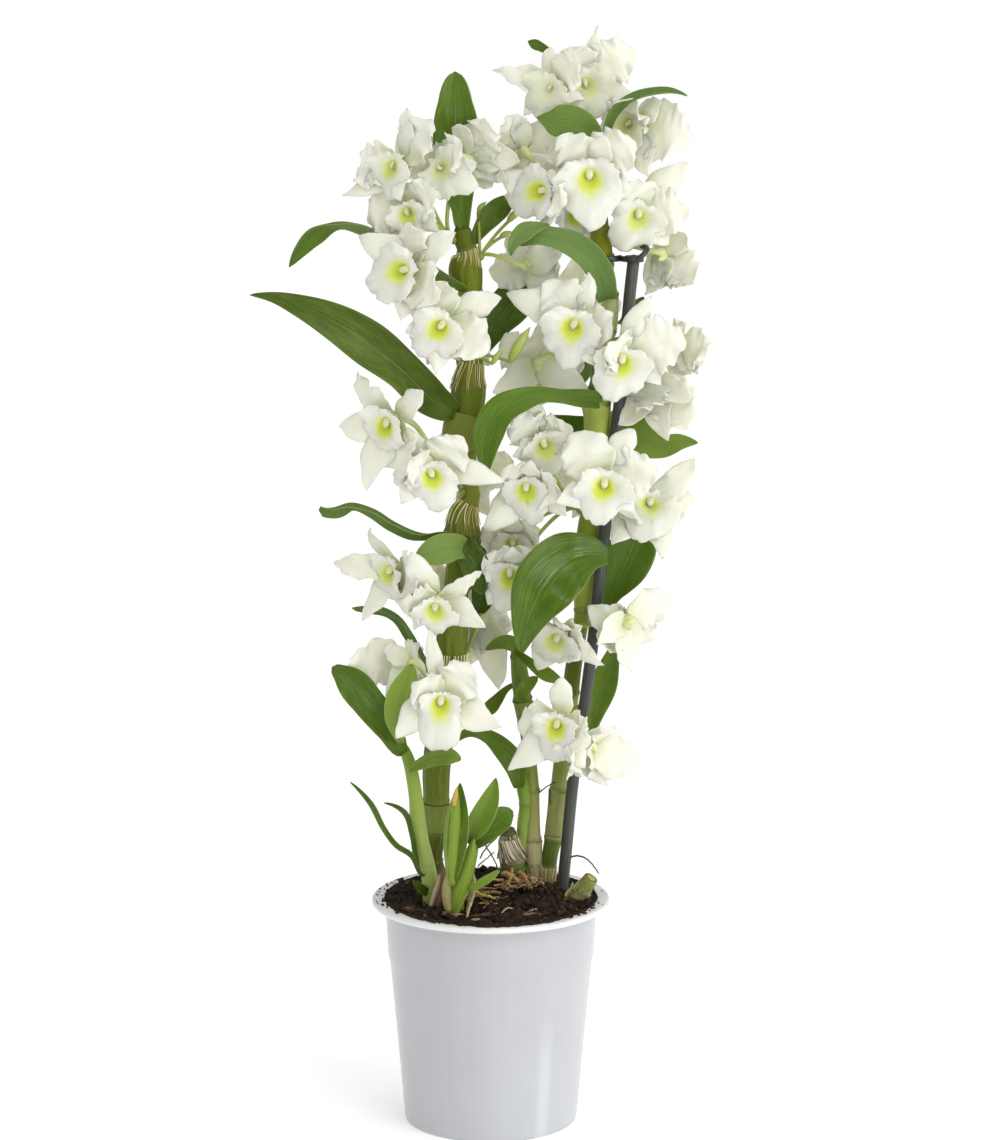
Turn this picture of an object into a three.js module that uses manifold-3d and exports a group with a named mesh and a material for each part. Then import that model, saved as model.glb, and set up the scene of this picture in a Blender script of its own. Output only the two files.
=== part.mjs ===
// Dendrobium orchid (nobile type, white flowers) growing in a round plastic pot.
// Units are millimetres, +Z up. The origin is the centre of the pot's flat base.
// The pot is turned about Z, the potting mix fills it to just under the rim, and the
// canes, leaves, flower stems, roots, stake and clip are separate solids kept a small
// gap apart.
import * as THREE from 'three';
import { mergeVertices } from 'three/addons/utils/BufferGeometryUtils.js';
import Module from 'manifold-3d';

const wasm = await Module();
wasm.setup();

// ---- driving dimensions (mm) ----
const POT_HEIGHT = 115;
const RIM_OUTER_R = 60;
const RIM_INNER_R = 53.4;
const RIM_THICK = 3;
const POT_BASE_R = 43.6;
const POT_WALL = 1.5;
const POT_FLOOR = 1.8;
const POT_STEP_Z = 84;
const DRAIN_HOLE_R = 4;
const DRAIN_RING_R = 30;
const MIX_EDGE_Z = 107.5;
const MIX_TOP_Z = 111;
const GAP = 0.3;
const LEAF_THICK = 1.1;
const LEAF_FOLD = 0.16;
const PETAL_THICK = 1.0;
const PEDICEL_R = 1.3;
const CORE_R = 3.4;
const LIP_R = 8.6;
const LIP_H = 11;
const SEPAL_TIP_W = 3.4;
const PETAL_TIP_W = 6.6;
const ARM_MIN_ANGLE = 0.86;
const CANE_SIDES = 7;

// ---- canes, shoots and stake: centre line points with radius [x, y, z, r] ----
const CANES = {
  left_cane: [[-28, 22.7, 100.7, 3.6], [-28, 22, 110.7, 4.5], [-28, 21, 118.9, 5.5], [-30.5, 20, 128.6, 6], [-29.4, 19, 142, 6.3], [-27.8, 18, 160.5, 6.6], [-27.7, 16, 174, 7], [-25.6, 14, 195.2, 7.2], [-22.5, 12, 213.7, 7.4], [-20, 10, 230.5, 7.8], [-19.4, 9, 245.1, 8], [-17.4, 8, 265.7, 7], [-15.3, 8, 286, 7], [-14.3, 8, 298.6, 9], [-13.3, 8, 308.7, 7.5], [-9.3, 8, 318.8, 3.9], [-12.3, 8, 331.3, 5.5], [-15.2, 8, 343.9, 8.4], [-14.7, 8, 352.4, 8.6], [-12.2, 8, 360.4, 8.2], [-11.2, 8, 368.9, 8.8], [-10.7, 8, 377.3, 7.6], [-9.2, 8, 385.3, 5.5], [-9.2, 8, 393.7, 4.4], [-11.2, 8, 406.1, 6], [-12.1, 8, 416, 7.6], [-12.1, 8, 425.9, 8.2], [-12.1, 8, 433.8, 7.9], [-11.1, 8, 437.7, 5.8], [-12.1, 8, 442.2, 4.6], [-13.6, 8, 445.6, 4.4], [-13.5, 8, 449.5, 4.2], [-13.1, 8, 452, 3.4]],
  right_cane: [[29.3, 30.7, 99.1, 3.04], [29.2, 30, 109.1, 3.8], [29.1, 29, 117.8, 4], [30.6, 28, 131.8, 4.2], [32.1, 28, 139.1, 4.6], [33.1, 27, 150.4, 4.2], [34.6, 26, 163.7, 4.4], [36.1, 25, 179.6, 4.2], [38.5, 24, 195.5, 4.2], [40, 23, 211.2, 4.2], [41.4, 22, 225.9, 4.2], [43.4, 21, 240, 4], [45.8, 20, 255.6, 4], [46.7, 19, 268.6, 4.6], [47.7, 18, 284.1, 5], [48.6, 17, 297, 5.8], [50.5, 16, 312.4, 5.2], [51.9, 15, 330.2, 5.8], [52.8, 14, 345.5, 6], [52.7, 13, 358.2, 6.2], [52.2, 12, 366.8, 6.6], [53.1, 12, 373.3, 4.4], [53.6, 12, 381.8, 4.2], [55.5, 12, 390.8, 3.6], [58.4, 12, 400.7, 3.4], [58.8, 12, 413.1, 3.8], [58.3, 12, 423, 3.6], [56.8, 12, 432.9, 3.6], [55.2, 11, 439.4, 4.8], [54.2, 11, 445.3, 5.2], [53.7, 10, 452.3, 4.4], [53.6, 9, 462.7, 3.4], [54, 8, 475, 3.2], [54.4, 7, 484.8, 3.2], [54.4, 6, 491.7, 2.6]],
  centre_cane: [[23.3, 30.6, 100.1, 2.88], [23, 30, 109.1, 3.6], [22.5, 29, 117.8, 3.6], [22, 28, 125.4, 3.9], [21.4, 27, 138.3, 3.9], [21.4, 26, 152.2, 3.4], [20.9, 25, 164, 3.6], [19.8, 24, 177.3, 3.6], [18.8, 23, 190.5, 3.6], [17.7, 22, 200.1, 3.9], [16.2, 21, 211.7, 4.4], [14.7, 20, 224.8, 4.4], [13.2, 19, 235.3, 3.2], [12.1, 18, 243.2, 1.6]],
  thin_shoot: [[14.1, 24.7, 117.3, 1.44], [14.3, 24, 123.3, 1.8], [14.8, 22, 133.3, 2.2], [15.3, 20, 146.9, 2.4], [16.3, 18, 157.9, 2.4], [15.2, 17, 165.9, 2.6], [14.2, 16, 172.4, 2.2]],
  young_shoot: [[-30, -12, 106.8, 3.68], [-30, -12, 113.8, 4.6], [-30, -12, 121.6, 4.8], [-31.9, -12, 135, 4.4], [-34.9, -12, 147.4, 4.4], [-36.3, -12, 155.1, 4.6], [-37.3, -12, 167.9, 4], [-38.7, -12, 178.2, 3.8], [-40.2, -12, 185.9, 3.6], [-42.7, -11, 193.3, 2.8], [-44.2, -10, 197.1, 1.4]],
  keiki_stem: [[-17.2, -30, 102.5, 3.2], [-17.3, -30, 108.5, 4], [-17.7, -30, 118.8, 4.6], [-17.7, -31, 129.3, 4.4], [-18.2, -31, 138, 3], [-18.7, -31, 144.2, 1.6]],
  keiki_stem2: [[-18.7, -36, 112.3, 2.8], [-15.7, -37, 121.8, 3.2], [-12.2, -37, 129.4, 3.4], [-9.7, -36, 139.4, 3], [-7.8, -34, 148, 2.6], [-6.8, -32, 153.6, 1.8]],
  old_stump: [[11.3, 34.4, 100, 4.8], [11.3, 34, 108, 6], [11.3, 33, 118.8, 6.6], [11.8, 32, 128.1, 7], [11.8, 31, 135.2, 6.8], [11.7, 30, 140.7, 5.6]],
  cut_stub: [[41, -6, 106.7, 3.36], [43.3, -6, 114.7, 4.2], [45.3, -6, 118.9, 4.6], [47.8, -6, 123.1, 4.4], [50.3, -6, 127.2, 4]],
  stake: [[27.6, 20, 19.8, 3], [36.4, 17, 105.8, 3], [36.6, 17, 115.8, 3], [38.1, 16.5, 133.2, 3], [41.5, 15, 170.6, 3], [47.8, 13, 216, 3], [51.7, 12, 248.5, 3], [55.9, 10, 291.7, 3], [61.1, 8.5, 342.8, 3], [63.9, 8, 366.4, 3], [68.9, 6, 424.2, 3], [70.3, 5.5, 437.5, 3]],
};

// ---- leaves: midrib point and half-width vector [x, y, z, wx, wy, wz] ----
const LEAVES = {
  leaf_left_top: [[-13, 5, 451.8, -2.5, -0.05, -0.32], [-14.5, 3, 463.2, -5.51, -0.11, -0.56], [-15.9, 0, 480.5, -9.54, -0.16, -0.66], [-16.8, -3, 497.7, -11.32, -0.16, -0.48], [-17.2, -5, 513.8, -8.05, -0.1, -0.12], [-17.1, -6, 527.3, -0.76, -0.01, 0]],
  leaf_left_top_right: [[-8.7, 10, 443.9, -1.75, 0.09, 1], [-4.7, 12, 450.6, -3.35, 0.2, 2.23], [0.2, 14, 456.8, -4.08, 0.34, 3.73], [5.6, 16, 461.5, -3.3, 0.35, 3.79], [11.5, 18, 466.3, -0.64, 0.07, 0.77]],
  leaf_left_arch: [[-13, 2, 421.2, -1.57, -0.24, -1.95], [-20.3, -4, 427.7, -4.24, 5.25, -1.87], [-28.6, -6, 433.8, -2.27, 6.8, -3.54], [-39.3, -3, 441.8, -0.19, 6.72, -4.33], [-49.7, 2, 447.2, 0.55, 6.96, -3.9], [-63, 5, 452.8, 0.12, 7.21, -3.47], [-74.7, 6, 454.6, 0.56, 7.75, -1.91], [-87, 6, 449.7, 2.7, 6.33, -4.07], [-94, 6, 441.9, 2.83, 4.79, -2.24], [-98.9, 5, 432.6, 0.41, 0.86, -0.31]],
  leaf_left_large: [[-19, 0, 361.6, -2.47, -0.58, -3.76], [-28.8, -7, 369, -5.52, -1.01, -6.46], [-44.2, -14, 385.3, -6.3, -1.11, -7.11], [-59.6, -18, 398, -6.4, -1.35, -8.94], [-75.5, -20, 408.6, -4.33, -1.14, -7.88], [-92.4, -20, 416.4, -2.04, -0.7, -5.1], [-106, -19, 420.6, -0.54, -0.31, -2.44], [-116.7, -18, 421.5, -0.05, -0.06, -0.5]],
  leaf_left_twist: [[-19.2, 0, 299.5, 0, -0.53, -2.97], [-27, -5, 300.4, -0.33, -0.53, -2.96], [-36.8, -8, 302.9, -2.55, 6.91, -3.12], [-46.7, -9, 307.6, -2.06, 7.07, -3.12], [-57.9, -9, 314.6, -1.13, 7.18, -3.34], [-69.3, -8, 317.5, 0.76, 7.54, -2.58], [-77.2, -7, 314.8, 1.91, 6.49, -4.26], [-84.7, -6, 313.6, 0.53, -0.65, -3.94]],
  leaf_left_fold: [[-23.1, -2, 304.4, 5.97, -0.07, -0.92], [-24, -9, 299.1, 13.52, -0.05, -1.42], [-24.4, -15, 292.2, 14.07, 0.04, -0.96], [-24.9, -19, 285.9, 11.04, 0.01, -0.9], [-25.4, -21, 280.8, 2.51, -0, -0.23]],
  leaf_left_back: [[-11.4, 17, 294.5, 2.77, 0.23, 1.18], [-6.4, 20, 282.2, 5.77, 0.36, 1.76], [-4.4, 22, 270.6, 7.04, 0.1, 0.35], [-5.5, 24, 261.5, 5.94, -0.18, -1.07], [-7.5, 25, 253.1, 0.98, -0.04, -0.24]],
  leaf_left_slim: [[-22, 12, 217.8, -1.69, -0.26, -1.06], [-27.5, 13, 226.3, -2.2, 4.29, -1.33], [-33.5, 12, 236.8, -2.63, 5.88, -0.89], [-39.5, 11, 248.2, -2.91, 6.26, -1.16], [-45.9, 10, 257.1, -2.78, 6.14, -1.9], [-52.9, 9, 261.4, -1.81, 6.14, -2.83], [-61.3, 8, 262.6, -0.71, 5.25, -2.83], [-69.3, 7, 261.8, -0.05, 1.5, -1.33]],
  leaf_right_top_left: [[53.7, 0, 493.6, -1.2, -0.04, -0.91], [49.2, -5, 499.8, -2.37, -0.13, -2.6], [41.8, -9, 504.9, -2.13, -0.31, -5.1], [34.1, -10, 506.4, 1.28, -0.46, -6.4], [27.3, -8, 502, 4.81, -0.37, -4.43], [23, -5, 494, 4.13, -0.18, -1.85], [21.1, -3, 487.6, 0.96, -0.03, -0.3]],
  leaf_right_top: [[55.7, 3, 493.4, -1.48, 0.06, 0.27], [57.1, 1, 501.3, -2.88, 0.14, 0.92], [60.4, 0, 508.7, -2.58, 0.24, 2.39], [69.1, -1, 514.5, -0.38, 7.57, 2.55], [79.7, -2, 517.5, 0.02, 6.75, 1.84], [88.9, -2, 518, 0.08, 4.85, 1.22], [95.3, -2, 516.5, 0.1, 0.89, 0.45]],
  leaf_right_tip: [[46.9, 26, 513.8, -1.24, -0.03, -0.87], [38, 26, 526.5, -1.59, -0.04, -1.24], [30.1, 26, 535.2, -1.02, -0.05, -1.11], [24.7, 25, 538.7, -1.09, -0.09, -1.98], [21.3, 25, 540.2, -1.05, -0.11, -2.29], [18.3, 25, 541.6, -0.22, -0.02, -0.45]],
  leaf_right_arch: [[57, 0, 417.9, -4.4, -0, -1.07], [54.4, -6, 428.9, -5.78, -0.12, -2.49], [47.8, -12, 439.8, -4.83, -0.35, -4.41], [39, -17, 446.7, -2.87, -0.51, -5.58], [29.7, -20, 449.9, -1.31, -0.44, -4.58], [22, -21, 451.9, -0.6, -0.44, -4.47], [15.2, -20, 451.8, 3.59, -0.5, -4.84], [10.9, -18, 443.4, 0.89, -0.05, -0.47]],
  leaf_centre_dark: [[-6.3, 18, 389, -3.48, 0.24, 2.02], [0.6, 22, 400.5, -6.2, 0.51, 4.28], [10.6, 26, 412.5, -7.54, 0.8, 6.63], [19.5, 28, 421.2, -4.91, 0.6, 5.02], [28.4, 28, 429.7, -0.69, 0.09, 0.73]],
  leaf_right_bow: [[52.8, -2, 367.8, -0.44, -0.55, -3.97], [43.8, -8, 369.6, -0.47, -0.62, -4.46], [33.9, -13, 371.3, -0.27, -0.49, -3.48], [24.6, -17, 372.4, 0.41, -0.56, -3.97], [14.8, -20, 370.4, 2.19, -0.8, -5.57], [4.6, -22, 365.2, 5.34, -0.77, -5.29], [-0.8, -22, 354.9, 7.2, -0.32, -2.27], [-2.2, -20, 343.3, 4.53, -0.02, -0.21], [-1.8, -18, 333, 0.5, 0.01, 0.02]],
  leaf_right_far: [[58, 24, 355.1, 2.15, 0.44, 3.38], [67.5, 24, 349, 4.54, 1.02, 7.78], [76.9, 22, 344.3, 3.79, 1.18, 8.7], [85.9, 20, 341.5, 0.34, 0.9, 5.96], [94.7, 18, 343.9, -0.34, 0.62, 3.96], [103.1, 16, 343.7, 0.03, 0.07, 0.5]],
  leaf_right_far2: [[58, 24.5, 354, 0.92, -0.44, -2.84], [47.1, 28, 349.9, 0.55, -0.82, -5.45], [38.1, 29, 351.3, -1.26, -0.62, -4.31], [28.1, 30, 355.2, -0.28, -0.1, -0.69]],
  leaf_right_glossy: [[58.1, -2, 291.3, 0.66, -0.73, -3.91], [49, -10, 291.3, 3.72, -1.96, -10.25], [37, -18, 286.7, 10.69, -2.63, -13.11], [26.7, -23, 275.7, 14.02, -1.85, -8.73], [19.8, -24, 260.4, 8.57, -0.65, -2.87], [15.9, -22, 243.4, 0.73, -0.04, -0.17]],
  leaf_right_low: [[71.1, 18, 306.5, 4.51, -0.08, 0.43], [72.2, 20, 295, 10.95, -0.66, -1.54], [67.8, 21, 282, 11.09, -1.22, -4.64], [61.4, 21, 268.8, 6.33, -0.76, -3.01], [55.4, 20, 256.2, 0.68, -0.08, -0.32]],
  leaf_right_upright: [[49.4, 34, 192.1, -1.91, 0.19, 0.61], [53.4, 34, 204.6, -5.26, 0.5, 1.65], [57.4, 33, 217.9, -6.72, 0.62, 2.02], [60.8, 31, 230.2, -4.36, 0.38, 1.18], [63.7, 29, 242.5, -0.49, 0.04, 0.12]],
  leaf_young_left: [[-44.1, -14, 193, -2.17, -0.34, -1.22], [-50.9, -16, 205.7, -5.41, -0.97, -3.56], [-60.7, -17, 219.1, -6.26, -1.31, -4.9], [-69.6, -17, 229.7, -5.26, -1.34, -5.25], [-78.5, -16, 236.6, -0.62, -0.19, -0.77]],
  leaf_young_front: [[-44.9, -20, 200.5, -2.01, -0.09, -0.16], [-45.7, -24, 213.1, -6.54, -0.1, 0.33], [-43.7, -26, 223.6, -7.32, 0.22, 1.87], [-40.7, -26, 233.2, -4.82, 0.2, 1.45], [-38.7, -25, 240, -0.97, 0.04, 0.27]],
  leaf_young_right: [[-40.1, -17, 184.5, -0.72, 0.29, 1.3], [-33.6, -20, 188.8, -1.2, 0.62, 2.7], [-25.1, -23, 192.6, -0.79, 0.9, 3.85], [-18.6, -24, 192.8, 0.5, 0.81, 3.39], [-14.7, -24, 191.3, 0.18, 0.11, 0.46]],
  leaf_grass_a: [[-34.8, -17, 131.2, -1.33, -0.21, -0.68], [-39.7, -20, 141.8, -1.52, -0.37, -1.27], [-47.1, -22, 147.4, -1.39, -0.4, -1.4], [-53, -23, 155.9, -1.72, -0.31, -1.01], [-59.4, -23, 168.6, -1.63, -0.34, -1.14], [-69.7, -22, 179.6, -0.36, -0.1, -0.33]],
  leaf_grass_b: [[-34.8, -17, 131.2, -1.45, -0.13, -0.39], [-37.3, -17, 140.5, -1.96, -0.15, -0.42], [-39.2, -18, 152, -1.94, -0.18, -0.51], [-43.1, -19, 163.5, -1.49, -0.37, -1.3], [-53, -19, 168.2, -0.21, -0.12, -0.44]],
  leaf_keiki_front: [[-18.6, -41, 135.6, -1.74, 0.06, 0.28], [-17.1, -42, 145, -3.49, 0.1, 0.51], [-15.5, -43, 156.4, -5.76, 0.09, 0.59], [-14.5, -43, 169.6, -4.78, -0, 0.18], [-14.5, -42, 183.5, -0.5, -0, 0]],
  leaf_keiki_right: [[-9.2, -38, 155.1, -2.38, 0.19, 0.81], [-5.7, -40, 165.8, -5.66, 0.49, 2.07], [-1.8, -40, 175.9, -4.21, 0.39, 1.64], [2.1, -39, 185.8, -0.47, 0.04, 0.18]],
  leaf_thin_top: [[14.2, 11, 169.5, -2.47, -0.1, -0.46], [12.1, 8, 181.1, -5.06, -0.51, -2.2], [5.6, 5, 190.6, -3.8, -0.84, -3.58], [-1.9, 3, 197.2, -1.58, -0.72, -3.07], [-10.4, 2, 199.5, 0.52, -0.55, -2.4], [-18.4, 1, 194.1, 0.57, -0.18, -0.81]],
  leaf_centre_a: [[13.2, 18, 237.1, 0.94, 0.24, 1.16], [20.6, 7, 233.2, 1.5, 0.41, 1.98], [28.6, 5, 228, 1.74, 0.62, 3], [35.6, 5, 225, 0.4, 0.19, 0.91]],
  leaf_centre_b: [[13.2, 18, 237.1, -1.35, -0.3, -1.46], [7.6, 12, 243.4, -0.89, -0.74, -3.6], [0.6, 11, 241.6, 0.75, -0.38, -1.83], [-2.4, 11, 239.5, 0.28, -0.08, -0.41]],
  leaf_centre_c: [[15.7, 20, 210.4, -2.01, 0.04, 0.15], [16.2, 12, 218.8, -3.24, 0.31, 1.35], [20.2, 10, 223.4, -1.98, 0.5, 2.23], [23.6, 9, 226.1, -0.59, 0.18, 0.8]],
  leaf_hanging: [[15.2, 21, 220.5, 0.45, -0.25, -1.15], [8.6, 26, 216.8, 0.87, -0.26, -1.2], [3.1, 29, 209.9, 2.24, -0.44, -1.98], [-1, 28, 205.5, 2.41, -0.56, -2.51], [-5, 27, 202.6, 0.6, -0.17, -0.79]],
  leaf_keiki_c: [[-7.3, -32, 151, -1.33, 0.17, 0.7], [-0.3, -36, 165.3, -2.07, 0.35, 1.39], [6.1, -37, 172.1, -1.29, 0.52, 2.09], [9.5, -37, 171.6, 1.12, 0.4, 1.63], [12, -37, 168.1, 0.41, 0.07, 0.28]],
  leaf_keiki_d: [[-10.2, -40, 129.2, -0.65, 0.28, 1.04], [-5.3, -41, 132.6, -1.07, 0.44, 1.65], [-0.8, -41, 135.6, -1.15, 0.43, 1.6], [4.6, -40, 139.4, -0.3, 0.11, 0.39]],
  leaf_soil: [[-30.4, -14, 120.1, -0.6, -0.3, -1.06], [-35.7, -24, 125.9, -1.79, -0.68, -2.34], [-39.6, -25, 130.3, -0.36, -0.1, -0.34]],
  leaf_right_bit: [[65.4, 30, 402.5, -1.16, 0.15, 0.96], [70.3, 30, 408.5, -2.27, 0.31, 1.97], [76.3, 30, 415, -0.37, 0.05, 0.34]],
  leaf_back_a: [[-8.3, 15, 399.3, -2.31, 0.11, 0.99], [-5.4, 30, 404.5, -2.87, 0.76, 6.39], [-6.5, 52, 395.7, 9.17, -0.28, -2.7], [-10.7, 70, 382.3, 7.19, -0.24, -2.29], [-14.9, 80, 366.5, 0.97, -0.03, -0.28]],
  leaf_back_b: [[55.8, 20, 378.7, -2.93, -0.02, -0.74], [53.6, 36, 386.7, -7.24, -0.27, -3.52], [50.1, 58, 387.4, 5.7, -1.26, -8.82], [46.5, 76, 376.3, 7.19, -0.45, -2.25], [42.6, 84, 358.2, 0.98, -0.05, -0.23]],
  leaf_back_c: [[-14.4, 16, 265.1, -2.35, -0.2, -0.89], [-18.1, 32, 271.3, -4.4, -1.07, -5.4], [-23, 52, 264.9, 8.22, -0.8, -4.83], [-26.3, 68, 251.4, 6.89, -0.18, -1.46], [-28.5, 76, 235.5, 1, -0.01, -0.15]],
};
const GROWN_ON = {leaf_centre_a: 'centre_cane', leaf_centre_b: 'centre_cane', leaf_centre_c: 'centre_cane', leaf_hanging: 'centre_cane', leaf_keiki_c: 'keiki', leaf_keiki_d: 'keiki', leaf_soil: 'young_shoot'};
const LEAF_NODES = {
  leaf_left_top: ['leaf_left_top'],
  leaf_left_top_right: ['leaf_left_top_right'],
  leaf_left_arch: ['leaf_left_arch'],
  leaf_left_large: ['leaf_left_large'],
  leaf_left_twist: ['leaf_left_twist'],
  leaf_left_fold: ['leaf_left_fold'],
  leaf_left_back: ['leaf_left_back'],
  leaf_left_slim: ['leaf_left_slim'],
  leaf_right_top_left: ['leaf_right_top_left'],
  leaf_right_top: ['leaf_right_top'],
  leaf_right_tip: ['leaf_right_tip'],
  leaf_right_arch: ['leaf_right_arch'],
  leaf_centre_dark: ['leaf_centre_dark'],
  leaf_right_bow: ['leaf_right_bow'],
  leaf_right_far: ['leaf_right_far', 'leaf_right_far2'],
  leaf_right_glossy: ['leaf_right_glossy'],
  leaf_right_low: ['leaf_right_low'],
  leaf_right_upright: ['leaf_right_upright'],
  leaf_young_left: ['leaf_young_left'],
  leaf_young_front: ['leaf_young_front'],
  leaf_young_right: ['leaf_young_right'],
  leaf_grass: ['leaf_grass_a', 'leaf_grass_b'],
  leaf_keiki_front: ['leaf_keiki_front'],
  leaf_keiki_right: ['leaf_keiki_right'],
  leaf_thin_top: ['leaf_thin_top'],
  leaf_right_bit: ['leaf_right_bit'],
  leaf_back_a: ['leaf_back_a'],
  leaf_back_b: ['leaf_back_b'],
  leaf_back_c: ['leaf_back_c'],
};

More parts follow.
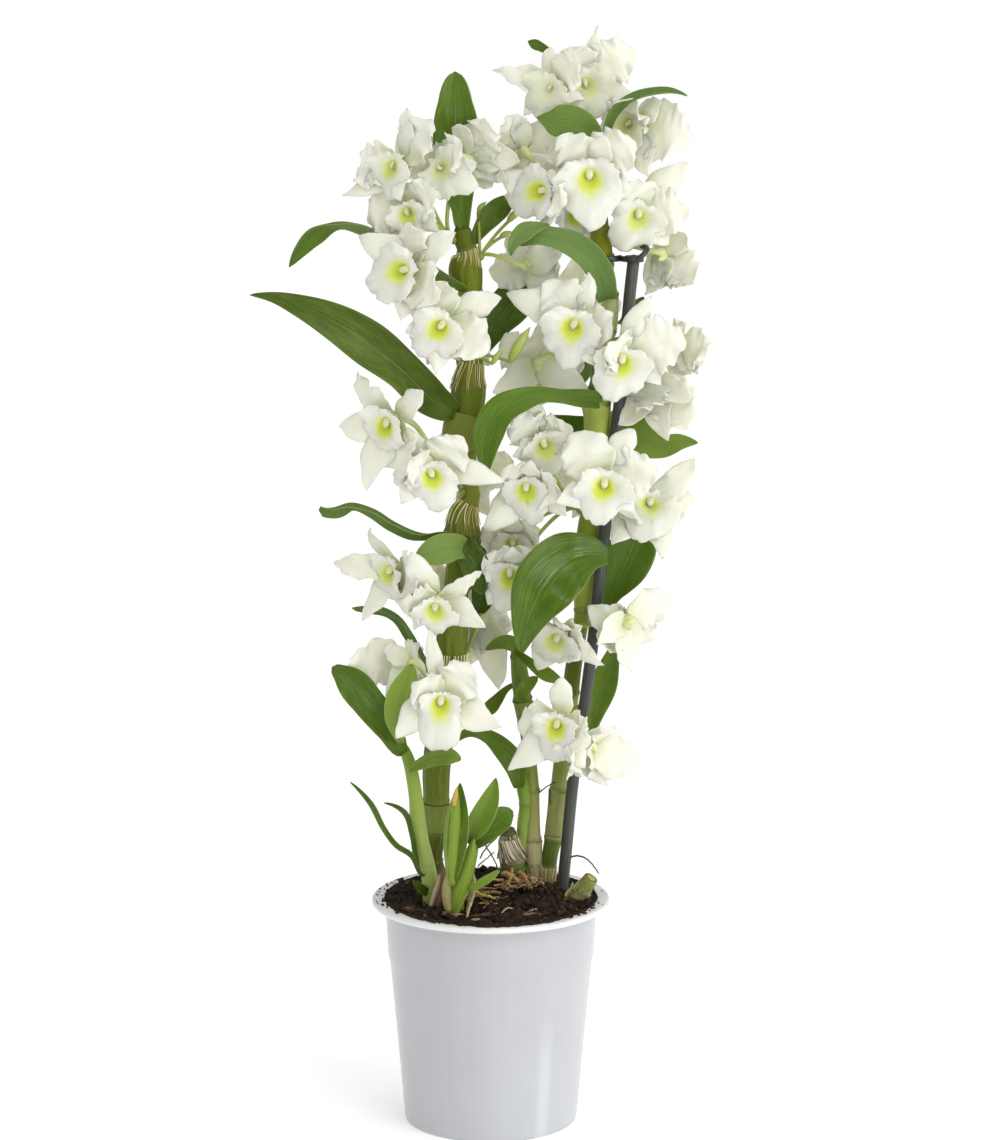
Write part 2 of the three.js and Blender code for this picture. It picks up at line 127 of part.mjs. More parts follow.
// ---- flowers: centre, facing, dorsal direction, size, stem group, tips of the dorsal
// sepal, left petal, left sepal, right sepal and right petal, and the tip of the lip ----
const FLOWERS = {
  L1: { c: [-43.3, -0.3, 483.3], n: [-0.63, -0.721, 0.29], d: [0.199, 0.21, 0.957], s: 1, g: 'left_top',
    tips: [[-39.7, 2.7, 509.9], [-67, 12.6, 478.5], [-70.2, 6.2, 466.8], [-44.7, -15.3, 466.8], [-28.8, -7.3, 505.8]], lip: [-53.8, -12.1, 471] },
  L4: { c: [-37.2, -6.2, 463], n: [-0.612, -0.789, -0.06], d: [-0.425, 0.263, 0.866], s: 0.92, g: 'left_top',
    tips: [[-52.7, 7.2, 468.7], [-60, 5.7, 457.6], [-48.2, 2, 446.2], [-34.6, -16.9, 448.1], [-30.1, -24.9, 468.2]], lip: [-37.3, -18.5, 449.3] },
  L2: { c: [-22.9, -2.9, 480.3], n: [-0.55, -0.711, 0.438], d: [0.395, 0.24, 0.887], s: 0.9, g: 'left_top',
    tips: [[-20.8, 9.8, 494.4], [-35.1, 12.6, 489.3], [-31.7, -15.8, 472.2], [-8.9, -17.3, 486.8], [-17.1, -17, 491.6]], lip: [-7.9, -25.1, 476.8] },
  L3: { c: [-10.9, 10, 488], n: [0.457, 0.834, 0.31], d: [-0.486, -0.058, 0.872], s: 1, g: 'left_crown',
    tips: [[-15.8, 2.8, 505.6], [-26.4, 24.4, 496.7], [8.5, 7, 476.1], [15.3, 1.5, 486.7], [-2.2, -2.9, 504.5]], lip: [2.4, 20.6, 477.3] },
  L5: { c: [-37.3, -18.1, 433.4], n: [-0.454, -0.858, 0.242], d: [0.661, -0.142, 0.736], s: 1.05, g: 'left_high',
    tips: [[-18, -25.6, 453.8], [-42, -11.3, 455.3], [-65, -7.6, 449.1], [-42.8, -26, 410.3], [-24.2, -35.9, 421.1]], lip: [-74, -17.1, 422.4] },
  L6: { c: [-21.9, -23.7, 408.7], n: [-0.1, -0.986, 0.133], d: [0.7, 0.025, 0.713], s: 1.05, g: 'left_high',
    tips: [[4.6, -27.4, 421.6], [-32.1, -24.4, 429], [-41.4, -26.4, 404.5], [-26.4, -29.9, 384.9], [-0.7, -31.6, 395.4]], lip: [-33.9, -36.4, 396] },
  L7: { c: [17.1, 12.3, 432.5], n: [0.262, 0.965, 0.033], d: [-0.903, 0.257, -0.344], s: 0.95, g: 'left_bud',
    tips: [[9.6, 25.6, 420.5], [34.2, 11.5, 422.1], [37, 8.9, 440.6], [7.1, 20.8, 446.3], [-0.9, 24, 429.1]], lip: [34, 18.9, 438.2] },
  L8: { c: [-46, -16.8, 360.8], n: [-0.607, -0.794, 0.045], d: [0.406, -0.261, 0.876], s: 1.08, g: 'left_mid',
    tips: [[-31.6, -34, 376.2], [-66.9, -6.2, 382.2], [-75.1, -4.7, 355.3], [-60.1, -16.9, 325.9], [-42.2, -24.9, 329.7]], lip: [-57.7, -25, 347.5] },
  L9: { c: [-28.3, -25.8, 337.3], n: [-0.101, -0.991, 0.082], d: [-0.183, 0.1, 0.978], s: 1, g: 'left_mid',
    tips: [[-40.6, -26.5, 358], [-39.9, -38.5, 340.8], [-43.6, -28.5, 320.4], [7, -30.8, 331.7], [-13.3, -31.2, 353.8]], lip: [-24.5, -38.8, 313.8] },
  L10: { c: [-44.4, -11.9, 286.3], n: [-0.706, -0.703, 0.08], d: [-0.296, 0.396, 0.869], s: 1, g: 'left_low',
    tips: [[-62.8, 1.7, 302.8], [-77.4, 2.3, 285.5], [-61.8, -8.8, 258.8], [-37.7, -23.2, 260.2], [-34.4, -33.5, 281.2]], lip: [-58.5, -15.8, 272.3] },
  L11: { c: [-26.4, -27.1, 273.5], n: [-0.101, -0.954, -0.283], d: [-0.147, -0.267, 0.952], s: 1, g: 'left_low',
    tips: [[-38.7, -34.9, 297.8], [-43.2, -34.3, 272.9], [-37.7, -20.2, 257.1], [-2.7, -29.2, 260.9], [-5.1, -36.1, 289.6]], lip: [-27.7, -32.8, 252.2] },
  L12: { c: [-24.1, -30.2, 224.5], n: [0, -0.983, 0.184], d: [-0.087, 0.183, 0.979], s: 1.05, g: 'left_front',
    tips: [[-29.8, -26.7, 256.9], [-37.4, -41, 233.4], [-46.4, -36.8, 205.4], [4.6, -35.5, 210.1], [-9.1, -32.4, 242.1]], lip: [-26.7, -46.1, 199] },
  L13: { c: [-39.9, -7.2, 236.9], n: [-0.552, 0.819, -0.153], d: [-0.121, 0.103, 0.987], s: 0.95, g: 'left_front',
    tips: [[-51.6, -19.6, 245.9], [-33.5, 11.7, 240.4], [-35.4, 3.3, 220.7], [-51.9, -15.3, 219.2], [-69.5, -18.7, 236.1]], lip: [-44.1, 0.2, 219.9] },
  H10: { c: [-4.7, 25.6, 252.9], n: [0.1, 0.851, -0.515], d: [-0.328, 0.517, 0.79], s: 1, g: 'left_back',
    tips: [[-8.6, 44.5, 253.4], [10.7, 34.5, 249.1], [4.1, 11.8, 218.9], [-10.5, 16.4, 231.2], [-14.2, 41, 247.8]], lip: [1.9, 27, 234] },
  R1: { c: [39.6, 3.4, 522.2], n: [-0.959, -0.125, 0.253], d: [0.232, 0.159, 0.96], s: 1.05, g: 'right_top',
    tips: [[34, 24.6, 540.2], [0.7, 12.7, 528.7], [18.8, 16, 507.1], [40.6, -21.1, 511], [19.8, 22.5, 534.9]], lip: [23.9, -0.8, 508.8] },
  R2: { c: [45.7, 16.4, 521.7], n: [0.05, -0.943, 0.33], d: [0.168, 0.333, 0.928], s: 1.1, g: 'right_top',
    tips: [[52.6, 22.7, 549.5], [33.9, 15.7, 536.8], [36.6, -0.3, 512.5], [68, 10.9, 516.7], [71.1, 19.2, 536.6]], lip: [48.3, -1.7, 510.7] },
  R3: { c: [71.5, 12.7, 502.4], n: [-0.453, -0.852, 0.262], d: [0.441, 0.041, 0.896], s: 1.1, g: 'right_top',
    tips: [[83.1, -3.6, 513.7], [68.6, -2.8, 514.6], [59.2, 4, 489.9], [76.7, -0.6, 477.2], [96.8, -4.4, 496.4]], lip: [59.1, 0.7, 498.9] },
  R4: { c: [48.2, -14, 481.1], n: [-0.05, -0.99, 0.134], d: [0.256, 0.116, 0.96], s: 1.1, g: 'right_crown',
    tips: [[55.1, -21.5, 499.1], [33, -16.6, 497.3], [29.7, -20.6, 472.6], [67.2, -22.1, 471.8], [70.1, -17.1, 496.4]], lip: [47.4, -28.9, 457] },
  R5: { c: [29.5, -8.3, 471.6], n: [-0.502, -0.858, 0.109], d: [0.369, -0.098, 0.924], s: 1, g: 'right_crown',
    tips: [[31.5, -25.1, 481.6], [19.2, 2.4, 485.2], [4.6, 1.7, 479.4], [26.9, -16.1, 453.3], [34.4, -27.5, 466]], lip: [3.1, -7.2, 466.6] },
  R6: { c: [16, 6.6, 490.1], n: [-0.206, 0.969, 0.134], d: [-0.287, -0.191, 0.939], s: 1, g: 'right_crown',
    tips: [[13.3, 1, 506.6], [33.1, 18.4, 493.7], [26.7, 18.4, 476.1], [-5.2, 5.7, 485.9], [5.1, -1.6, 502]], lip: [18.3, 21, 476.2] },
  R7: { c: [71.2, 9.8, 459.7], n: [0.254, -0.959, 0.127], d: [0.481, 0.239, 0.844], s: 1.05, g: 'right_side',
    tips: [[95.8, 14.6, 482.3], [66.9, -2.4, 474.9], [59.6, -5, 466.4], [88.1, 9.1, 443], [96, 13.8, 458.8]], lip: [67.9, -5.7, 443.1] },
  R8: { c: [42, 19.9, 460.3], n: [-0.101, -0.987, -0.123], d: [-0.032, -0.121, 0.992], s: 0.9, g: 'right_side',
    tips: [[42.7, 5.8, 470.3], [30.6, 8.6, 462.7], [37.2, 21.6, 444.2], [49, 18.2, 445.6], [53.6, 7.2, 462.8]], lip: [42.9, 10.2, 447.3] },
  R9: { c: [85, 21.9, 438.1], n: [0.404, 0.912, -0.068], d: [-0.041, 0.092, 0.995], s: 1, g: 'right_side',
    tips: [[98, 11.5, 446.2], [100.4, 16.2, 423], [89.9, 24.1, 419.2], [78.1, 27.4, 415.8], [79.5, 39.7, 431.4]], lip: [90.3, 30.9, 421] },
  R10: { c: [42.3, -10.3, 407.5], n: [-0.151, -0.972, 0.181], d: [0.335, 0.122, 0.934], s: 1.08, g: 'right_high',
    tips: [[47.9, -11.2, 431.4], [26.5, -7.9, 425.7], [6.6, -6.5, 421.6], [51.3, -20.1, 387.1], [58.9, -23.6, 401.2]], lip: [33.7, -24.7, 391.6] },
  R14: { c: [23.4, 7.6, 384.9], n: [0, 0.958, -0.285], d: [0, 0.285, 0.958], s: 1.1, g: 'right_high',
    tips: [[24.5, 27, 391.3], [46.7, 12.9, 382.7], [48.1, 7.1, 371.5], [1.1, 6.6, 370.1], [6.6, 18.6, 397.9]], lip: [23.4, 14.6, 364] },
  R11: { c: [63.7, -13.7, 390.5], n: [0.101, -0.967, 0.232], d: [0.335, 0.253, 0.908], s: 1.1, g: 'right_high',
    tips: [[78.2, -9.2, 419.5], [55.8, -30.3, 398.6], [54.9, -31.1, 388.5], [82.5, -19.1, 378.1], [95.8, -12.4, 398.8]], lip: [60.8, -30.8, 373.8] },
  R12: { c: [92.3, 15.7, 393.9], n: [0.423, 0.904, -0.061], d: [0.1, 0.02, 0.995], s: 1, g: 'right_outer',
    tips: [[92.4, 32.2, 403.2], [105.9, 3.1, 391.9], [102.6, 13.4, 378.6], [88.4, 26.8, 377.8], [85.6, 34.5, 392.9]], lip: [95.6, 25.8, 376.9] },
  R13: { c: [79.7, 6, 380.8], n: [0.457, 0.666, -0.59], d: [0.585, 0.274, 0.763], s: 1.05, g: 'right_outer',
    tips: [[97.6, -11.7, 369.2], [73.3, -7.3, 362.6], [63.2, -0.5, 353.2], [86.5, -11.1, 349.3], [95.7, -12.7, 356.5]], lip: [75.2, 9.3, 360.5] },
  R15: { c: [24.1, -4, 349.7], n: [0.25, -0.96, -0.126], d: [-0.437, -0.228, 0.87], s: 1, g: 'right_mid',
    tips: [[19.7, -15.3, 368.7], [11.4, -18.3, 360.3], [11, -15.7, 342.1], [46.1, 0.4, 342.6], [39.9, -9.5, 355]], lip: [32.1, -11.1, 329.4] },
  R16: { c: [18.7, -9.3, 328.4], n: [-0.202, -0.979, -0.022], d: [0.13, -0.05, 0.99], s: 1, g: 'right_mid',
    tips: [[19.2, -24.1, 340.4], [7.5, -20.2, 337.8], [-4.3, -9.4, 302.7], [37, -15.8, 312.3], [33, -21.3, 321.2]], lip: [18.3, -19.4, 298] },
  R19: { c: [10.4, 18.9, 295.1], n: [0.101, -0.991, 0.082], d: [0.183, 0.1, 0.978], s: 0.95, g: 'right_mid',
    tips: [[12, 5.8, 306.6], [-6.4, 9.5, 295.8], [-1.4, 12.1, 281.1], [19.6, 14.5, 281.7], [24.5, 10.8, 300.6]], lip: [8.7, 6.4, 280.8] },
  R17: { c: [55.7, -25.8, 331.4], n: [0, -0.973, 0.233], d: [0.342, 0.219, 0.914], s: 1.1, g: 'right_mid',
    tips: [[69.9, -23.1, 357.5], [37.7, -24, 354.2], [32.3, -32.1, 322], [69.7, -35.5, 317.7], [81.5, -28, 338.1]], lip: [52, -42.5, 315.4] },
  R18: { c: [77.9, 10.9, 312], n: [0.21, -0.669, 0.713], d: [0.773, 0.56, 0.298], s: 1.08, g: 'right_front',
    tips: [[101.2, 26.9, 332.4], [62.7, -8, 314], [59.9, -9.2, 296.6], [85.6, -9.2, 290.6], [99.6, 20.2, 312.7]], lip: [74.9, -15.9, 300.3] },
  R20: { c: [10.3, -0.7, 282.5], n: [-0.1, -0.978, 0.183], d: [0.172, 0.164, 0.971], s: 1, g: 'right_mid',
    tips: [[10.5, -12.9, 295.8], [-3.3, -8.7, 291], [-1.3, -6.4, 265.4], [19.4, -11.3, 269.4], [24.3, -11.8, 289.6]], lip: [6.1, -15, 263.1] },
  R21: { c: [36.2, -4.8, 254.8], n: [-0.595, -0.641, -0.485], d: [-0.172, -0.488, 0.855], s: 1.05, g: 'right_low',
    tips: [[28.2, -25.2, 266.1], [19.7, 14.6, 246], [22.6, 7.7, 229], [54.6, -11.8, 235.7], [48.8, -25.2, 247.1]], lip: [27, -0.3, 234.8] },
  R22: { c: [67.5, -5.2, 262.2], n: [-0.62, 0.777, 0.107], d: [0.443, 0.234, 0.865], s: 1.1, g: 'right_low',
    tips: [[79.9, 17.7, 261.7], [82.3, 14.6, 248], [68, 1.4, 233.9], [53.9, -19.8, 252.5], [91.7, 14, 267.6]], lip: [54.5, 4.3, 253.2] },
  R23: { c: [35.4, -25, 212], n: [-0.352, -0.928, 0.122], d: [0.212, 0.048, 0.976], s: 1.05, g: 'right_base',
    tips: [[35.1, -29.3, 234.4], [12.5, -18.3, 208.2], [10, -25, 187], [45.9, -35.3, 188.9], [48.7, -40.6, 202.8]], lip: [27.2, -37.2, 192.4] },
  R24: { c: [47.9, -12.5, 199.2], n: [0.539, 0.537, -0.649], d: [0.455, 0.462, 0.761], s: 1.05, g: 'right_base',
    tips: [[56.8, -31.4, 205.7], [71.1, -31.5, 191.6], [55.9, -32.5, 182.2], [37.3, -21, 181.4], [39.8, 6.5, 188.1]], lip: [46.6, -13.9, 178.2] },
  B1: { c: [-15.5, 37.2, 400.4], n: [-0.253, 0.964, -0.077], d: [0.026, 0.086, 0.996], s: 1.05, g: 'left_high',
    tips: [[-15.7, 42.8, 427.9], [9.1, 47.8, 408.4], [-1.1, 42.5, 378.7], [-32.6, 34.4, 380.2], [-41.4, 34.7, 410.9]], lip: [-19.1, 47.4, 382.4] },
  B2: { c: [-12.1, 38.6, 326.2], n: [-0.3, 0.914, -0.272], d: [0.13, 0.322, 0.938], s: 1, g: 'left_mid',
    tips: [[-9.6, 50, 350.2], [11.6, 50.5, 328.5], [-1, 38.7, 303.4], [-30.3, 31.1, 310.1], [-35.4, 38.3, 339.2]], lip: [-17.7, 43.9, 307.7] },
  B3: { c: [-17.3, 36.1, 265.3], n: [-0.352, 0.92, -0.172], d: [0, 0.184, 0.983], s: 1, g: 'left_back',
    tips: [[-18.4, 43.9, 290.8], [4.9, 49.3, 272], [-3.9, 40.6, 244.2], [-32.9, 29.9, 246.2], [-41.7, 32.1, 275.2]], lip: [-21.4, 43.7, 247.2] },
  B4: { c: [37.5, 38.9, 406.3], n: [0.101, 0.991, -0.082], d: [0.163, 0.065, 0.984], s: 1.05, g: 'right_high',
    tips: [[42.4, 44, 433.4], [65.1, 39.9, 411.3], [50.4, 38.9, 383], [18.5, 42.5, 388], [13.7, 45.8, 419.4]], lip: [35.9, 49.8, 388.3] },
  B5: { c: [52.9, 39.9, 325.8], n: [0.252, 0.941, -0.227], d: [-0.151, 0.27, 0.951], s: 1.05, g: 'right_front',
    tips: [[49.5, 50.6, 351.5], [77.3, 40.3, 339.6], [72.4, 34, 308.7], [41.3, 40.6, 301.9], [27.3, 51, 328.6]], lip: [58.5, 46.7, 306.7] },
  B6: { c: [45.3, 32.9, 481.6], n: [0.204, 0.979, -0.027], d: [-0.031, 0.034, 0.999], s: 1.05, g: 'right_crown',
    tips: [[45.1, 37.1, 509.3], [71.2, 31.2, 492], [62.5, 32, 461.3], [30.6, 38.6, 460.1], [20.1, 41.8, 490]], lip: [48.3, 44.2, 464.1] },
};

// ---- where each flower stem leaves its cane ----
const STEMS = {
  left_top: [-17.9, 6.4, 445.6, -0.940, -0.342],
  left_crown: [-15.6, 11.7, 450, -0.500, 0.866],
  left_high: [-14, 6.3, 390.3, -0.940, -0.342],
  left_bud: [-5.2, 7, 437.7, 0.985, -0.174],
  left_mid: [-13.7, 6.5, 320.3, -0.940, -0.342],
  left_low: [-24.9, 5.7, 260.5, -0.940, -0.342],
  left_front: [-27.8, 6.7, 221.1, -0.819, -0.574],
  left_back: [-12.6, 13.5, 238.9, 0.866, 0.500],
  right_top: [51.5, 5.8, 489.8, -0.985, -0.174],
  right_crown: [49.8, 8.1, 457.7, -0.940, -0.342],
  right_side: [56, 16, 440.4, 0.174, 0.985],
  right_high: [51.9, 10.7, 390.8, -0.940, -0.342],
  right_outer: [58.1, 15.2, 393.2, 0.500, 0.866],
  right_mid: [44.8, 15.2, 309.8, -0.985, -0.174],
  right_front: [53.5, 20.8, 325.1, 0.342, 0.940],
  right_low: [40.5, 19.1, 246.8, -0.940, -0.342],
  right_base: [38.9, 19.3, 199.7, -0.000, -1.000],
};

// ---- buds: base, tip, radius, stem group ----
const BUDS = [
  { base: [8.5, 14, 453.9], tip: [13.9, 12, 459], r: 2.2, g: 'left_bud' },
  { base: [4.6, 12, 446.2], tip: [9, 11, 448.2], r: 1.8, g: 'left_bud' },
  { base: [-6.2, 14, 458.8], tip: [-3.3, 15, 462.1], r: 1.6, g: 'left_bud' },
  { base: [9.5, -4, 386.9], tip: [16.3, -6, 399], r: 3, g: 'left_high' },
  { base: [0.7, -2, 385.6], tip: [4.6, -2, 390.6], r: 1.8, g: 'left_high' },
];

// ---- surface roots: [x, y, z, r] ----
const ROOTS = [
  [[-12.3, -34, 111.2, 1.6], [-11.3, -30, 118.8, 1.8], [-9.9, -20, 123.8, 1.7], [-9, -2, 128.2, 1.4]],
  [[-10.4, -22, 120.2, 1.6], [-5.4, -20, 121.7, 1.8], [-0.4, -16, 121.6, 1.8], [4.6, -12, 120, 1.5]],
  [[2.6, -20, 117.6, 1.6], [7.6, -10, 119.5, 2.2], [13.7, 4, 120.3, 2.4], [19.8, 16, 121.3, 1.8]],
  [[4.6, 2, 119.8, 1.4], [10.7, 8, 121.3, 1.8], [19.8, 16, 121.3, 1.6]],
];

const V = (a) => new THREE.Vector3(a[0], a[1], a[2]);

// ---- solids ----
function solid(geometry) {
  const g = geometry.clone();
  g.deleteAttribute('normal');
  g.deleteAttribute('uv');
  const m = mergeVertices(g, 1e-4);
  return new wasm.Manifold(new wasm.Mesh({
    numProp: 3,
    vertProperties: new Float32Array(m.attributes.position.array),
    triVerts: new Uint32Array(m.index.array),
  }));
}

function bend(geometry, map) {
  const p = geometry.attributes.position;
  const v = new THREE.Vector3();
  for (let i = 0; i < p.count; i++) {
    v.fromBufferAttribute(p, i);
    const q = map(v);
    p.setXYZ(i, q.x, q.y, q.z);
  }
  return geometry;
}

function frames(points) {
  const out = [];
  let ref = null;
  for (let i = 0; i < points.length; i++) {
    const a = points[Math.max(i - 1, 0)];
    const b = points[Math.min(i + 1, points.length - 1)];
    const t = b.clone().sub(a).normalize();
    if (!ref) ref = Math.abs(t.z) < 0.8 ? new THREE.Vector3(0, 0, 1) : new THREE.Vector3(1, 0, 0);
    const n = ref.clone().sub(t.clone().multiplyScalar(ref.dot(t))).normalize();
    out.push({ t, n, b: n.clone().cross(t) });
    ref = n;
  }
  return out;
}

// a round stem through the given points, with a radius at each
function stem(rows, sides, grow = 0) {
  const pts = rows.map(V);
  const fr = frames(pts);
  const n = rows.length - 1;
  const g = new THREE.CylinderGeometry(1, 1, 1, sides, n);
  return solid(bend(g, (v) => {
    const k = Math.round((v.y + 0.5) * n);
    const f = fr[k];
    const r = rows[k][3] + grow;
    const end = k === 0 ? -grow : k === n ? grow : 0;
    return pts[k].clone().addScaledVector(f.t, end)
      .addScaledVector(f.n, v.x * r).addScaledVector(f.b, v.z * r);
  }));
}

// a blade with a shallow keel through the given midrib rows
function blade(rows, grow = 0, thick = LEAF_THICK, fold = LEAF_FOLD) {
  const pts = rows.map(V);
  const n = rows.length - 1;
  const g = new THREE.BoxGeometry(1, 1, 1, 2, n, 1);
  const fr = rows.map((r, i) => {
    const t = pts[Math.min(i + 1, n)].clone().sub(pts[Math.max(i - 1, 0)]).normalize();
    const s = new THREE.Vector3(r[3], r[4], r[5]);
    const w = Math.max(s.length(), 0.7);
    s.normalize();
    return { t, s, w, n: s.clone().cross(t).normalize() };
  });
  return solid(bend(g, (v) => {
    const k = Math.round((v.y + 0.5) * n);
    const f = fr[k];
    const side = v.x * 2;
    const end = k === 0 ? -grow : k === n ? grow : 0;
    return pts[k].clone().addScaledVector(f.t, end)
      .addScaledVector(f.s, side * (f.w + grow))
      .addScaledVector(f.n, -Math.abs(side) * f.w * fold * 2 + v.z * (thick + 2 * grow));
  }));
}

// a flower: three sepals, two broad petals and the funnel of the lip, turned as one ring
// of fifteen spokes and then drawn out to the tips (a notch and two corners for each arm)
function flowerBody(f, grow) {
  const c = V(f.c);
  const nrm = V(f.n);
  const e2 = V(f.d);
  const e1 = e2.clone().cross(nrm);
  const arms = f.tips.map((t, i) => {
    const v = V(t).sub(c);
    return {
      a: Math.atan2(v.dot(e2), v.dot(e1)),
      r: Math.max(Math.min(Math.hypot(v.dot(e2), v.dot(e1)), 33), 12),
      h: Math.max(-11, Math.min(5, v.dot(nrm))),
      w: (i === 1 || i === 4 ? PETAL_TIP_W : SEPAL_TIP_W) * f.s,
    };
  }).sort((p, q) => p.a - q.a);
  for (let pass = 0; pass < 60; pass++) {
    for (let i = 0; i < 5; i++) {
      const p = arms[i];
      const q = arms[(i + 1) % 5];
      const gap = q.a + (i === 4 ? 2 * Math.PI : 0) - p.a;
      if (gap < ARM_MIN_ANGLE) {
        p.a -= (ARM_MIN_ANGLE - gap) / 2;
        q.a += (ARM_MIN_ANGLE - gap) / 2;
      }
    }
  }
  const tilt = V(f.lip).sub(c);
  tilt.addScaledVector(nrm, -tilt.dot(nrm)).normalize();
  const spoke = (j) => {
    const i = Math.floor(j / 3) % 5;
    const arm = arms[i];
    const prev = arms[(i + 4) % 5];
    if (j % 3 === 0) {
      const pa = prev.a - (i === 0 ? 2 * Math.PI : 0);
      return { a: (pa + arm.a) / 2, core: (pa + arm.a) / 2, r: 5.4, h: 0 };
    }
    const side = j % 3 === 1 ? -1 : 1;
    return { a: arm.a + side * Math.atan2(arm.w, arm.r), core: arm.a + side * 0.24, r: Math.hypot(arm.r, arm.w) - 0.3, h: arm.h };
  };
  const N = 15;
  const g = new THREE.LatheGeometry([[0, 0], [1, 1], [1, 2], [1, 3], [1, 4], [1, 5], [0, 6]].map((p) => new THREE.Vector2(p[0], p[1])), N);
  const at = (a, r, h) => c.clone().addScaledVector(e1, r * Math.cos(a)).addScaledVector(e2, r * Math.sin(a)).addScaledVector(nrm, h);
  const s = f.s;
  const half = PETAL_THICK / 2;
  return solid(bend(g, (v) => {
    const k = Math.round(v.y);
    if (k === 0) return at(0, 0, -3 * s - grow);
    if (k === 6) return at(0, 0, 3.6 * s + grow).addScaledVector(tilt, 1.2);
    const j = (Math.round((Math.atan2(v.x, v.z) / (2 * Math.PI)) * N) + N) % N;
    const q = spoke(j);
    if (k === 1) return at(q.core, CORE_R * s + grow, -1.1 * s - grow);
    if (k === 2) return at(q.a, q.r + grow, q.h - half - grow);
    if (k === 3) return at(q.a, q.r + grow, q.h + half + grow);
    if (k === 4) return at(q.core, (CORE_R + 0.1) * s + grow, 1.3 * s + grow);
    return at(q.core, LIP_R * s + grow, LIP_H * s + grow).addScaledVector(tilt, 4 * s);
  }));
}

function bezier(p0, p1, p2, p3, n, r) {
  const curve = new THREE.CubicBezierCurve3(p0, p1, p2, p3);
  return curve.getPoints(n).map((p) => [p.x, p.y, p.z, r]);
}

function pedicelRows(f, stemRow) {
  const c = V(f.c);
  const nrm = V(f.n);
  const p0 = V(stemRow);
  const out = new THREE.Vector3(stemRow[3], stemRow[4], 0);
  const end = c.clone().addScaledVector(nrm, -2.2 * f.s);
  const dist = end.distanceTo(p0);
  const p1 = p0.clone().addScaledVector(out, dist * 0.25).add(new THREE.Vector3(0, 0, dist * 0.18));
  const p2 = end.clone().addScaledVector(nrm, -dist * 0.38);
  return bezier(p0, p1, p2, end, 3, PEDICEL_R);
}

function flower(f, stemRow, grow) {
  return flowerBody(f, grow).add(stem(pedicelRows(f, stemRow), 3, grow));
}

function inflorescence(key, grow = 0) {
  const row = STEMS[key];
  const p0 = V(row);
  const ball = new THREE.OctahedronGeometry(2.4 + grow, 0);
  ball.translate(p0.x + row[3] * 1.6, p0.y + row[4] * 1.6, p0.z);
  let m = solid(ball);
  for (const name of Object.keys(FLOWERS)) if (FLOWERS[name].g === key) m = m.add(flower(FLOWERS[name], row, grow));
  for (const b of BUDS) {
    if (b.g !== key) continue;
    const tip = V(b.tip);
    const base = V(b.base);
    const mid = base.clone().lerp(tip, 0.5);
    m = m.add(stem([[...p0.toArray(), 1.1], [...base.toArray(), 1.0], [...mid.toArray(), b.r], [...tip.toArray(), 0.6]], 6, grow));
  }
  return m;
}

// ---- pot ----
function potProfile() {
  const h = POT_HEIGHT;
  return [[0, 0], [POT_BASE_R - 1.2, 0], [POT_BASE_R, 1.3], [51.2, POT_STEP_Z], [51.9, POT_STEP_Z + 1.5], [53.3, h - 4.6],
     [RIM_OUTER_R - 0.9, h - RIM_THICK], [RIM_OUTER_R, h - 1.2], [RIM_OUTER_R - 1.3, h],
    [RIM_INNER_R, h], [53.2 - POT_WALL, h - 5], [51.9 - POT_WALL, POT_STEP_Z + 1.5],
    [51.2 - POT_WALL, POT_STEP_Z], [POT_BASE_R - POT_WALL, POT_FLOOR], [0, POT_FLOOR]]
    .map((p) => new THREE.Vector2(p[0], p[1]));
}
function turned(profile, segments) {
  return new THREE.LatheGeometry(profile, segments).rotateX(Math.PI / 2);
}
function potSolid() {
  let m = solid(turned(potProfile(), 28));
  for (let i = 0; i < 5; i++) {
    const a = ((i * 72 + 18) * Math.PI) / 180;
    const hole = new THREE.CylinderGeometry(DRAIN_HOLE_R, DRAIN_HOLE_R, 8, 8).rotateX(Math.PI / 2)
      .translate(DRAIN_RING_R * Math.cos(a), DRAIN_RING_R * Math.sin(a), 0);
    m = m.subtract(solid(hole));
  }
  return m;
}
function mixSolid() {
  const w = POT_WALL + GAP;
  const profile = [[0, POT_FLOOR + GAP], [POT_BASE_R - w - 0.3, POT_FLOOR + GAP], [51.2 - w - 0.1, POT_STEP_Z],
    [51.9 - w - 0.1, POT_STEP_Z + 1.6], [53.0 - w - 0.3, MIX_EDGE_Z - 2], [49.2, MIX_EDGE_Z], [30, MIX_TOP_Z - 0.6], [0, MIX_TOP_Z]]
    .map((p) => new THREE.Vector2(p[0], p[1]));
  return solid(turned(profile, 22));
}

// ---- clip: a flat ring round the cane and the stake, with a curled hook ----
const CLIP_CANE = [57.6, 11.0];
const CLIP_STAKE = [70.2, 5.6];
const CLIP_Z = 436.6;
const CLIP_WIRE_R = 1.0;
function clipSolid(grow = 0) {
  const rows = [];
  const at = (c, r, deg, z) => {
    const a = (deg * Math.PI) / 180;
    rows.push([c[0] + r * Math.cos(a), c[1] + r * Math.sin(a), z, CLIP_WIRE_R]);
  };
  for (const a of [40, 0, -40, -80, -110]) at(CLIP_STAKE, 4.7, a, CLIP_Z);
  for (const a of [-112, -150, 180, 140, 100, 66]) at(CLIP_CANE, 6.6, a, CLIP_Z);
  at(CLIP_STAKE, 5.2, 108, CLIP_Z + 0.6);
  at(CLIP_STAKE, 4.6, 80, CLIP_Z + 3.4);
  rows.push([CLIP_STAKE[0] + 2.6, CLIP_STAKE[1] + 2.6, CLIP_Z + 6.4, CLIP_WIRE_R]);
  rows.push([CLIP_STAKE[0] + 5.2, CLIP_STAKE[1] + 0.4, CLIP_Z + 6.8, CLIP_WIRE_R]);
  rows.push([CLIP_STAKE[0] + 6.9, CLIP_STAKE[1] - 1.4, CLIP_Z + 4.4, CLIP_WIRE_R]);
  return stem(rows, 6, grow);
}


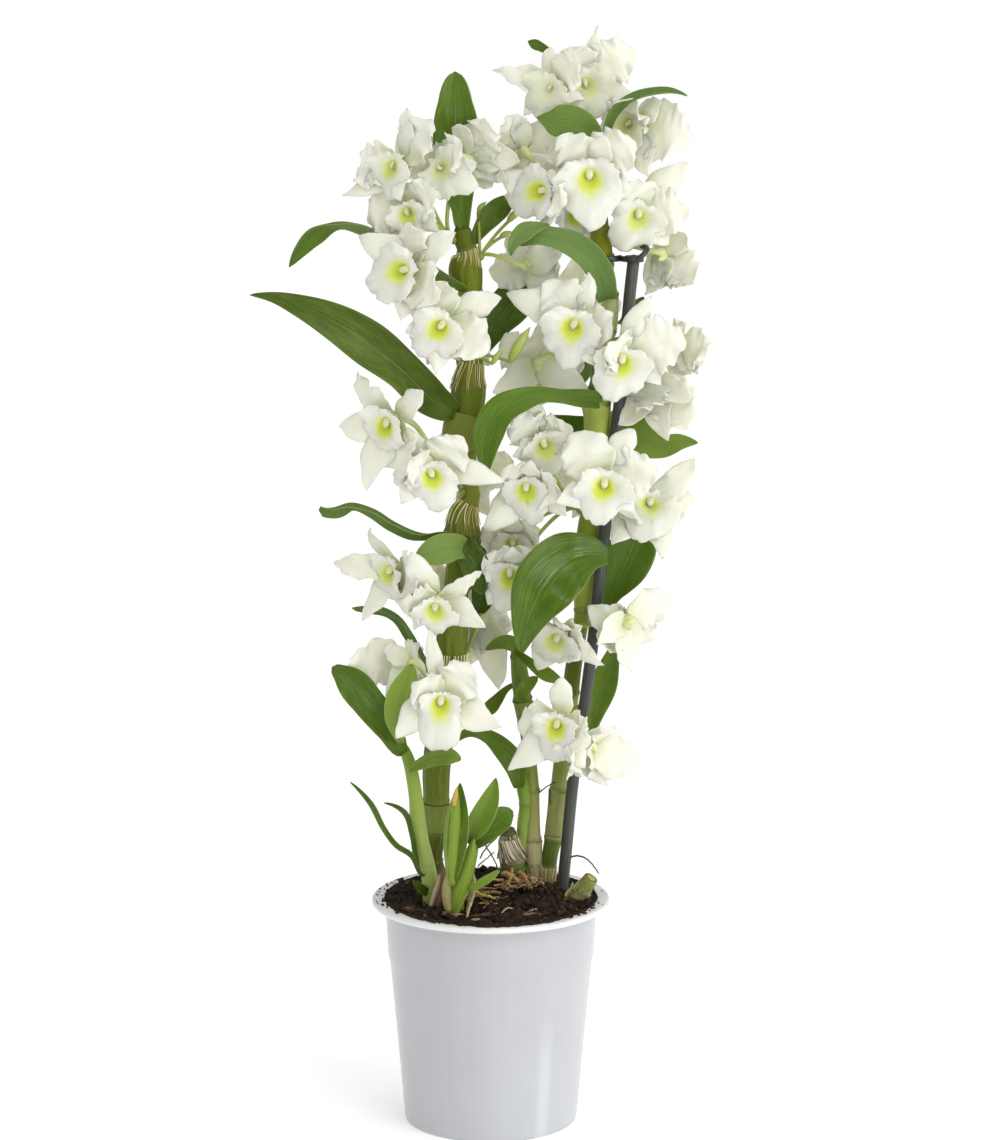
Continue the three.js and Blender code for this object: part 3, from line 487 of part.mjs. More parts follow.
const JOBS = [];
const job = (name, slot, make) => JOBS.push({ name, slot, make });
job('pot', 'pot_plastic', () => potSolid());
job('stake', 'stake_plastic', (g = 0) => stem(CANES.stake, 10, g));
for (const name of ['left_cane', 'right_cane', 'centre_cane', 'thin_shoot', 'young_shoot', 'keiki', 'old_stump', 'cut_stub']) {
  const slot = name === 'left_cane' || name === 'right_cane' || name === 'centre_cane' ? 'cane' : name === 'old_stump' ? 'dry_sheath' : 'shoot';
  job(name, slot, (g = 0) => {
    const sides = CANES[name] && CANES[name].length > 20 ? CANE_SIDES : 6;
    let m = name === 'keiki' ? stem(CANES.keiki_stem, 6, g).add(stem(CANES.keiki_stem2, 6, g)) : stem(CANES[name], sides, g);
    for (const leaf of Object.keys(LEAVES)) if (GROWN_ON[leaf] === name) m = m.add(blade(LEAVES[leaf], g));
    return m;
  });
}
job('clip', 'clip_plastic', (g = 0) => clipSolid(g));
job('potting_mix', 'potting_mix', () => mixSolid());
job('roots', 'root', (g = 0) => {
  let m = null;
  for (const r of ROOTS) { const s = stem(r, 5, g); m = m ? m.add(s) : s; }
  return m;
});
for (const [name, blades] of Object.entries(LEAF_NODES)) {
  job(name, 'leaf', (g = 0) => {
    let m = null;
    for (const b of blades) { const s = blade(LEAVES[b], g); m = m ? m.add(s) : s; }
    return m;
  });
}
for (const key of Object.keys(STEMS)) job('flowers_' + key, 'petal', (g = 0) => inflorescence(key, g));

const LOOK = {
  pot_plastic: [0xe8e9ea, 0.3, 0], stake_plastic: [0x4b4b47, 0.5, 0], clip_plastic: [0x2c2d2b, 0.45, 0],
  cane: [0x75802f, 0.45, 0], shoot: [0x8aa545, 0.45, 0], dry_sheath: [0x9a8a6c, 0.8, 0],
  potting_mix: [0x2f2521, 0.95, 0], root: [0xa48a5c, 0.75, 0], leaf: [0x4c7a26, 0.4, 0], petal: [0xf1efe6, 0.55, 0],
};

// ---- cut each piece clear of the ones before it and keep its largest body ----
const done = [];
const root = new THREE.Group();
root.name = 'dendrobium_in_pot';
const materials = {};
for (const j of JOBS) {
  let m = j.make(0);
  const all = m.volume();
  for (const d of done) {
    const a = m.boundingBox();
    const b = d.solid.boundingBox();
    let apart = false;
    for (let k = 0; k < 3; k++) if (a.max[k] + GAP < b.min[k] || b.max[k] + GAP < a.min[k]) apart = true;
    if (apart) continue;
    if (j.name === 'potting_mix' && d.name === 'pot') continue;
    const fat = d.fat ? d.fat() : d.solid;
    const hit = m.intersect(fat);
    if (hit.volume() < 1e-4) continue;
    m = m.subtract(fat);
    if (m.intersect(d.solid).volume() > 1e-3) m = m.subtract(d.solid);
  }
  m = m.simplify(0.01);
  const bodies = m.decompose().sort((p, q) => q.volume() - p.volume());
  const keep = bodies[0];
  done.push({ name: j.name, solid: keep, fat: j.make.length === 0 && j.name !== 'pot' && j.name !== 'potting_mix' ? (() => { let f = null; return () => (f = f || j.make(GAP)); })() : null });
  const mesh = keep.getMesh();
  const g = new THREE.BufferGeometry();
  const pos = new Float32Array(mesh.triVerts.length * 3);
  for (let i = 0; i < mesh.triVerts.length; i++) {
    const v = mesh.triVerts[i];
    for (let k = 0; k < 3; k++) pos[i * 3 + k] = mesh.vertProperties[v * mesh.numProp + k];
  }
  g.setAttribute('position', new THREE.BufferAttribute(pos, 3));
  g.computeVertexNormals();
  if (!materials[j.slot]) {
    const [color, roughness, metalness] = LOOK[j.slot];
    materials[j.slot] = new THREE.MeshStandardMaterial({ name: j.slot, color, roughness, metalness });
  }
  const node = new THREE.Mesh(g, materials[j.slot]);
  node.name = j.name;
  root.add(node);
}

export default root;
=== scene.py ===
# Dendrobium orchid in its pot: the finished look over the fixed frame.
import bpy, math
import numpy as np
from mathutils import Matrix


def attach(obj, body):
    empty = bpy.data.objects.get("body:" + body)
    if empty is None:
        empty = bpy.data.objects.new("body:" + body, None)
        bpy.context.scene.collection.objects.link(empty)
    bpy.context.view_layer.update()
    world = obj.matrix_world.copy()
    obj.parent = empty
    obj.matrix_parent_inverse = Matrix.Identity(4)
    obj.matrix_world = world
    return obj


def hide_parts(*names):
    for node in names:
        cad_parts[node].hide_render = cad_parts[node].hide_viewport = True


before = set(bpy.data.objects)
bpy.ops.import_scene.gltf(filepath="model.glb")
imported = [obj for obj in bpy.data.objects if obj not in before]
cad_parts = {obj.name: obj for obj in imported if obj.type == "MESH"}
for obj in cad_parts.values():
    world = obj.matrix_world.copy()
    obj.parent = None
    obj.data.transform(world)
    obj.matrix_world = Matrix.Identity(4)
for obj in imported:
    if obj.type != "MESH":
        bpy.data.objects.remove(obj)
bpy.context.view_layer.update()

MM = 0.001

# ------------------------------------------------------------------ camera
cam_data = bpy.data.cameras.new("camera")
cam = bpy.data.objects.new("camera", cam_data)
bpy.context.scene.collection.objects.link(cam)
cam.location = (0.0046, -1.9, 0.6371)
cam.rotation_euler = (math.radians(90 - 10.575), 0, 0)
cam_data.sensor_width = 36
cam_data.lens = 122.98
cam_data.clip_start = 0.05
bpy.context.scene.camera = cam

# ------------------------------------------------------------------ tables (mm)
CANES = {
    'left_cane': [[-28, 22.7, 100.7, 3.6], [-28, 22, 110.7, 4.5], [-28, 21, 118.9, 5.5], [-30.5, 20, 128.6, 6], [-29.4, 19, 142, 6.3], [-27.8, 18, 160.5, 6.6], [-27.7, 16, 174, 7], [-25.6, 14, 195.2, 7.2], [-22.5, 12, 213.7, 7.4], [-20, 10, 230.5, 7.8], [-19.4, 9, 245.1, 8], [-17.4, 8, 265.7, 7], [-15.3, 8, 286, 7], [-14.3, 8, 298.6, 9], [-13.3, 8, 308.7, 7.5], [-9.3, 8, 318.8, 3.9], [-12.3, 8, 331.3, 5.5], [-15.2, 8, 343.9, 8.4], [-14.7, 8, 352.4, 8.6], [-12.2, 8, 360.4, 8.2], [-11.2, 8, 368.9, 8.8], [-10.7, 8, 377.3, 7.6], [-9.2, 8, 385.3, 5.5], [-9.2, 8, 393.7, 4.4], [-11.2, 8, 406.1, 6], [-12.1, 8, 416, 7.6], [-12.1, 8, 425.9, 8.2], [-12.1, 8, 433.8, 7.9], [-11.1, 8, 437.7, 5.8], [-12.1, 8, 442.2, 4.6], [-13.6, 8, 445.6, 4.4], [-13.5, 8, 449.5, 4.2], [-13.1, 8, 452, 3.4]],
    'right_cane': [[29.3, 30.7, 99.1, 3.04], [29.2, 30, 109.1, 3.8], [29.1, 29, 117.8, 4], [30.6, 28, 131.8, 4.2], [32.1, 28, 139.1, 4.6], [33.1, 27, 150.4, 4.2], [34.6, 26, 163.7, 4.4], [36.1, 25, 179.6, 4.2], [38.5, 24, 195.5, 4.2], [40, 23, 211.2, 4.2], [41.4, 22, 225.9, 4.2], [43.4, 21, 240, 4], [45.8, 20, 255.6, 4], [46.7, 19, 268.6, 4.6], [47.7, 18, 284.1, 5], [48.6, 17, 297, 5.8], [50.5, 16, 312.4, 5.2], [51.9, 15, 330.2, 5.8], [52.8, 14, 345.5, 6], [52.7, 13, 358.2, 6.2], [52.2, 12, 366.8, 6.6], [53.1, 12, 373.3, 4.4], [53.6, 12, 381.8, 4.2], [55.5, 12, 390.8, 3.6], [58.4, 12, 400.7, 3.4], [58.8, 12, 413.1, 3.8], [58.3, 12, 423, 3.6], [56.8, 12, 432.9, 3.6], [55.2, 11, 439.4, 4.8], [54.2, 11, 445.3, 5.2], [53.7, 10, 452.3, 4.4], [53.6, 9, 462.7, 3.4], [54, 8, 475, 3.2], [54.4, 7, 484.8, 3.2], [54.4, 6, 491.7, 2.6]],
    'centre_cane': [[23.3, 30.6, 100.1, 2.88], [23, 30, 109.1, 3.6], [22.5, 29, 117.8, 3.6], [22, 28, 125.4, 3.9], [21.4, 27, 138.3, 3.9], [21.4, 26, 152.2, 3.4], [20.9, 25, 164, 3.6], [19.8, 24, 177.3, 3.6], [18.8, 23, 190.5, 3.6], [17.7, 22, 200.1, 3.9], [16.2, 21, 211.7, 4.4], [14.7, 20, 224.8, 4.4], [13.2, 19, 235.3, 3.2], [12.1, 18, 243.2, 1.6]],
    'thin_shoot': [[15.1, 28.7, 117.3, 1.8], [15.3, 28, 123.3, 2.25], [15.8, 26, 133.3, 2.75], [16.3, 24, 146.9, 3], [17.3, 22, 157.9, 3], [16.2, 21, 165.9, 3.25], [15.2, 20, 172.4, 2.75]],
    'young_shoot': [[-30, -12, 106.8, 3.24], [-30, -12, 113.8, 4.048], [-30, -12, 121.6, 4.224], [-31.9, -12, 135, 3.872], [-34.9, -12, 147.4, 3.872], [-36.3, -12, 155.1, 4.048], [-37.3, -12, 167.9, 3.52], [-38.7, -12, 178.2, 3.344], [-40.2, -12, 185.9, 3.168], [-42.7, -11, 193.3, 2.464], [-44.2, -10, 197.1, 1.232]],
    'keiki_stem': [[-17.2, -30, 102.5, 3.2], [-17.3, -30, 108.5, 4], [-17.7, -30, 118.8, 4.6], [-17.7, -31, 129.3, 4.4], [-18.2, -31, 138, 3], [-18.7, -31, 144.2, 1.6]],
    'keiki_stem2': [[-18.7, -36, 112.3, 1.848], [-15.7, -37, 121.8, 2.112], [-12.2, -37, 129.4, 2.244], [-9.7, -36, 139.4, 1.98], [-7.8, -34, 148, 1.716], [-6.8, -32, 153.6, 1.188]],
    'old_stump': [[12.3, 26.5, 101.6, 4], [12.3, 26, 109.6, 5], [12.3, 25, 119.4, 5.8], [11.2, 24, 124.4, 6.5], [10.7, 23, 129.9, 6.2], [9.7, 22, 135.4, 5], [9.2, 22, 139.6, 4.2], [8.7, 21, 144.1, 3.5]],
    'cut_stub': [[39.4, -6, 106.2, 2.72], [42.3, -6, 114.2, 3.4], [44.8, -6, 118.4, 3.9], [47.8, -6, 122.5, 4], [50.3, -7, 126.4, 3.7]],
    'stake': [[27.6, 20, 19.8, 3], [36.4, 17, 105.8, 3], [36.6, 17, 115.8, 3], [38.1, 16.5, 133.2, 3], [41.5, 15, 170.6, 3], [47.8, 13, 216, 3], [51.7, 12, 248.5, 3], [55.9, 10, 291.7, 3], [61.1, 8.5, 342.8, 3], [63.9, 8, 366.4, 3], [68.9, 6, 424.2, 3], [70.3, 5.5, 437.5, 3]],
    'cut_stub2': [[37.9, -2, 111, 2.6], [40.3, -3, 115.5, 2.9], [43.3, -4, 119.9, 2.7]],
}
LEAVES = {
    'leaf_left_top': [[-13, 5, 451.8, -2.5, -0.05, -0.32], [-14.5, 5, 463.4, -5.51, -0.11, -0.56], [-15.9, 6, 481.1, -9.54, -0.16, -0.66], [-16.8, 5, 498.5, -11.32, -0.16, -0.48], [-17.2, 3, 514.6, -8.05, -0.1, -0.12], [-17.1, 2, 528.1, -0.76, -0.01, 0]],
    'leaf_left_top_right': [[-8.7, 10, 443.9, -1.75, 0.09, 1], [-4.7, 12, 450.6, -3.35, 0.2, 2.23], [0.2, 14, 456.8, -4.08, 0.34, 3.73], [5.6, 16, 461.5, -3.3, 0.35, 3.79], [11.5, 18, 466.3, -0.64, 0.07, 0.77]],
    'leaf_left_arch': [[-13, 2, 421.2, -1.57, -0.24, -1.95], [-20.3, -4, 427.7, -4.24, 5.25, -1.87], [-28.6, -6, 433.8, -2.27, 6.8, -3.54], [-39.3, -3, 441.8, -0.19, 6.72, -4.33], [-49.7, 2, 447.2, 0.55, 6.96, -3.9], [-63, 5, 452.8, 0.12, 7.21, -3.47], [-74.7, 6, 454.6, 0.56, 7.75, -1.91], [-87, 6, 449.7, 2.7, 6.33, -4.07], [-94, 6, 441.9, 2.83, 4.79, -2.24], [-98.9, 5, 432.6, 0.41, 0.86, -0.31]],
    'leaf_left_large': [[-17.2, 2.3, 359.9, -1.24, -0.29, -1.88], [-19, 0, 361.6, -2.47, -0.58, -3.76], [-28.8, -7, 369, -5.52, -1.01, -6.46], [-44.2, -14, 385.3, -6.3, -1.11, -7.11], [-59.6, -18, 398, -6.4, -1.35, -8.94], [-75.5, -20, 408.6, -4.33, -1.14, -7.88], [-92.4, -20, 416.4, -2.04, -0.7, -5.1], [-106, -19, 420.6, -0.54, -0.31, -2.44], [-116.7, -18, 421.5, -0.05, -0.06, -0.5]],
    'leaf_left_twist': [[-19.2, 0, 299.5, 0, -0.3604, -2.0196], [-27, -5, 300.4, -0.2244, -0.3604, -2.0128], [-36.8, -8, 302.9, -1.734, 4.6988, -2.1216], [-46.7, -9, 307.6, -1.4008, 4.8076, -2.1216], [-57.9, -9, 314.6, -0.7684, 4.8824, -2.2712], [-69.3, -8, 317.5, 0.5168, 5.1272, -1.7544], [-77.2, -7, 314.8, 1.2988, 4.4132, -2.8968], [-84.7, -6, 313.6, 0.3604, -0.442, -2.6792]],
    'leaf_left_fold': [[-13.6, 0.3, 293.6, -0.17, -0.36, -1.98], [-13.2, -3, 294, -0.33, -0.72, -3.95], [-19.1, -9, 295.6, 0.52, -1.15, -6.42], [-25.4, -13, 294.8, 2.04, -1.27, -7.16], [-31.3, -16, 293.4, 1.91, -0.99, -5.65], [-37.2, -17, 291.6, 0.32, -0.17, -0.94]],
    'leaf_left_back': [[-12, 15.4, 293.9, 1.39, 0.12, 0.59], [-11.4, 17, 294.5, 2.77, 0.23, 1.18], [-6.4, 20, 282.2, 5.77, 0.36, 1.76], [-4.4, 22, 270.6, 7.04, 0.1, 0.35], [-5.5, 24, 261.5, 5.94, -0.18, -1.07], [-7.5, 25, 253.1, 0.98, -0.04, -0.24]],
    'leaf_left_slim': [[-22, 12, 217.8, -0.845, -0.13, -0.53], [-27.5, 13, 226.3, -1.1, 2.145, -0.665], [-33.5, 12, 236.8, -1.315, 2.94, -0.445], [-39.5, 11, 248.2, -1.455, 3.13, -0.58], [-45.9, 10, 257.1, -1.39, 3.07, -0.95], [-52.9, 9, 261.4, -0.905, 3.07, -1.415], [-61.3, 8, 262.6, -0.355, 2.625, -1.415], [-69.3, 7, 261.8, -0.025, 0.75, -0.665]],
    'leaf_right_top_left': [[54.3, 4.2, 491.4, -1.11, -0.03, -0.85], [54.2, 0, 494.1, -1, -0.03, -0.77], [50.2, -5, 499.6, -2.52, -0.14, -2.81], [44.3, -9, 503.5, -2.54, -0.37, -6.02], [37.5, -10, 505.2, -0.74, -0.53, -7.75], [31.7, -10, 504.8, -0.33, -0.5, -7.28], [26.8, -9, 505.7, -0.75, -0.25, -3.69], [22.3, -8, 506.5, -0.08, -0.03, -0.39]],
    'leaf_right_top': [[55.1, 4.5, 491.6, -1.38, 0.06, 0.25], [55.7, 3, 493.4, -1.0656, 0.0432, 0.1944], [57.1, 1, 501.3, -2.0736, 0.1008, 0.6624], [60.4, 0, 508.7, -1.8576, 0.1728, 1.7208], [69.1, -1, 514.5, -0.2736, 5.4504, 1.836], [79.7, -2, 517.5, 0.0144, 4.86, 1.3248], [88.9, -2, 518, 0.0576, 3.492, 0.8784], [95.3, -2, 516.5, 0.072, 0.6408, 0.324]],
    'leaf_right_tip': [[53.9, 7.2, 492.1, -1.15, -0.03, -0.8], [50.4, 16.6, 503.4, -0.99, -0.02, -0.7], [46.9, 26, 513.8, -1.24, -0.03, -0.87], [38, 26, 526.5, -1.59, -0.04, -1.24], [30.1, 26, 535.2, -1.02, -0.05, -1.11], [24.7, 25, 538.7, -1.09, -0.09, -1.98], [21.3, 25, 540.2, -1.05, -0.11, -2.29], [18.3, 25, 541.6, -0.22, -0.02, -0.45]],
    'leaf_right_arch': [[58.2, 9, 416.8, -2.2, -0, -0.54], [57.6, 4.5, 417.9, -3.52, -0, -0.86], [57, 0, 417.9, -4.4, -0, -1.07], [54.4, -6, 428.9, -5.78, -0.12, -2.49], [47.8, -12, 439.8, -4.83, -0.35, -4.41], [39, -17, 446.7, -2.87, -0.51, -5.58], [29.7, -20, 449.9, -1.18, -0.47, -4.87], [23, -21, 450.9, 0.19, -0.47, -4.76], [17.6, -21, 449.5, 2.01, -0.36, -3.47], [13.8, -20, 445.5, 0.71, -0.08, -0.71]],
    'leaf_centre_dark': [[-8, 12.3, 387.1, -1.74, 0.12, 1.01], [-6.3, 18, 389, -3.48, 0.24, 2.02], [0.6, 22, 400.5, -6.2, 0.51, 4.28], [10.6, 26, 412.5, -7.54, 0.8, 6.63], [19.5, 28, 421.2, -4.91, 0.6, 5.02], [28.4, 28, 429.7, -0.69, 0.09, 0.73]],
    'leaf_right_bow': [[52.5, 6.1, 366.2, -0.22, -0.28, -1.99], [52.6, 2.1, 367.5, -0.35, -0.44, -3.18], [52.8, -2, 367.8, -0.44, -0.55, -3.97], [43.8, -8, 369.6, -0.47, -0.62, -4.46], [33.9, -13, 371.3, -0.27, -0.49, -3.48], [24.6, -17, 372.4, 0.41, -0.56, -3.97], [14.8, -20, 370.4, 2.19, -0.8, -5.57], [4.6, -22, 365.2, 5.34, -0.77, -5.29], [-0.8, -22, 354.9, 7.2, -0.32, -2.27], [-2.2, -20, 343.3, 4.53, -0.02, -0.21], [-1.8, -18, 333, 0.5, 0.01, 0.02]],
    'leaf_right_far': [[55.1, 18.2, 353.6, 1.07, 0.22, 1.69], [58, 24, 355.1, 2.15, 0.44, 3.38], [67.5, 24, 349, 4.54, 1.02, 7.78], [76.9, 22, 344.3, 3.79, 1.18, 8.7], [85.9, 20, 341.5, 0.34, 0.9, 5.96], [94.7, 18, 343.9, -0.34, 0.62, 3.96], [103.1, 16, 343.7, 0.03, 0.07, 0.5]],
    'leaf_right_far2': [[55.1, 18.3, 352.7, 0.46, -0.22, -1.42], [58, 24.5, 354, 0.92, -0.44, -2.84], [47.1, 28, 349.9, 0.55, -0.82, -5.45], [38.1, 29, 351.3, -1.26, -0.62, -4.31], [28.1, 30, 355.2, -0.28, -0.1, -0.69]],
    'leaf_right_glossy': [[50.4, 12.9, 291.7, -0.17, -0.27, -1.48], [54, 5.5, 291.3, -0.28, -0.42, -2.36], [57.6, -2, 289.8, -0.35, -0.53, -2.95], [49, -10, 292.3, 1.23, -1.55, -8.33], [37, -18, 289.7, 8.33, -2.32, -11.77], [26.2, -23, 278.7, 13.02, -1.76, -8.42], [18.8, -24, 262.9, 8.62, -0.61, -2.72], [15.4, -22, 244.4, 0.74, -0.03, -0.14]],
    'leaf_right_low': [[71.1, 18, 306.5, 4.51, -0.08, 0.43], [72.2, 20, 295, 10.95, -0.66, -1.54], [67.8, 21, 282, 11.09, -1.22, -4.64], [61.4, 21, 268.8, 6.33, -0.76, -3.01], [55.4, 20, 256.2, 0.68, -0.08, -0.32], [49.2, 19.9, 255.7, 1.26, -0.15, -0.59]],
    'leaf_right_upright': [[40.8, 26.5, 191.8, -1.33, 0.13, 0.42], [45.1, 30.2, 192.4, -1.53, 0.15, 0.49], [49.4, 34, 192.1, -1.91, 0.19, 0.61], [53.4, 34, 204.6, -5.26, 0.5, 1.65], [57.4, 33, 217.9, -6.72, 0.62, 2.02], [60.8, 31, 230.2, -4.36, 0.38, 1.18], [63.7, 29, 242.5, -0.49, 0.04, 0.12]],
    'leaf_young_left': [[-43.4, -12.7, 192, -1.21, -0.19, -0.68], [-44.1, -14, 193, -2.17, -0.34, -1.22], [-50.9, -16, 205.7, -5.41, -0.97, -3.56], [-60.7, -17, 219.1, -6.26, -1.31, -4.9], [-69.6, -17, 229.7, -5.26, -1.34, -5.25], [-78.5, -16, 236.6, -0.62, -0.19, -0.77]],
    'leaf_young_front': [[-43.6, -11.5, 194.7, -1.39, -0.06, -0.11], [-44.2, -15.8, 198.1, -1.61, -0.07, -0.13], [-44.9, -20, 200.5, -2.01, -0.09, -0.16], [-45.7, -24, 213.1, -6.54, -0.1, 0.33], [-43.7, -26, 223.6, -7.32, 0.22, 1.87], [-40.7, -26, 233.2, -4.82, 0.2, 1.45], [-38.7, -25, 240, -0.97, 0.04, 0.27]],
    'leaf_young_right': [[-40, -14.5, 183.4, -0.67, 0.27, 1.2], [-40.1, -17, 184.5, -0.72, 0.29, 1.3], [-33.6, -20, 188.8, -1.2, 0.62, 2.7], [-25.1, -23, 192.6, -0.79, 0.9, 3.85], [-18.6, -24, 192.8, 0.5, 0.81, 3.39], [-14.7, -24, 191.3, 0.18, 0.11, 0.46]],
    'leaf_grass_a': [[-33.2, -14.7, 130.3, -1.23, -0.19, -0.63], [-34.8, -17, 131.2, -0.931, -0.147, -0.476], [-39.7, -20, 141.8, -1.064, -0.259, -0.889], [-47.1, -22, 147.4, -0.973, -0.28, -0.98], [-53, -23, 155.9, -1.204, -0.217, -0.707], [-59.4, -23, 168.6, -1.141, -0.238, -0.798], [-69.7, -22, 179.6, -0.252, -0.07, -0.231]],
    'leaf_grass_b': [[-33.2, -14.7, 130.3, -1.35, -0.12, -0.36], [-34.8, -17, 131.2, -1.015, -0.091, -0.273], [-37.3, -17, 140.5, -1.372, -0.105, -0.294], [-39.2, -18, 152, -1.358, -0.126, -0.357], [-43.1, -19, 163.5, -1.043, -0.259, -0.91], [-53, -19, 168.2, -0.147, -0.084, -0.308]],
    'leaf_keiki_front': [[-18.1, -33.9, 133.4, -1.39, 0.02, 0.15], [-18.6, -41, 135.6, -2, 0.03, 0.22], [-17.5, -42, 145, -3.76, 0.05, 0.37], [-16.5, -43, 156.4, -5.27, 0.05, 0.44], [-15.5, -43, 169.6, -4.52, 0.01, 0.25], [-15, -42, 184, -0.5, -0, 0.02]],
    'leaf_keiki_right': [[-7.5, -33.2, 150.8, -1.28, 0.13, 0.55], [-9.7, -36, 153.6, -2.3, 0.24, 0.99], [-5.7, -39, 163.5, -5, 0.56, 2.31], [-0.8, -40, 173.9, -4.7, 0.43, 1.77], [2.6, -39, 185.8, -0.48, 0.03, 0.14]],
    'leaf_thin_top': [[15.2, 18.1, 169.1, -1.38, -0.06, -0.26], [14.2, 11, 169.5, -2.47, -0.1, -0.46], [12.1, 8, 181.1, -5.06, -0.51, -2.2], [5.6, 5, 190.6, -3.8, -0.84, -3.58], [-1.9, 3, 197.2, -1.58, -0.72, -3.07], [-10.4, 2, 199.5, 0.52, -0.55, -2.4], [-18.4, 1, 194.1, 0.57, -0.18, -0.81]],
    'leaf_centre_a': [[13.2, 18, 237.1, 0.94, 0.24, 1.16], [20.6, 7, 233.2, 1.5, 0.41, 1.98], [28.6, 5, 228, 1.74, 0.62, 3], [35.6, 5, 225, 0.4, 0.19, 0.91]],
    'leaf_centre_b': [[13.2, 18, 237.1, -1.35, -0.3, -1.46], [7.6, 12, 243.4, -0.89, -0.74, -3.6], [0.6, 11, 241.6, 0.75, -0.38, -1.83], [-2.4, 11, 239.5, 0.28, -0.08, -0.41]],
    'leaf_centre_c': [[15.7, 20, 210.4, -2.01, 0.04, 0.15], [16.2, 12, 218.8, -3.24, 0.31, 1.35], [20.2, 10, 223.4, -1.98, 0.5, 2.23], [23.6, 9, 226.1, -0.59, 0.18, 0.8]],
    'leaf_hanging': [[15.2, 21, 220.5, 0.45, -0.25, -1.15], [8.6, 26, 216.8, 0.87, -0.26, -1.2], [3.1, 29, 209.9, 2.24, -0.44, -1.98], [-1, 28, 205.5, 2.41, -0.56, -2.51], [-5, 27, 202.6, 0.6, -0.17, -0.79]],
    'leaf_keiki_c': [[-8.2, -33, 149.8, -1.42, 0.35, 1.38], [-3.3, -36, 155.6, -3.02, 0.75, 2.94], [2.6, -37, 162, -3.82, 0.99, 3.89], [7.6, -37, 166.6, -3.05, 0.98, 3.88], [11, -36, 168.3, -0.5, 0.21, 0.85]],
    'leaf_keiki_d': [[-10.2, -40, 129.2, -0.65, 0.28, 1.04], [-5.3, -41, 132.6, -1.07, 0.44, 1.65], [-0.8, -41, 135.6, -1.15, 0.43, 1.6], [4.6, -40, 139.4, -0.3, 0.11, 0.39]],
    'leaf_soil': [[-30.4, -14, 120.1, -0.7, -0.29, -1.01], [-34.8, -18, 124.2, -1.44, -0.49, -1.68], [-38.8, -20, 128.9, -0.36, -0.1, -0.34]],
    'leaf_right_bit': [[59.5, 14.6, 402.2, -1.07, 0.14, 0.89], [62.4, 22.3, 402.8, -0.93, 0.12, 0.77], [65.4, 30, 402.5, -1.16, 0.15, 0.96], [70.3, 30, 408.5, -2.27, 0.31, 1.97], [76.3, 30, 415, -0.37, 0.05, 0.34]],
    'leaf_back_a': [[-9, 12.3, 398.7, -1.29, 0.06, 0.55], [-8.3, 15, 399.3, -2.31, 0.11, 0.99], [-5.4, 30, 404.5, -2.87, 0.76, 6.39], [-6.5, 52, 395.7, 9.17, -0.28, -2.7], [-10.7, 70, 382.3, 7.19, -0.24, -2.29], [-14.9, 80, 366.5, 0.97, -0.03, -0.28]],
    'leaf_back_b': [[54.4, 15.4, 377.7, -1.47, -0.01, -0.37], [55.8, 20, 378.7, -2.93, -0.02, -0.74], [53.6, 36, 386.7, -7.24, -0.27, -3.52], [50.1, 58, 387.4, 5.7, -1.26, -8.82], [46.5, 76, 376.3, 7.19, -0.45, -2.25], [42.6, 84, 358.2, 0.98, -0.05, -0.23]],
    'leaf_back_c': [[-15.2, 14, 264, -1.31, -0.11, -0.49], [-14.4, 16, 265.1, -2.35, -0.2, -0.89], [-18.1, 32, 271.3, -4.4, -1.07, -5.4], [-23, 52, 264.9, 8.22, -0.8, -4.83], [-26.3, 68, 251.4, 6.89, -0.18, -1.46], [-28.5, 76, 235.5, 1, -0.01, -0.15]],
    'leaf_left_fold2': [[-14.2, -0.2, 296.6, 1.3, 0.14, 0.74], [-14.2, -2, 297.4, 2.61, 0.29, 1.49], [-10.7, -6, 292.1, 5.32, 0.56, 2.81], [-7.3, -7, 285.2, 6.59, 0.5, 2.45], [-5.3, -7, 277.6, 4.96, 0.19, 0.86], [-4.8, -6, 270.9, 1, 0.02, 0.07]],
    'leaf_right_arch2': [[28.2, -22.5, 455.9, 0.12, -0.07, -0.74], [22.4, -23.5, 455, 0.74, -0.26, -2.65], [16.2, -24, 452.7, 2.43, -0.39, -3.81], [11.8, -24, 448.3, 2.88, -0.17, -1.55], [9.9, -23, 441, 0.29, -0.01, -0.08]],
}
LEAF_NODES = {
    'leaf_left_top': ['leaf_left_top'],
    'leaf_left_top_right': ['leaf_left_top_right'],
    'leaf_left_arch': ['leaf_left_arch'],
    'leaf_left_large': ['leaf_left_large'],
    'leaf_left_twist': ['leaf_left_twist'],
    'leaf_left_fold': ['leaf_left_fold', 'leaf_left_fold2'],
    'leaf_left_back': ['leaf_left_back'],
    'leaf_left_slim': ['leaf_left_slim'],
    'leaf_right_top_left': ['leaf_right_top_left'],
    'leaf_right_top': ['leaf_right_top'],
    'leaf_right_tip': ['leaf_right_tip'],
    'leaf_right_arch': ['leaf_right_arch', 'leaf_right_arch2'],
    'leaf_centre_dark': ['leaf_centre_dark'],
    'leaf_right_bow': ['leaf_right_bow'],
    'leaf_right_far': ['leaf_right_far', 'leaf_right_far2'],
    'leaf_right_glossy': ['leaf_right_glossy'],
    'leaf_right_low': ['leaf_right_low'],
    'leaf_right_upright': ['leaf_right_upright'],
    'leaf_young_left': ['leaf_young_left'],
    'leaf_young_front': ['leaf_young_front'],
    'leaf_young_right': ['leaf_young_right'],
    'leaf_grass': ['leaf_grass_a', 'leaf_grass_b'],
    'leaf_keiki_front': ['leaf_keiki_front'],
    'leaf_keiki_right': ['leaf_keiki_right'],
    'leaf_thin_top': ['leaf_thin_top'],
    'leaf_right_bit': ['leaf_right_bit'],
    'leaf_back_a': ['leaf_back_a'],
    'leaf_back_b': ['leaf_back_b'],
    'leaf_back_c': ['leaf_back_c'],
}
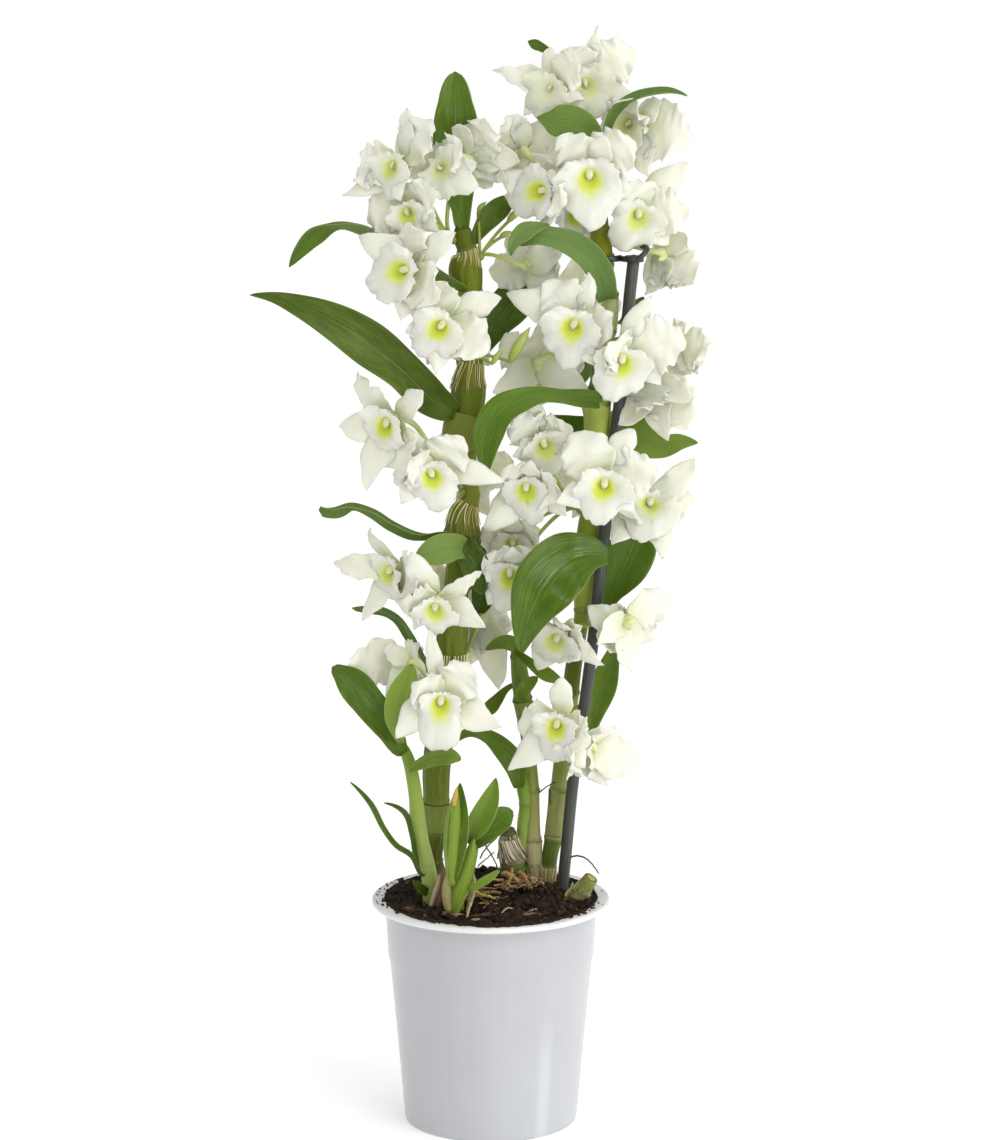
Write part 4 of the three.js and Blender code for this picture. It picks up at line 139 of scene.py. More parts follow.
FLOWERS = {
    'L1': {'c': [-43.3, -0.3, 483.3], 'n': [-0.63, -0.721, 0.29], 'd': [0.199, 0.21, 0.957], 's': 1, 'g': 'left_top',
        'tips': [[-39.7, 2.7, 509.9], [-67, 12.6, 478.5], [-70.2, 6.2, 466.8], [-44.7, -15.3, 466.8], [-28.8, -7.3, 505.8]], 'lip': [-53.8, -12.1, 471]},
    'L4': {'c': [-38.3, -5.1, 462.5], 'n': [-0.453, -0.889, 0.064], 'd': [-0.315, 0.227, 0.922], 's': 1, 'g': 'left_top',
        'tips': [[-52.2, 7.1, 470.2], [-61.9, 3.6, 456.8], [-49.1, -2.8, 443.8], [-26.3, -20.1, 452.3], [-25.3, -21, 471.7]], 'lip': [-38.3, -19.1, 448.2]},
    'L2': {'c': [-22.8, -4, 481.2], 'n': [-0.51, -0.784, 0.354], 'd': [0.351, 0.186, 0.918], 's': 1, 'g': 'left_top',
        'tips': [[-21.8, 8.6, 496.4], [-38.5, 11.3, 489.4], [-32.1, -15.8, 469.3], [-6, -19.9, 485.1], [-12.7, -18.3, 493.6]], 'lip': [-13.7, -25.3, 474.9]},
    'L3': {'c': [-10.9, -1, 487], 'n': [0.457, 0.834, 0.31], 'd': [-0.486, -0.058, 0.872], 's': 1, 'g': 'left_crown',
        'tips': [[-15.8, -8.2, 504.6], [-26.4, 13.4, 495.7], [8.5, -4, 475.1], [15.3, -9.5, 485.7], [-2.2, -13.9, 503.5]], 'lip': [2.4, 9.6, 476.3]},
    'L5': {'c': [-37.3, -18.1, 433.4], 'n': [-0.454, -0.858, 0.242], 'd': [0.661, -0.142, 0.736], 's': 1.05, 'g': 'left_high',
        'tips': [[-18, -25.6, 453.8], [-42, -11.3, 455.3], [-65, -7.6, 449.1], [-42.8, -26, 410.3], [-24.2, -35.9, 421.1]], 'lip': [-74, -17.1, 422.4]},
    'L6': {'c': [-21.9, -23.7, 408.7], 'n': [-0.1, -0.986, 0.133], 'd': [0.7, 0.025, 0.713], 's': 1.05, 'g': 'left_high',
        'tips': [[4.6, -27.4, 421.6], [-32.1, -24.4, 429], [-41.4, -26.4, 404.5], [-26.4, -29.9, 384.9], [-0.7, -31.6, 395.4]], 'lip': [-33.9, -36.4, 396]},
    'L7': {'c': [17.1, 12.3, 432.5], 'n': [0.262, 0.965, 0.033], 'd': [-0.903, 0.257, -0.344], 's': 0.95, 'g': 'left_bud',
        'tips': [[9.6, 25.6, 420.5], [34.2, 11.5, 422.1], [37, 8.9, 440.6], [7.1, 20.8, 446.3], [-0.9, 24, 429.1]], 'lip': [34, 18.9, 438.2]},
    'L8': {'c': [-46, -16.8, 360.8], 'n': [-0.607, -0.794, 0.045], 'd': [0.406, -0.261, 0.876], 's': 1.08, 'g': 'left_mid',
        'tips': [[-31.6, -34, 376.2], [-66.9, -6.2, 382.2], [-75.1, -4.7, 355.3], [-60.1, -16.9, 325.9], [-42.2, -24.9, 329.7]], 'lip': [-57.7, -25, 347.5]},
    'L9': {'c': [-28.3, -25.8, 337.3], 'n': [-0.101, -0.991, 0.082], 'd': [-0.183, 0.1, 0.978], 's': 1, 'g': 'left_mid',
        'tips': [[-40.6, -26.5, 358], [-39.9, -38.5, 340.8], [-43.6, -28.5, 320.4], [7, -30.8, 331.7], [-13.3, -31.2, 353.8]], 'lip': [-24.5, -38.8, 313.8]},
    'L10': {'c': [-44.4, -11.9, 286.3], 'n': [-0.706, -0.703, 0.08], 'd': [-0.296, 0.396, 0.869], 's': 1, 'g': 'left_low',
        'tips': [[-62.8, 1.7, 302.8], [-77.4, 2.3, 285.5], [-61.8, -8.8, 258.8], [-37.7, -23.2, 260.2], [-34.4, -33.5, 281.2]], 'lip': [-58.5, -15.8, 272.3]},
    'L11': {'c': [-26.4, -27.1, 273.5], 'n': [-0.101, -0.954, -0.283], 'd': [-0.147, -0.267, 0.952], 's': 1, 'g': 'left_low',
        'tips': [[-38.7, -34.9, 297.8], [-43.2, -34.3, 272.9], [-37.7, -20.2, 257.1], [-2.7, -29.2, 260.9], [-5.1, -36.1, 289.6]], 'lip': [-27.7, -32.8, 252.2]},
    'L12': {'c': [-24.1, -30.2, 224.5], 'n': [0, -0.983, 0.184], 'd': [-0.087, 0.183, 0.979], 's': 1.05, 'g': 'left_front',
        'tips': [[-29.8, -26.7, 256.9], [-37.4, -41, 233.4], [-46.4, -36.8, 205.4], [4.6, -35.5, 210.1], [-9.1, -32.4, 242.1]], 'lip': [-26.7, -46.1, 199]},
    'L13': {'c': [-39.9, -7.2, 236.9], 'n': [-0.552, 0.819, -0.153], 'd': [-0.121, 0.103, 0.987], 's': 0.95, 'g': 'left_front',
        'tips': [[-51.6, -19.6, 245.9], [-33.5, 11.7, 240.4], [-35.4, 3.3, 220.7], [-51.9, -15.3, 219.2], [-69.5, -18.7, 236.1]], 'lip': [-44.1, 0.2, 219.9]},
    'H10': {'c': [-4.7, 25.6, 252.9], 'n': [0.1, 0.851, -0.515], 'd': [-0.328, 0.517, 0.79], 's': 1, 'g': 'left_back',
        'tips': [[-8.6, 44.5, 253.4], [10.7, 34.5, 249.1], [4.1, 11.8, 218.9], [-10.5, 16.4, 231.2], [-14.2, 41, 247.8]], 'lip': [1.9, 27, 234]},
    'R1': {'c': [32.1, 4.6, 520.4], 'n': [-0.421, -0.868, 0.264], 'd': [0.254, 0.167, 0.953], 's': 1, 'g': 'right_top',
        'tips': [[28, 12.4, 539.8], [0.7, 14.2, 528.6], [15.3, 5.5, 506.3], [31.7, -9.1, 504.5], [44.2, -7.5, 533.2]], 'lip': [21, -7.1, 513]},
    'R2': {'c': [45.7, 16.4, 521.7], 'n': [0.05, -0.943, 0.33], 'd': [0.168, 0.333, 0.928], 's': 1.1, 'g': 'right_top',
        'tips': [[52.6, 22.7, 549.5], [33.9, 15.7, 536.8], [36.6, -0.3, 512.5], [68, 10.9, 516.7], [71.1, 19.2, 536.6]], 'lip': [48.3, -1.7, 510.7]},
    'R3': {'c': [71.5, 12.7, 502.4], 'n': [-0.453, -0.852, 0.262], 'd': [0.441, 0.041, 0.896], 's': 1.1, 'g': 'right_top',
        'tips': [[83.1, -3.6, 513.7], [68.6, -2.8, 514.6], [59.2, 4, 489.9], [76.7, -0.6, 477.2], [96.8, -4.4, 496.4]], 'lip': [59.1, 0.7, 498.9]},
    'R4': {'c': [48.2, -14, 481.1], 'n': [-0.05, -0.99, 0.134], 'd': [0.256, 0.116, 0.96], 's': 1.1, 'g': 'right_crown',
        'tips': [[55.1, -21.5, 499.1], [33, -16.6, 497.3], [29.7, -20.6, 472.6], [67.2, -22.1, 471.8], [70.1, -17.1, 496.4]], 'lip': [47.4, -28.9, 457]},
    'R5': {'c': [29.5, -8.3, 471.6], 'n': [-0.502, -0.858, 0.109], 'd': [0.369, -0.098, 0.924], 's': 1, 'g': 'right_crown',
        'tips': [[31.5, -25.1, 481.6], [19.2, 2.4, 485.2], [4.6, 1.7, 479.4], [26.9, -16.1, 453.3], [34.4, -27.5, 466]], 'lip': [3.1, -7.2, 466.6]},
    'R6': {'c': [16, 6.6, 490.1], 'n': [-0.206, 0.969, 0.134], 'd': [-0.287, -0.191, 0.939], 's': 1, 'g': 'right_crown',
        'tips': [[13.3, 1, 506.6], [33.1, 18.4, 493.7], [26.7, 18.4, 476.1], [-5.2, 5.7, 485.9], [5.1, -1.6, 502]], 'lip': [18.3, 21, 476.2]},
    'R7': {'c': [71.2, 9.8, 459.7], 'n': [0.254, -0.959, 0.127], 'd': [0.481, 0.239, 0.844], 's': 1.05, 'g': 'right_side',
        'tips': [[95.8, 14.6, 482.3], [66.9, -2.4, 474.9], [59.6, -5, 466.4], [88.1, 9.1, 443], [96, 13.8, 458.8]], 'lip': [67.9, -5.7, 443.1]},
    'R8': {'c': [42, 19.9, 460.3], 'n': [-0.101, -0.987, -0.123], 'd': [-0.032, -0.121, 0.992], 's': 0.9, 'g': 'right_side',
        'tips': [[42.7, 5.8, 470.3], [30.6, 8.6, 462.7], [37.2, 21.6, 444.2], [49, 18.2, 445.6], [53.6, 7.2, 462.8]], 'lip': [42.9, 10.2, 447.3]},
    'R9': {'c': [85, 21.9, 438.1], 'n': [0.404, 0.912, -0.068], 'd': [-0.041, 0.092, 0.995], 's': 1, 'g': 'right_side',
        'tips': [[98, 11.5, 446.2], [100.4, 16.2, 423], [89.9, 24.1, 419.2], [78.1, 27.4, 415.8], [79.5, 39.7, 431.4]], 'lip': [90.3, 30.9, 421]},
    'R10': {'c': [42.3, -10.3, 407.5], 'n': [-0.151, -0.972, 0.181], 'd': [0.335, 0.122, 0.934], 's': 1.08, 'g': 'right_high',
        'tips': [[47.9, -11.2, 431.4], [26.5, -7.9, 425.7], [6.6, -6.5, 421.6], [51.3, -20.1, 387.1], [58.9, -23.6, 401.2]], 'lip': [33.7, -24.7, 391.6]},
    'R14': {'c': [23.4, 7.6, 384.9], 'n': [0, 0.958, -0.285], 'd': [0, 0.285, 0.958], 's': 1.1, 'g': 'right_high',
        'tips': [[24.5, 27, 391.3], [46.7, 12.9, 382.7], [48.1, 7.1, 371.5], [1.1, 6.6, 370.1], [6.6, 18.6, 397.9]], 'lip': [23.4, 14.6, 364]},
    'R11': {'c': [63.7, -13.7, 390.5], 'n': [0.101, -0.967, 0.232], 'd': [0.335, 0.253, 0.908], 's': 1.1, 'g': 'right_high',
        'tips': [[78.2, -9.2, 419.5], [55.8, -30.3, 398.6], [54.9, -31.1, 388.5], [82.5, -19.1, 378.1], [95.8, -12.4, 398.8]], 'lip': [60.8, -30.8, 373.8]},
    'R12': {'c': [92.3, 15.7, 393.9], 'n': [0.423, 0.904, -0.061], 'd': [0.1, 0.02, 0.995], 's': 1, 'g': 'right_outer',
        'tips': [[92.4, 32.2, 403.2], [105.9, 3.1, 391.9], [102.6, 13.4, 378.6], [88.4, 26.8, 377.8], [85.6, 34.5, 392.9]], 'lip': [95.6, 25.8, 376.9]},
    'R13': {'c': [79.7, 6, 380.8], 'n': [0.457, 0.666, -0.59], 'd': [0.585, 0.274, 0.763], 's': 1.05, 'g': 'right_outer',
        'tips': [[97.6, -11.7, 369.2], [73.3, -7.3, 362.6], [63.2, -0.5, 353.2], [86.5, -11.1, 349.3], [95.7, -12.7, 356.5]], 'lip': [75.2, 9.3, 360.5]},
    'R15': {'c': [24.1, -4, 349.7], 'n': [0.25, -0.96, -0.126], 'd': [-0.437, -0.228, 0.87], 's': 1, 'g': 'right_mid',
        'tips': [[19.7, -15.3, 368.7], [11.4, -18.3, 360.3], [11, -15.7, 342.1], [46.1, 0.4, 342.6], [39.9, -9.5, 355]], 'lip': [32.1, -11.1, 329.4]},
    'R16': {'c': [18.7, -9.3, 328.4], 'n': [-0.202, -0.979, -0.022], 'd': [0.13, -0.05, 0.99], 's': 1, 'g': 'right_mid',
        'tips': [[19.2, -24.1, 340.4], [7.5, -20.2, 337.8], [-4.3, -9.4, 302.7], [37, -15.8, 312.3], [33, -21.3, 321.2]], 'lip': [18.3, -19.4, 298]},
    'R19': {'c': [10.4, 18.9, 295.1], 'n': [0.101, -0.991, 0.082], 'd': [0.183, 0.1, 0.978], 's': 0.95, 'g': 'right_mid',
        'tips': [[12, 5.8, 306.6], [-6.4, 9.5, 295.8], [-1.4, 12.1, 281.1], [19.6, 14.5, 281.7], [24.5, 10.8, 300.6]], 'lip': [8.7, 6.4, 280.8]},
    'R17': {'c': [55.7, -25.8, 331.4], 'n': [0, -0.973, 0.233], 'd': [0.342, 0.219, 0.914], 's': 1.1, 'g': 'right_mid',
        'tips': [[69.9, -23.1, 357.5], [37.7, -24, 354.2], [32.3, -32.1, 322], [69.7, -35.5, 317.7], [81.5, -28, 338.1]], 'lip': [52, -42.5, 315.4]},
    'R18': {'c': [77.9, 10.9, 312], 'n': [0.21, -0.669, 0.713], 'd': [0.773, 0.56, 0.298], 's': 1.08, 'g': 'right_front',
        'tips': [[101.2, 26.9, 332.4], [62.7, -8, 314], [59.9, -9.2, 296.6], [85.6, -9.2, 290.6], [99.6, 20.2, 312.7]], 'lip': [74.9, -15.9, 300.3]},
    'R20': {'c': [10.3, -0.7, 282.5], 'n': [-0.1, -0.978, 0.183], 'd': [0.172, 0.164, 0.971], 's': 1, 'g': 'right_mid',
        'tips': [[10.5, -12.9, 295.8], [-3.3, -8.7, 291], [-1.3, -6.4, 265.4], [19.4, -11.3, 269.4], [24.3, -11.8, 289.6]], 'lip': [6.1, -15, 263.1]},
    'R21': {'c': [35.3, -5.9, 253.2], 'n': [-0.302, -0.935, -0.184], 'd': [0.234, -0.26, 0.937], 's': 1.05, 'g': 'right_low',
        'tips': [[35, -25.1, 261.1], [19.6, 5.8, 247.8], [22.5, -0.8, 230.8], [56.1, -12.4, 235.8], [49, -20.5, 246.1]], 'lip': [26.9, -13.5, 237.6]},
    'R22': {'c': [67.5, -5.2, 258.7], 'n': [-0.62, 0.777, 0.107], 'd': [0.443, 0.234, 0.865], 's': 1.1, 'g': 'right_low',
        'tips': [[79.9, 17.7, 258.2], [82.3, 14.6, 244.5], [68, 1.4, 230.4], [53.9, -19.8, 249], [91.7, 14, 264.1]], 'lip': [54.5, 4.3, 249.7]},
    'R23': {'c': [35.4, -25, 212], 'n': [-0.352, -0.928, 0.122], 'd': [0.212, 0.048, 0.976], 's': 1.05, 'g': 'right_base',
        'tips': [[35.1, -29.3, 234.4], [12.5, -18.3, 208.2], [10, -25, 187], [45.9, -35.3, 188.9], [48.7, -40.6, 202.8]], 'lip': [27.2, -37.2, 192.4]},
    'R24': {'c': [44.8, -11.7, 197.8], 'n': [0.841, -0.513, -0.172], 'd': [0.27, 0.124, 0.955], 's': 1.08, 'g': 'right_base',
        'tips': [[58, 12.2, 196.6], [74.9, 3.6, 183.2], [56.7, -0.5, 173.3], [36.1, -32.4, 184.2], [38.9, -38.2, 198.7]], 'lip': [63.6, -3.4, 182.3]},
    'B1': {'c': [-15.5, 37.2, 400.4], 'n': [-0.253, 0.964, -0.077], 'd': [0.026, 0.086, 0.996], 's': 1.05, 'g': 'left_high',
        'tips': [[-15.7, 42.8, 427.9], [9.1, 47.8, 408.4], [-1.1, 42.5, 378.7], [-32.6, 34.4, 380.2], [-41.4, 34.7, 410.9]], 'lip': [-19.1, 47.4, 382.4]},
    'B2': {'c': [-12.1, 38.6, 326.2], 'n': [-0.3, 0.914, -0.272], 'd': [0.13, 0.322, 0.938], 's': 1, 'g': 'left_mid',
        'tips': [[-9.6, 50, 350.2], [11.6, 50.5, 328.5], [-1, 38.7, 303.4], [-30.3, 31.1, 310.1], [-35.4, 38.3, 339.2]], 'lip': [-17.7, 43.9, 307.7]},
    'B3': {'c': [-17.3, 36.1, 265.3], 'n': [-0.352, 0.92, -0.172], 'd': [0, 0.184, 0.983], 's': 1, 'g': 'left_back',
        'tips': [[-18.4, 43.9, 290.8], [4.9, 49.3, 272], [-3.9, 40.6, 244.2], [-32.9, 29.9, 246.2], [-41.7, 32.1, 275.2]], 'lip': [-21.4, 43.7, 247.2]},
    'B4': {'c': [37.5, 38.9, 406.3], 'n': [0.101, 0.991, -0.082], 'd': [0.163, 0.065, 0.984], 's': 1.05, 'g': 'right_high',
        'tips': [[42.4, 44, 433.4], [65.1, 39.9, 411.3], [50.4, 38.9, 383], [18.5, 42.5, 388], [13.7, 45.8, 419.4]], 'lip': [35.9, 49.8, 388.3]},
    'B5': {'c': [52.9, 39.9, 325.8], 'n': [0.252, 0.941, -0.227], 'd': [-0.151, 0.27, 0.951], 's': 1.05, 'g': 'right_front',
        'tips': [[49.5, 50.6, 351.5], [77.3, 40.3, 339.6], [72.4, 34, 308.7], [41.3, 40.6, 301.9], [27.3, 51, 328.6]], 'lip': [58.5, 46.7, 306.7]},
    'B6': {'c': [45.3, 32.9, 481.6], 'n': [0.204, 0.979, -0.027], 'd': [-0.031, 0.034, 0.999], 's': 1.05, 'g': 'right_crown',
        'tips': [[45.1, 37.1, 509.3], [71.2, 31.2, 492], [62.5, 32, 461.3], [30.6, 38.6, 460.1], [20.1, 41.8, 490]], 'lip': [48.3, 44.2, 464.1]},
}
STEMS = {
    'left_top': [-17.9, 6.4, 445.6, -0.940, -0.342],
    'left_crown': [-15.6, 11.7, 450, -0.500, 0.866],
    'left_high': [-14, 6.3, 390.3, -0.940, -0.342],
    'left_bud': [-5.2, 7, 437.7, 0.985, -0.174],
    'left_mid': [-13.7, 6.5, 320.3, -0.940, -0.342],
    'left_low': [-24.9, 5.7, 260.5, -0.940, -0.342],
    'left_front': [-27.8, 6.7, 221.1, -0.819, -0.574],
    'left_back': [-12.6, 13.5, 238.9, 0.866, 0.500],
    'right_top': [51.5, 5.8, 489.8, -0.985, -0.174],
    'right_crown': [49.8, 8.1, 457.7, -0.940, -0.342],
    'right_side': [56, 16, 440.4, 0.174, 0.985],
    'right_high': [51.9, 10.7, 390.8, -0.940, -0.342],
    'right_outer': [58.1, 15.2, 393.2, 0.500, 0.866],
    'right_mid': [44.8, 15.2, 309.8, -0.985, -0.174],
    'right_front': [53.5, 20.8, 325.1, 0.342, 0.940],
    'right_low': [40.5, 19.1, 246.8, -0.940, -0.342],
    'right_base': [38.9, 19.3, 199.7, -0.000, -1.000],
}
BUDS = [
    {'base': [8.5, 14, 453.9], 'tip': [13.9, 12, 459], 'r': 2.2, 'g': 'left_bud'},
    {'base': [4.6, 12, 446.2], 'tip': [9, 11, 448.2], 'r': 1.8, 'g': 'left_bud'},
    {'base': [-6.2, 14, 458.8], 'tip': [-3.3, 15, 462.1], 'r': 1.6, 'g': 'left_bud'},
    {'base': [9.5, -4, 386.9], 'tip': [16.3, -6, 399], 'r': 3, 'g': 'left_high'},
    {'base': [0.7, -2, 385.6], 'tip': [4.6, -2, 390.6], 'r': 1.8, 'g': 'left_high'},
]
ROOTS = [
    [[-12.3, -34, 111.2, 1.6], [-11.3, -30, 118.8, 1.8], [-9.9, -20, 123.8, 1.7], [-9, -2, 128.2, 1.4]],
    [[-10.4, -22, 120.2, 1.6], [-5.4, -20, 121.7, 1.8], [-0.4, -16, 121.6, 1.8], [4.6, -12, 120, 1.5]],
    [[2.6, -20, 117.6, 1.6], [7.6, -10, 119.5, 2.2], [13.7, 4, 120.3, 2.4], [19.8, 16, 121.3, 1.8]],
    [[4.6, 2, 119.8, 1.4], [10.7, 8, 121.3, 1.8], [19.8, 16, 121.3, 1.6]],
]
P_LUMP = [38.4, 28.8, 113.6]
P_WHITE = [0.6, -25.9, 111.5]
P_SLIVER = [-35, -36.9, 111.5]


# ------------------------------------------------------------------ mesh helpers
def unit(v):
    v = np.asarray(v, float)
    return v / (np.linalg.norm(v, axis=-1, keepdims=True) + 1e-12)

def hermite(rows, n):
    """Points of a smooth curve through the rows, evenly spread by length."""
    r = np.asarray(rows, float)
    if len(r) < 3:
        t = np.linspace(0, 1, n)[:, None]
        return r[0] * (1 - t) + r[-1] * t
    d = np.linalg.norm(np.diff(r[:, :3], axis=0), axis=1)
    s = np.concatenate([[0], np.cumsum(np.maximum(d, 1e-6))])
    m = np.empty_like(r)
    m[1:-1] = ((r[2:] - r[1:-1]) / (s[2:] - s[1:-1])[:, None] * (s[1:-1] - s[:-2])[:, None]
               + (r[1:-1] - r[:-2]) / (s[1:-1] - s[:-2])[:, None] * (s[2:] - s[1:-1])[:, None]) / (s[2:] - s[:-2])[:, None]
    m[0] = 2 * (r[1] - r[0]) / (s[1] - s[0]) - m[1]
    m[-1] = 2 * (r[-1] - r[-2]) / (s[-1] - s[-2]) - m[-2]
    q = np.linspace(0, s[-1], n)
    i = np.clip(np.searchsorted(s, q, side="right") - 1, 0, len(r) - 2)
    h = s[i + 1] - s[i]
    t = ((q - s[i]) / h)[:, None]
    h = h[:, None]
    return ((2 * t**3 - 3 * t**2 + 1) * r[i] + (t**3 - 2 * t**2 + t) * h * m[i]
            + (-2 * t**3 + 3 * t**2) * r[i + 1] + (t**3 - t**2) * h * m[i + 1])

def transport(pts, start=None):
    t = np.gradient(pts, axis=0)
    t = unit(t)
    ref = np.array([0, -1, 0.0]) if start is None else np.asarray(start, float)
    if abs(t[0] @ unit(ref)) > 0.95:
        ref = np.array([1.0, 0, 0])
    ns = []
    for k in range(len(pts)):
        n = ref - t[k] * (ref @ t[k])
        n = n / (np.linalg.norm(n) + 1e-12)
        ns.append(n)
        ref = n
    n = np.array(ns)
    return t, n, np.cross(t, n)

class Geo:
    """One mesh in the making: vertices in mm, faces, a material index and three numbers a vertex."""
    def __init__(self):
        self.v, self.q, self.t, self.qm, self.tm, self.a, self.c, self.n = [], [], [], [], [], [], [], 0

    def add(self, verts, quads=None, tris=None, mat=0, attr=None, col=None):
        verts = np.asarray(verts, float).reshape(-1, 3)
        k = len(verts)
        self.v.append(verts)
        self.a.append(np.zeros((k, 3)) if attr is None else np.broadcast_to(np.asarray(attr, float), (k, 3)))
        self.c.append(np.ones((k, 3)) if col is None else np.broadcast_to(np.asarray(col, float), (k, 3)))
        if quads is not None and len(quads):
            q = np.asarray(quads, int) + self.n
            self.q.append(q); self.qm.append(np.full(len(q), mat))
        if tris is not None and len(tris):
            t = np.asarray(tris, int) + self.n
            self.t.append(t); self.tm.append(np.full(len(t), mat))
        self.n += k

    def build(self, name, mats, node=None):
        v = np.concatenate(self.v) * MM
        q = np.concatenate(self.q) if self.q else np.zeros((0, 4), int)
        t = np.concatenate(self.t) if self.t else np.zeros((0, 3), int)
        me = bpy.data.meshes.new(name)
        me.vertices.add(len(v)); me.vertices.foreach_set("co", v.ravel())
        loops = np.concatenate([q.ravel(), t.ravel()])
        me.loops.add(len(loops)); me.loops.foreach_set("vertex_index", loops)
        sizes = np.concatenate([np.full(len(q), 4), np.full(len(t), 3)])
        me.polygons.add(len(sizes))
        me.polygons.foreach_set("loop_start", np.concatenate([[0], np.cumsum(sizes)[:-1]]))
        mi = np.concatenate([*(self.qm or []), *(self.tm or [])]) if (self.qm or self.tm) else np.zeros(0)
        for m in mats:
            me.materials.append(m)
        me.polygons.foreach_set("material_index", mi.astype(int))
        me.polygons.foreach_set("use_smooth", np.ones(len(sizes), bool))
        at = me.attributes.new("lc", "FLOAT_VECTOR", "POINT")
        at.data.foreach_set("vector", np.concatenate(self.a).ravel())
        ct = me.attributes.new("tone", "FLOAT_VECTOR", "POINT")
        ct.data.foreach_set("vector", np.concatenate(self.c).ravel())
        me.update(calc_edges=True)
        me.validate()
        o = bpy.data.objects.new(name, me)
        bpy.context.scene.collection.objects.link(o)
        if node:
            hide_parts(*([node] if isinstance(node, str) else node))
        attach(o, "root")
        return o

def shell(geo, P, thick, mat=0, attr=None, col=None, closed=False, cap0=True):
    """A thin skin round the grid of points P[i, j]."""
    nu, nv = P.shape[0], P.shape[1]
    du = np.gradient(P, axis=0)
    if closed:
        ext = np.concatenate([P[:, -1:], P, P[:, :1]], axis=1)
        dv = (ext[:, 2:] - ext[:, :-2]) / 2
    else:
        dv = np.gradient(P, axis=1)
    N = unit(np.cross(du, dv))
    th = np.broadcast_to(np.asarray(thick, float), (nu, nv))[..., None]
    top = (P + N * th / 2).reshape(-1, 3)
    bot = (P - N * th / 2).reshape(-1, 3)
    idx = np.arange(nu * nv).reshape(nu, nv)
    if closed:
        idx = np.concatenate([idx, idx[:, :1]], axis=1)
    a, b, c, d = idx[:-1, :-1].ravel(), idx[1:, :-1].ravel(), idx[1:, 1:].ravel(), idx[:-1, 1:].ravel()
    K = nu * nv
    quads = [np.stack([a, b, c, d], 1), np.stack([d + K, c + K, b + K, a + K], 1)]
    if not closed:
        s = idx[:, 0]
        quads.append(np.stack([s[:-1], s[:-1] + K, s[1:] + K, s[1:]], 1))
        s = idx[:, -1]
        quads.append(np.stack([s[1:], s[1:] + K, s[:-1] + K, s[:-1]], 1))
    s = idx[0]
    quads.append(np.stack([s[1:], s[1:] + K, s[:-1] + K, s[:-1]], 1))
    s = idx[-1]
    quads.append(np.stack([s[:-1], s[:-1] + K, s[1:] + K, s[1:]], 1))
    at = None if attr is None else np.concatenate([attr.reshape(-1, 3), attr.reshape(-1, 3)])
    ct = None
    if col is not None:
        cc = np.broadcast_to(col, (nu, nv, 3)).reshape(-1, 3)
        ct = np.concatenate([cc, cc])
    geo.add(np.concatenate([top, bot]), np.concatenate(quads), mat=mat, attr=at, col=ct)

def tube(geo, pts, rad, sides=16, mat=0, attr=None, col=None, shape=None, start=None, flat0=False, flat1=False):
    """A closed round stem. shape[i, j] multiplies the radius; the ends are drawn in to a point or left flat."""
    pts = np.asarray(pts, float); n = len(pts)
    rad = np.broadcast_to(np.asarray(rad, float), (n,))
    t, a, b = transport(pts, start)
    th = np.linspace(0, 2 * math.pi, sides, endpoint=False)
    m = np.ones((n, sides)) if shape is None else shape
    ring = (pts[:, None] + (a[:, None] * np.cos(th)[None, :, None] + b[:, None] * np.sin(th)[None, :, None]) * (rad[:, None] * m)[..., None])
    idx = np.arange(n * sides).reshape(n, sides)
    w = np.concatenate([idx, idx[:, :1]], axis=1)
    quads = np.stack([w[:-1, :-1].ravel(), w[:-1, 1:].ravel(), w[1:, 1:].ravel(), w[1:, :-1].ravel()], 1)
    k = n * sides
    bump0 = 0 if flat0 else 0.45
    bump1 = 0 if flat1 else 0.45
    ends = np.array([pts[0] - t[0] * rad[0] * bump0, pts[-1] + t[-1] * rad[-1] * bump1])
    tris = [[k, w[0, j + 1], w[0, j]] for j in range(sides)] + [[k + 1, w[-1, j], w[-1, j + 1]] for j in range(sides)]
    u = np.linspace(0, 1, n)
    if attr is None:
        at = np.stack([np.repeat(u, sides), np.tile(np.arange(sides) / sides, n), np.zeros(n * sides)], 1)
    else:
        at = np.repeat(np.broadcast_to(attr, (n, 3)), sides, axis=0).copy()
        at[:, 1] = np.tile(np.arange(sides) / sides, n)
    at = np.concatenate([at, at[:1], at[-1:]])
    ct = None
    if col is not None:
        cc = np.repeat(np.broadcast_to(col, (n, 3)), sides, axis=0)
        ct = np.concatenate([cc, cc[:1], cc[-1:]])
    geo.add(np.concatenate([ring.reshape(-1, 3), ends]), quads, tris, mat, at, ct)
    return t, a, b

def prof(xs, ys, q):
    return np.interp(q, xs, ys)

def smoothprof(xs, ys, q):
    """A soft curve through the given values."""
    rows = np.stack([xs, np.zeros(len(xs)), np.zeros(len(xs)), ys], 1)
    fine = hermite(rows, 200)
    return np.interp(q, fine[:, 0], fine[:, 3])

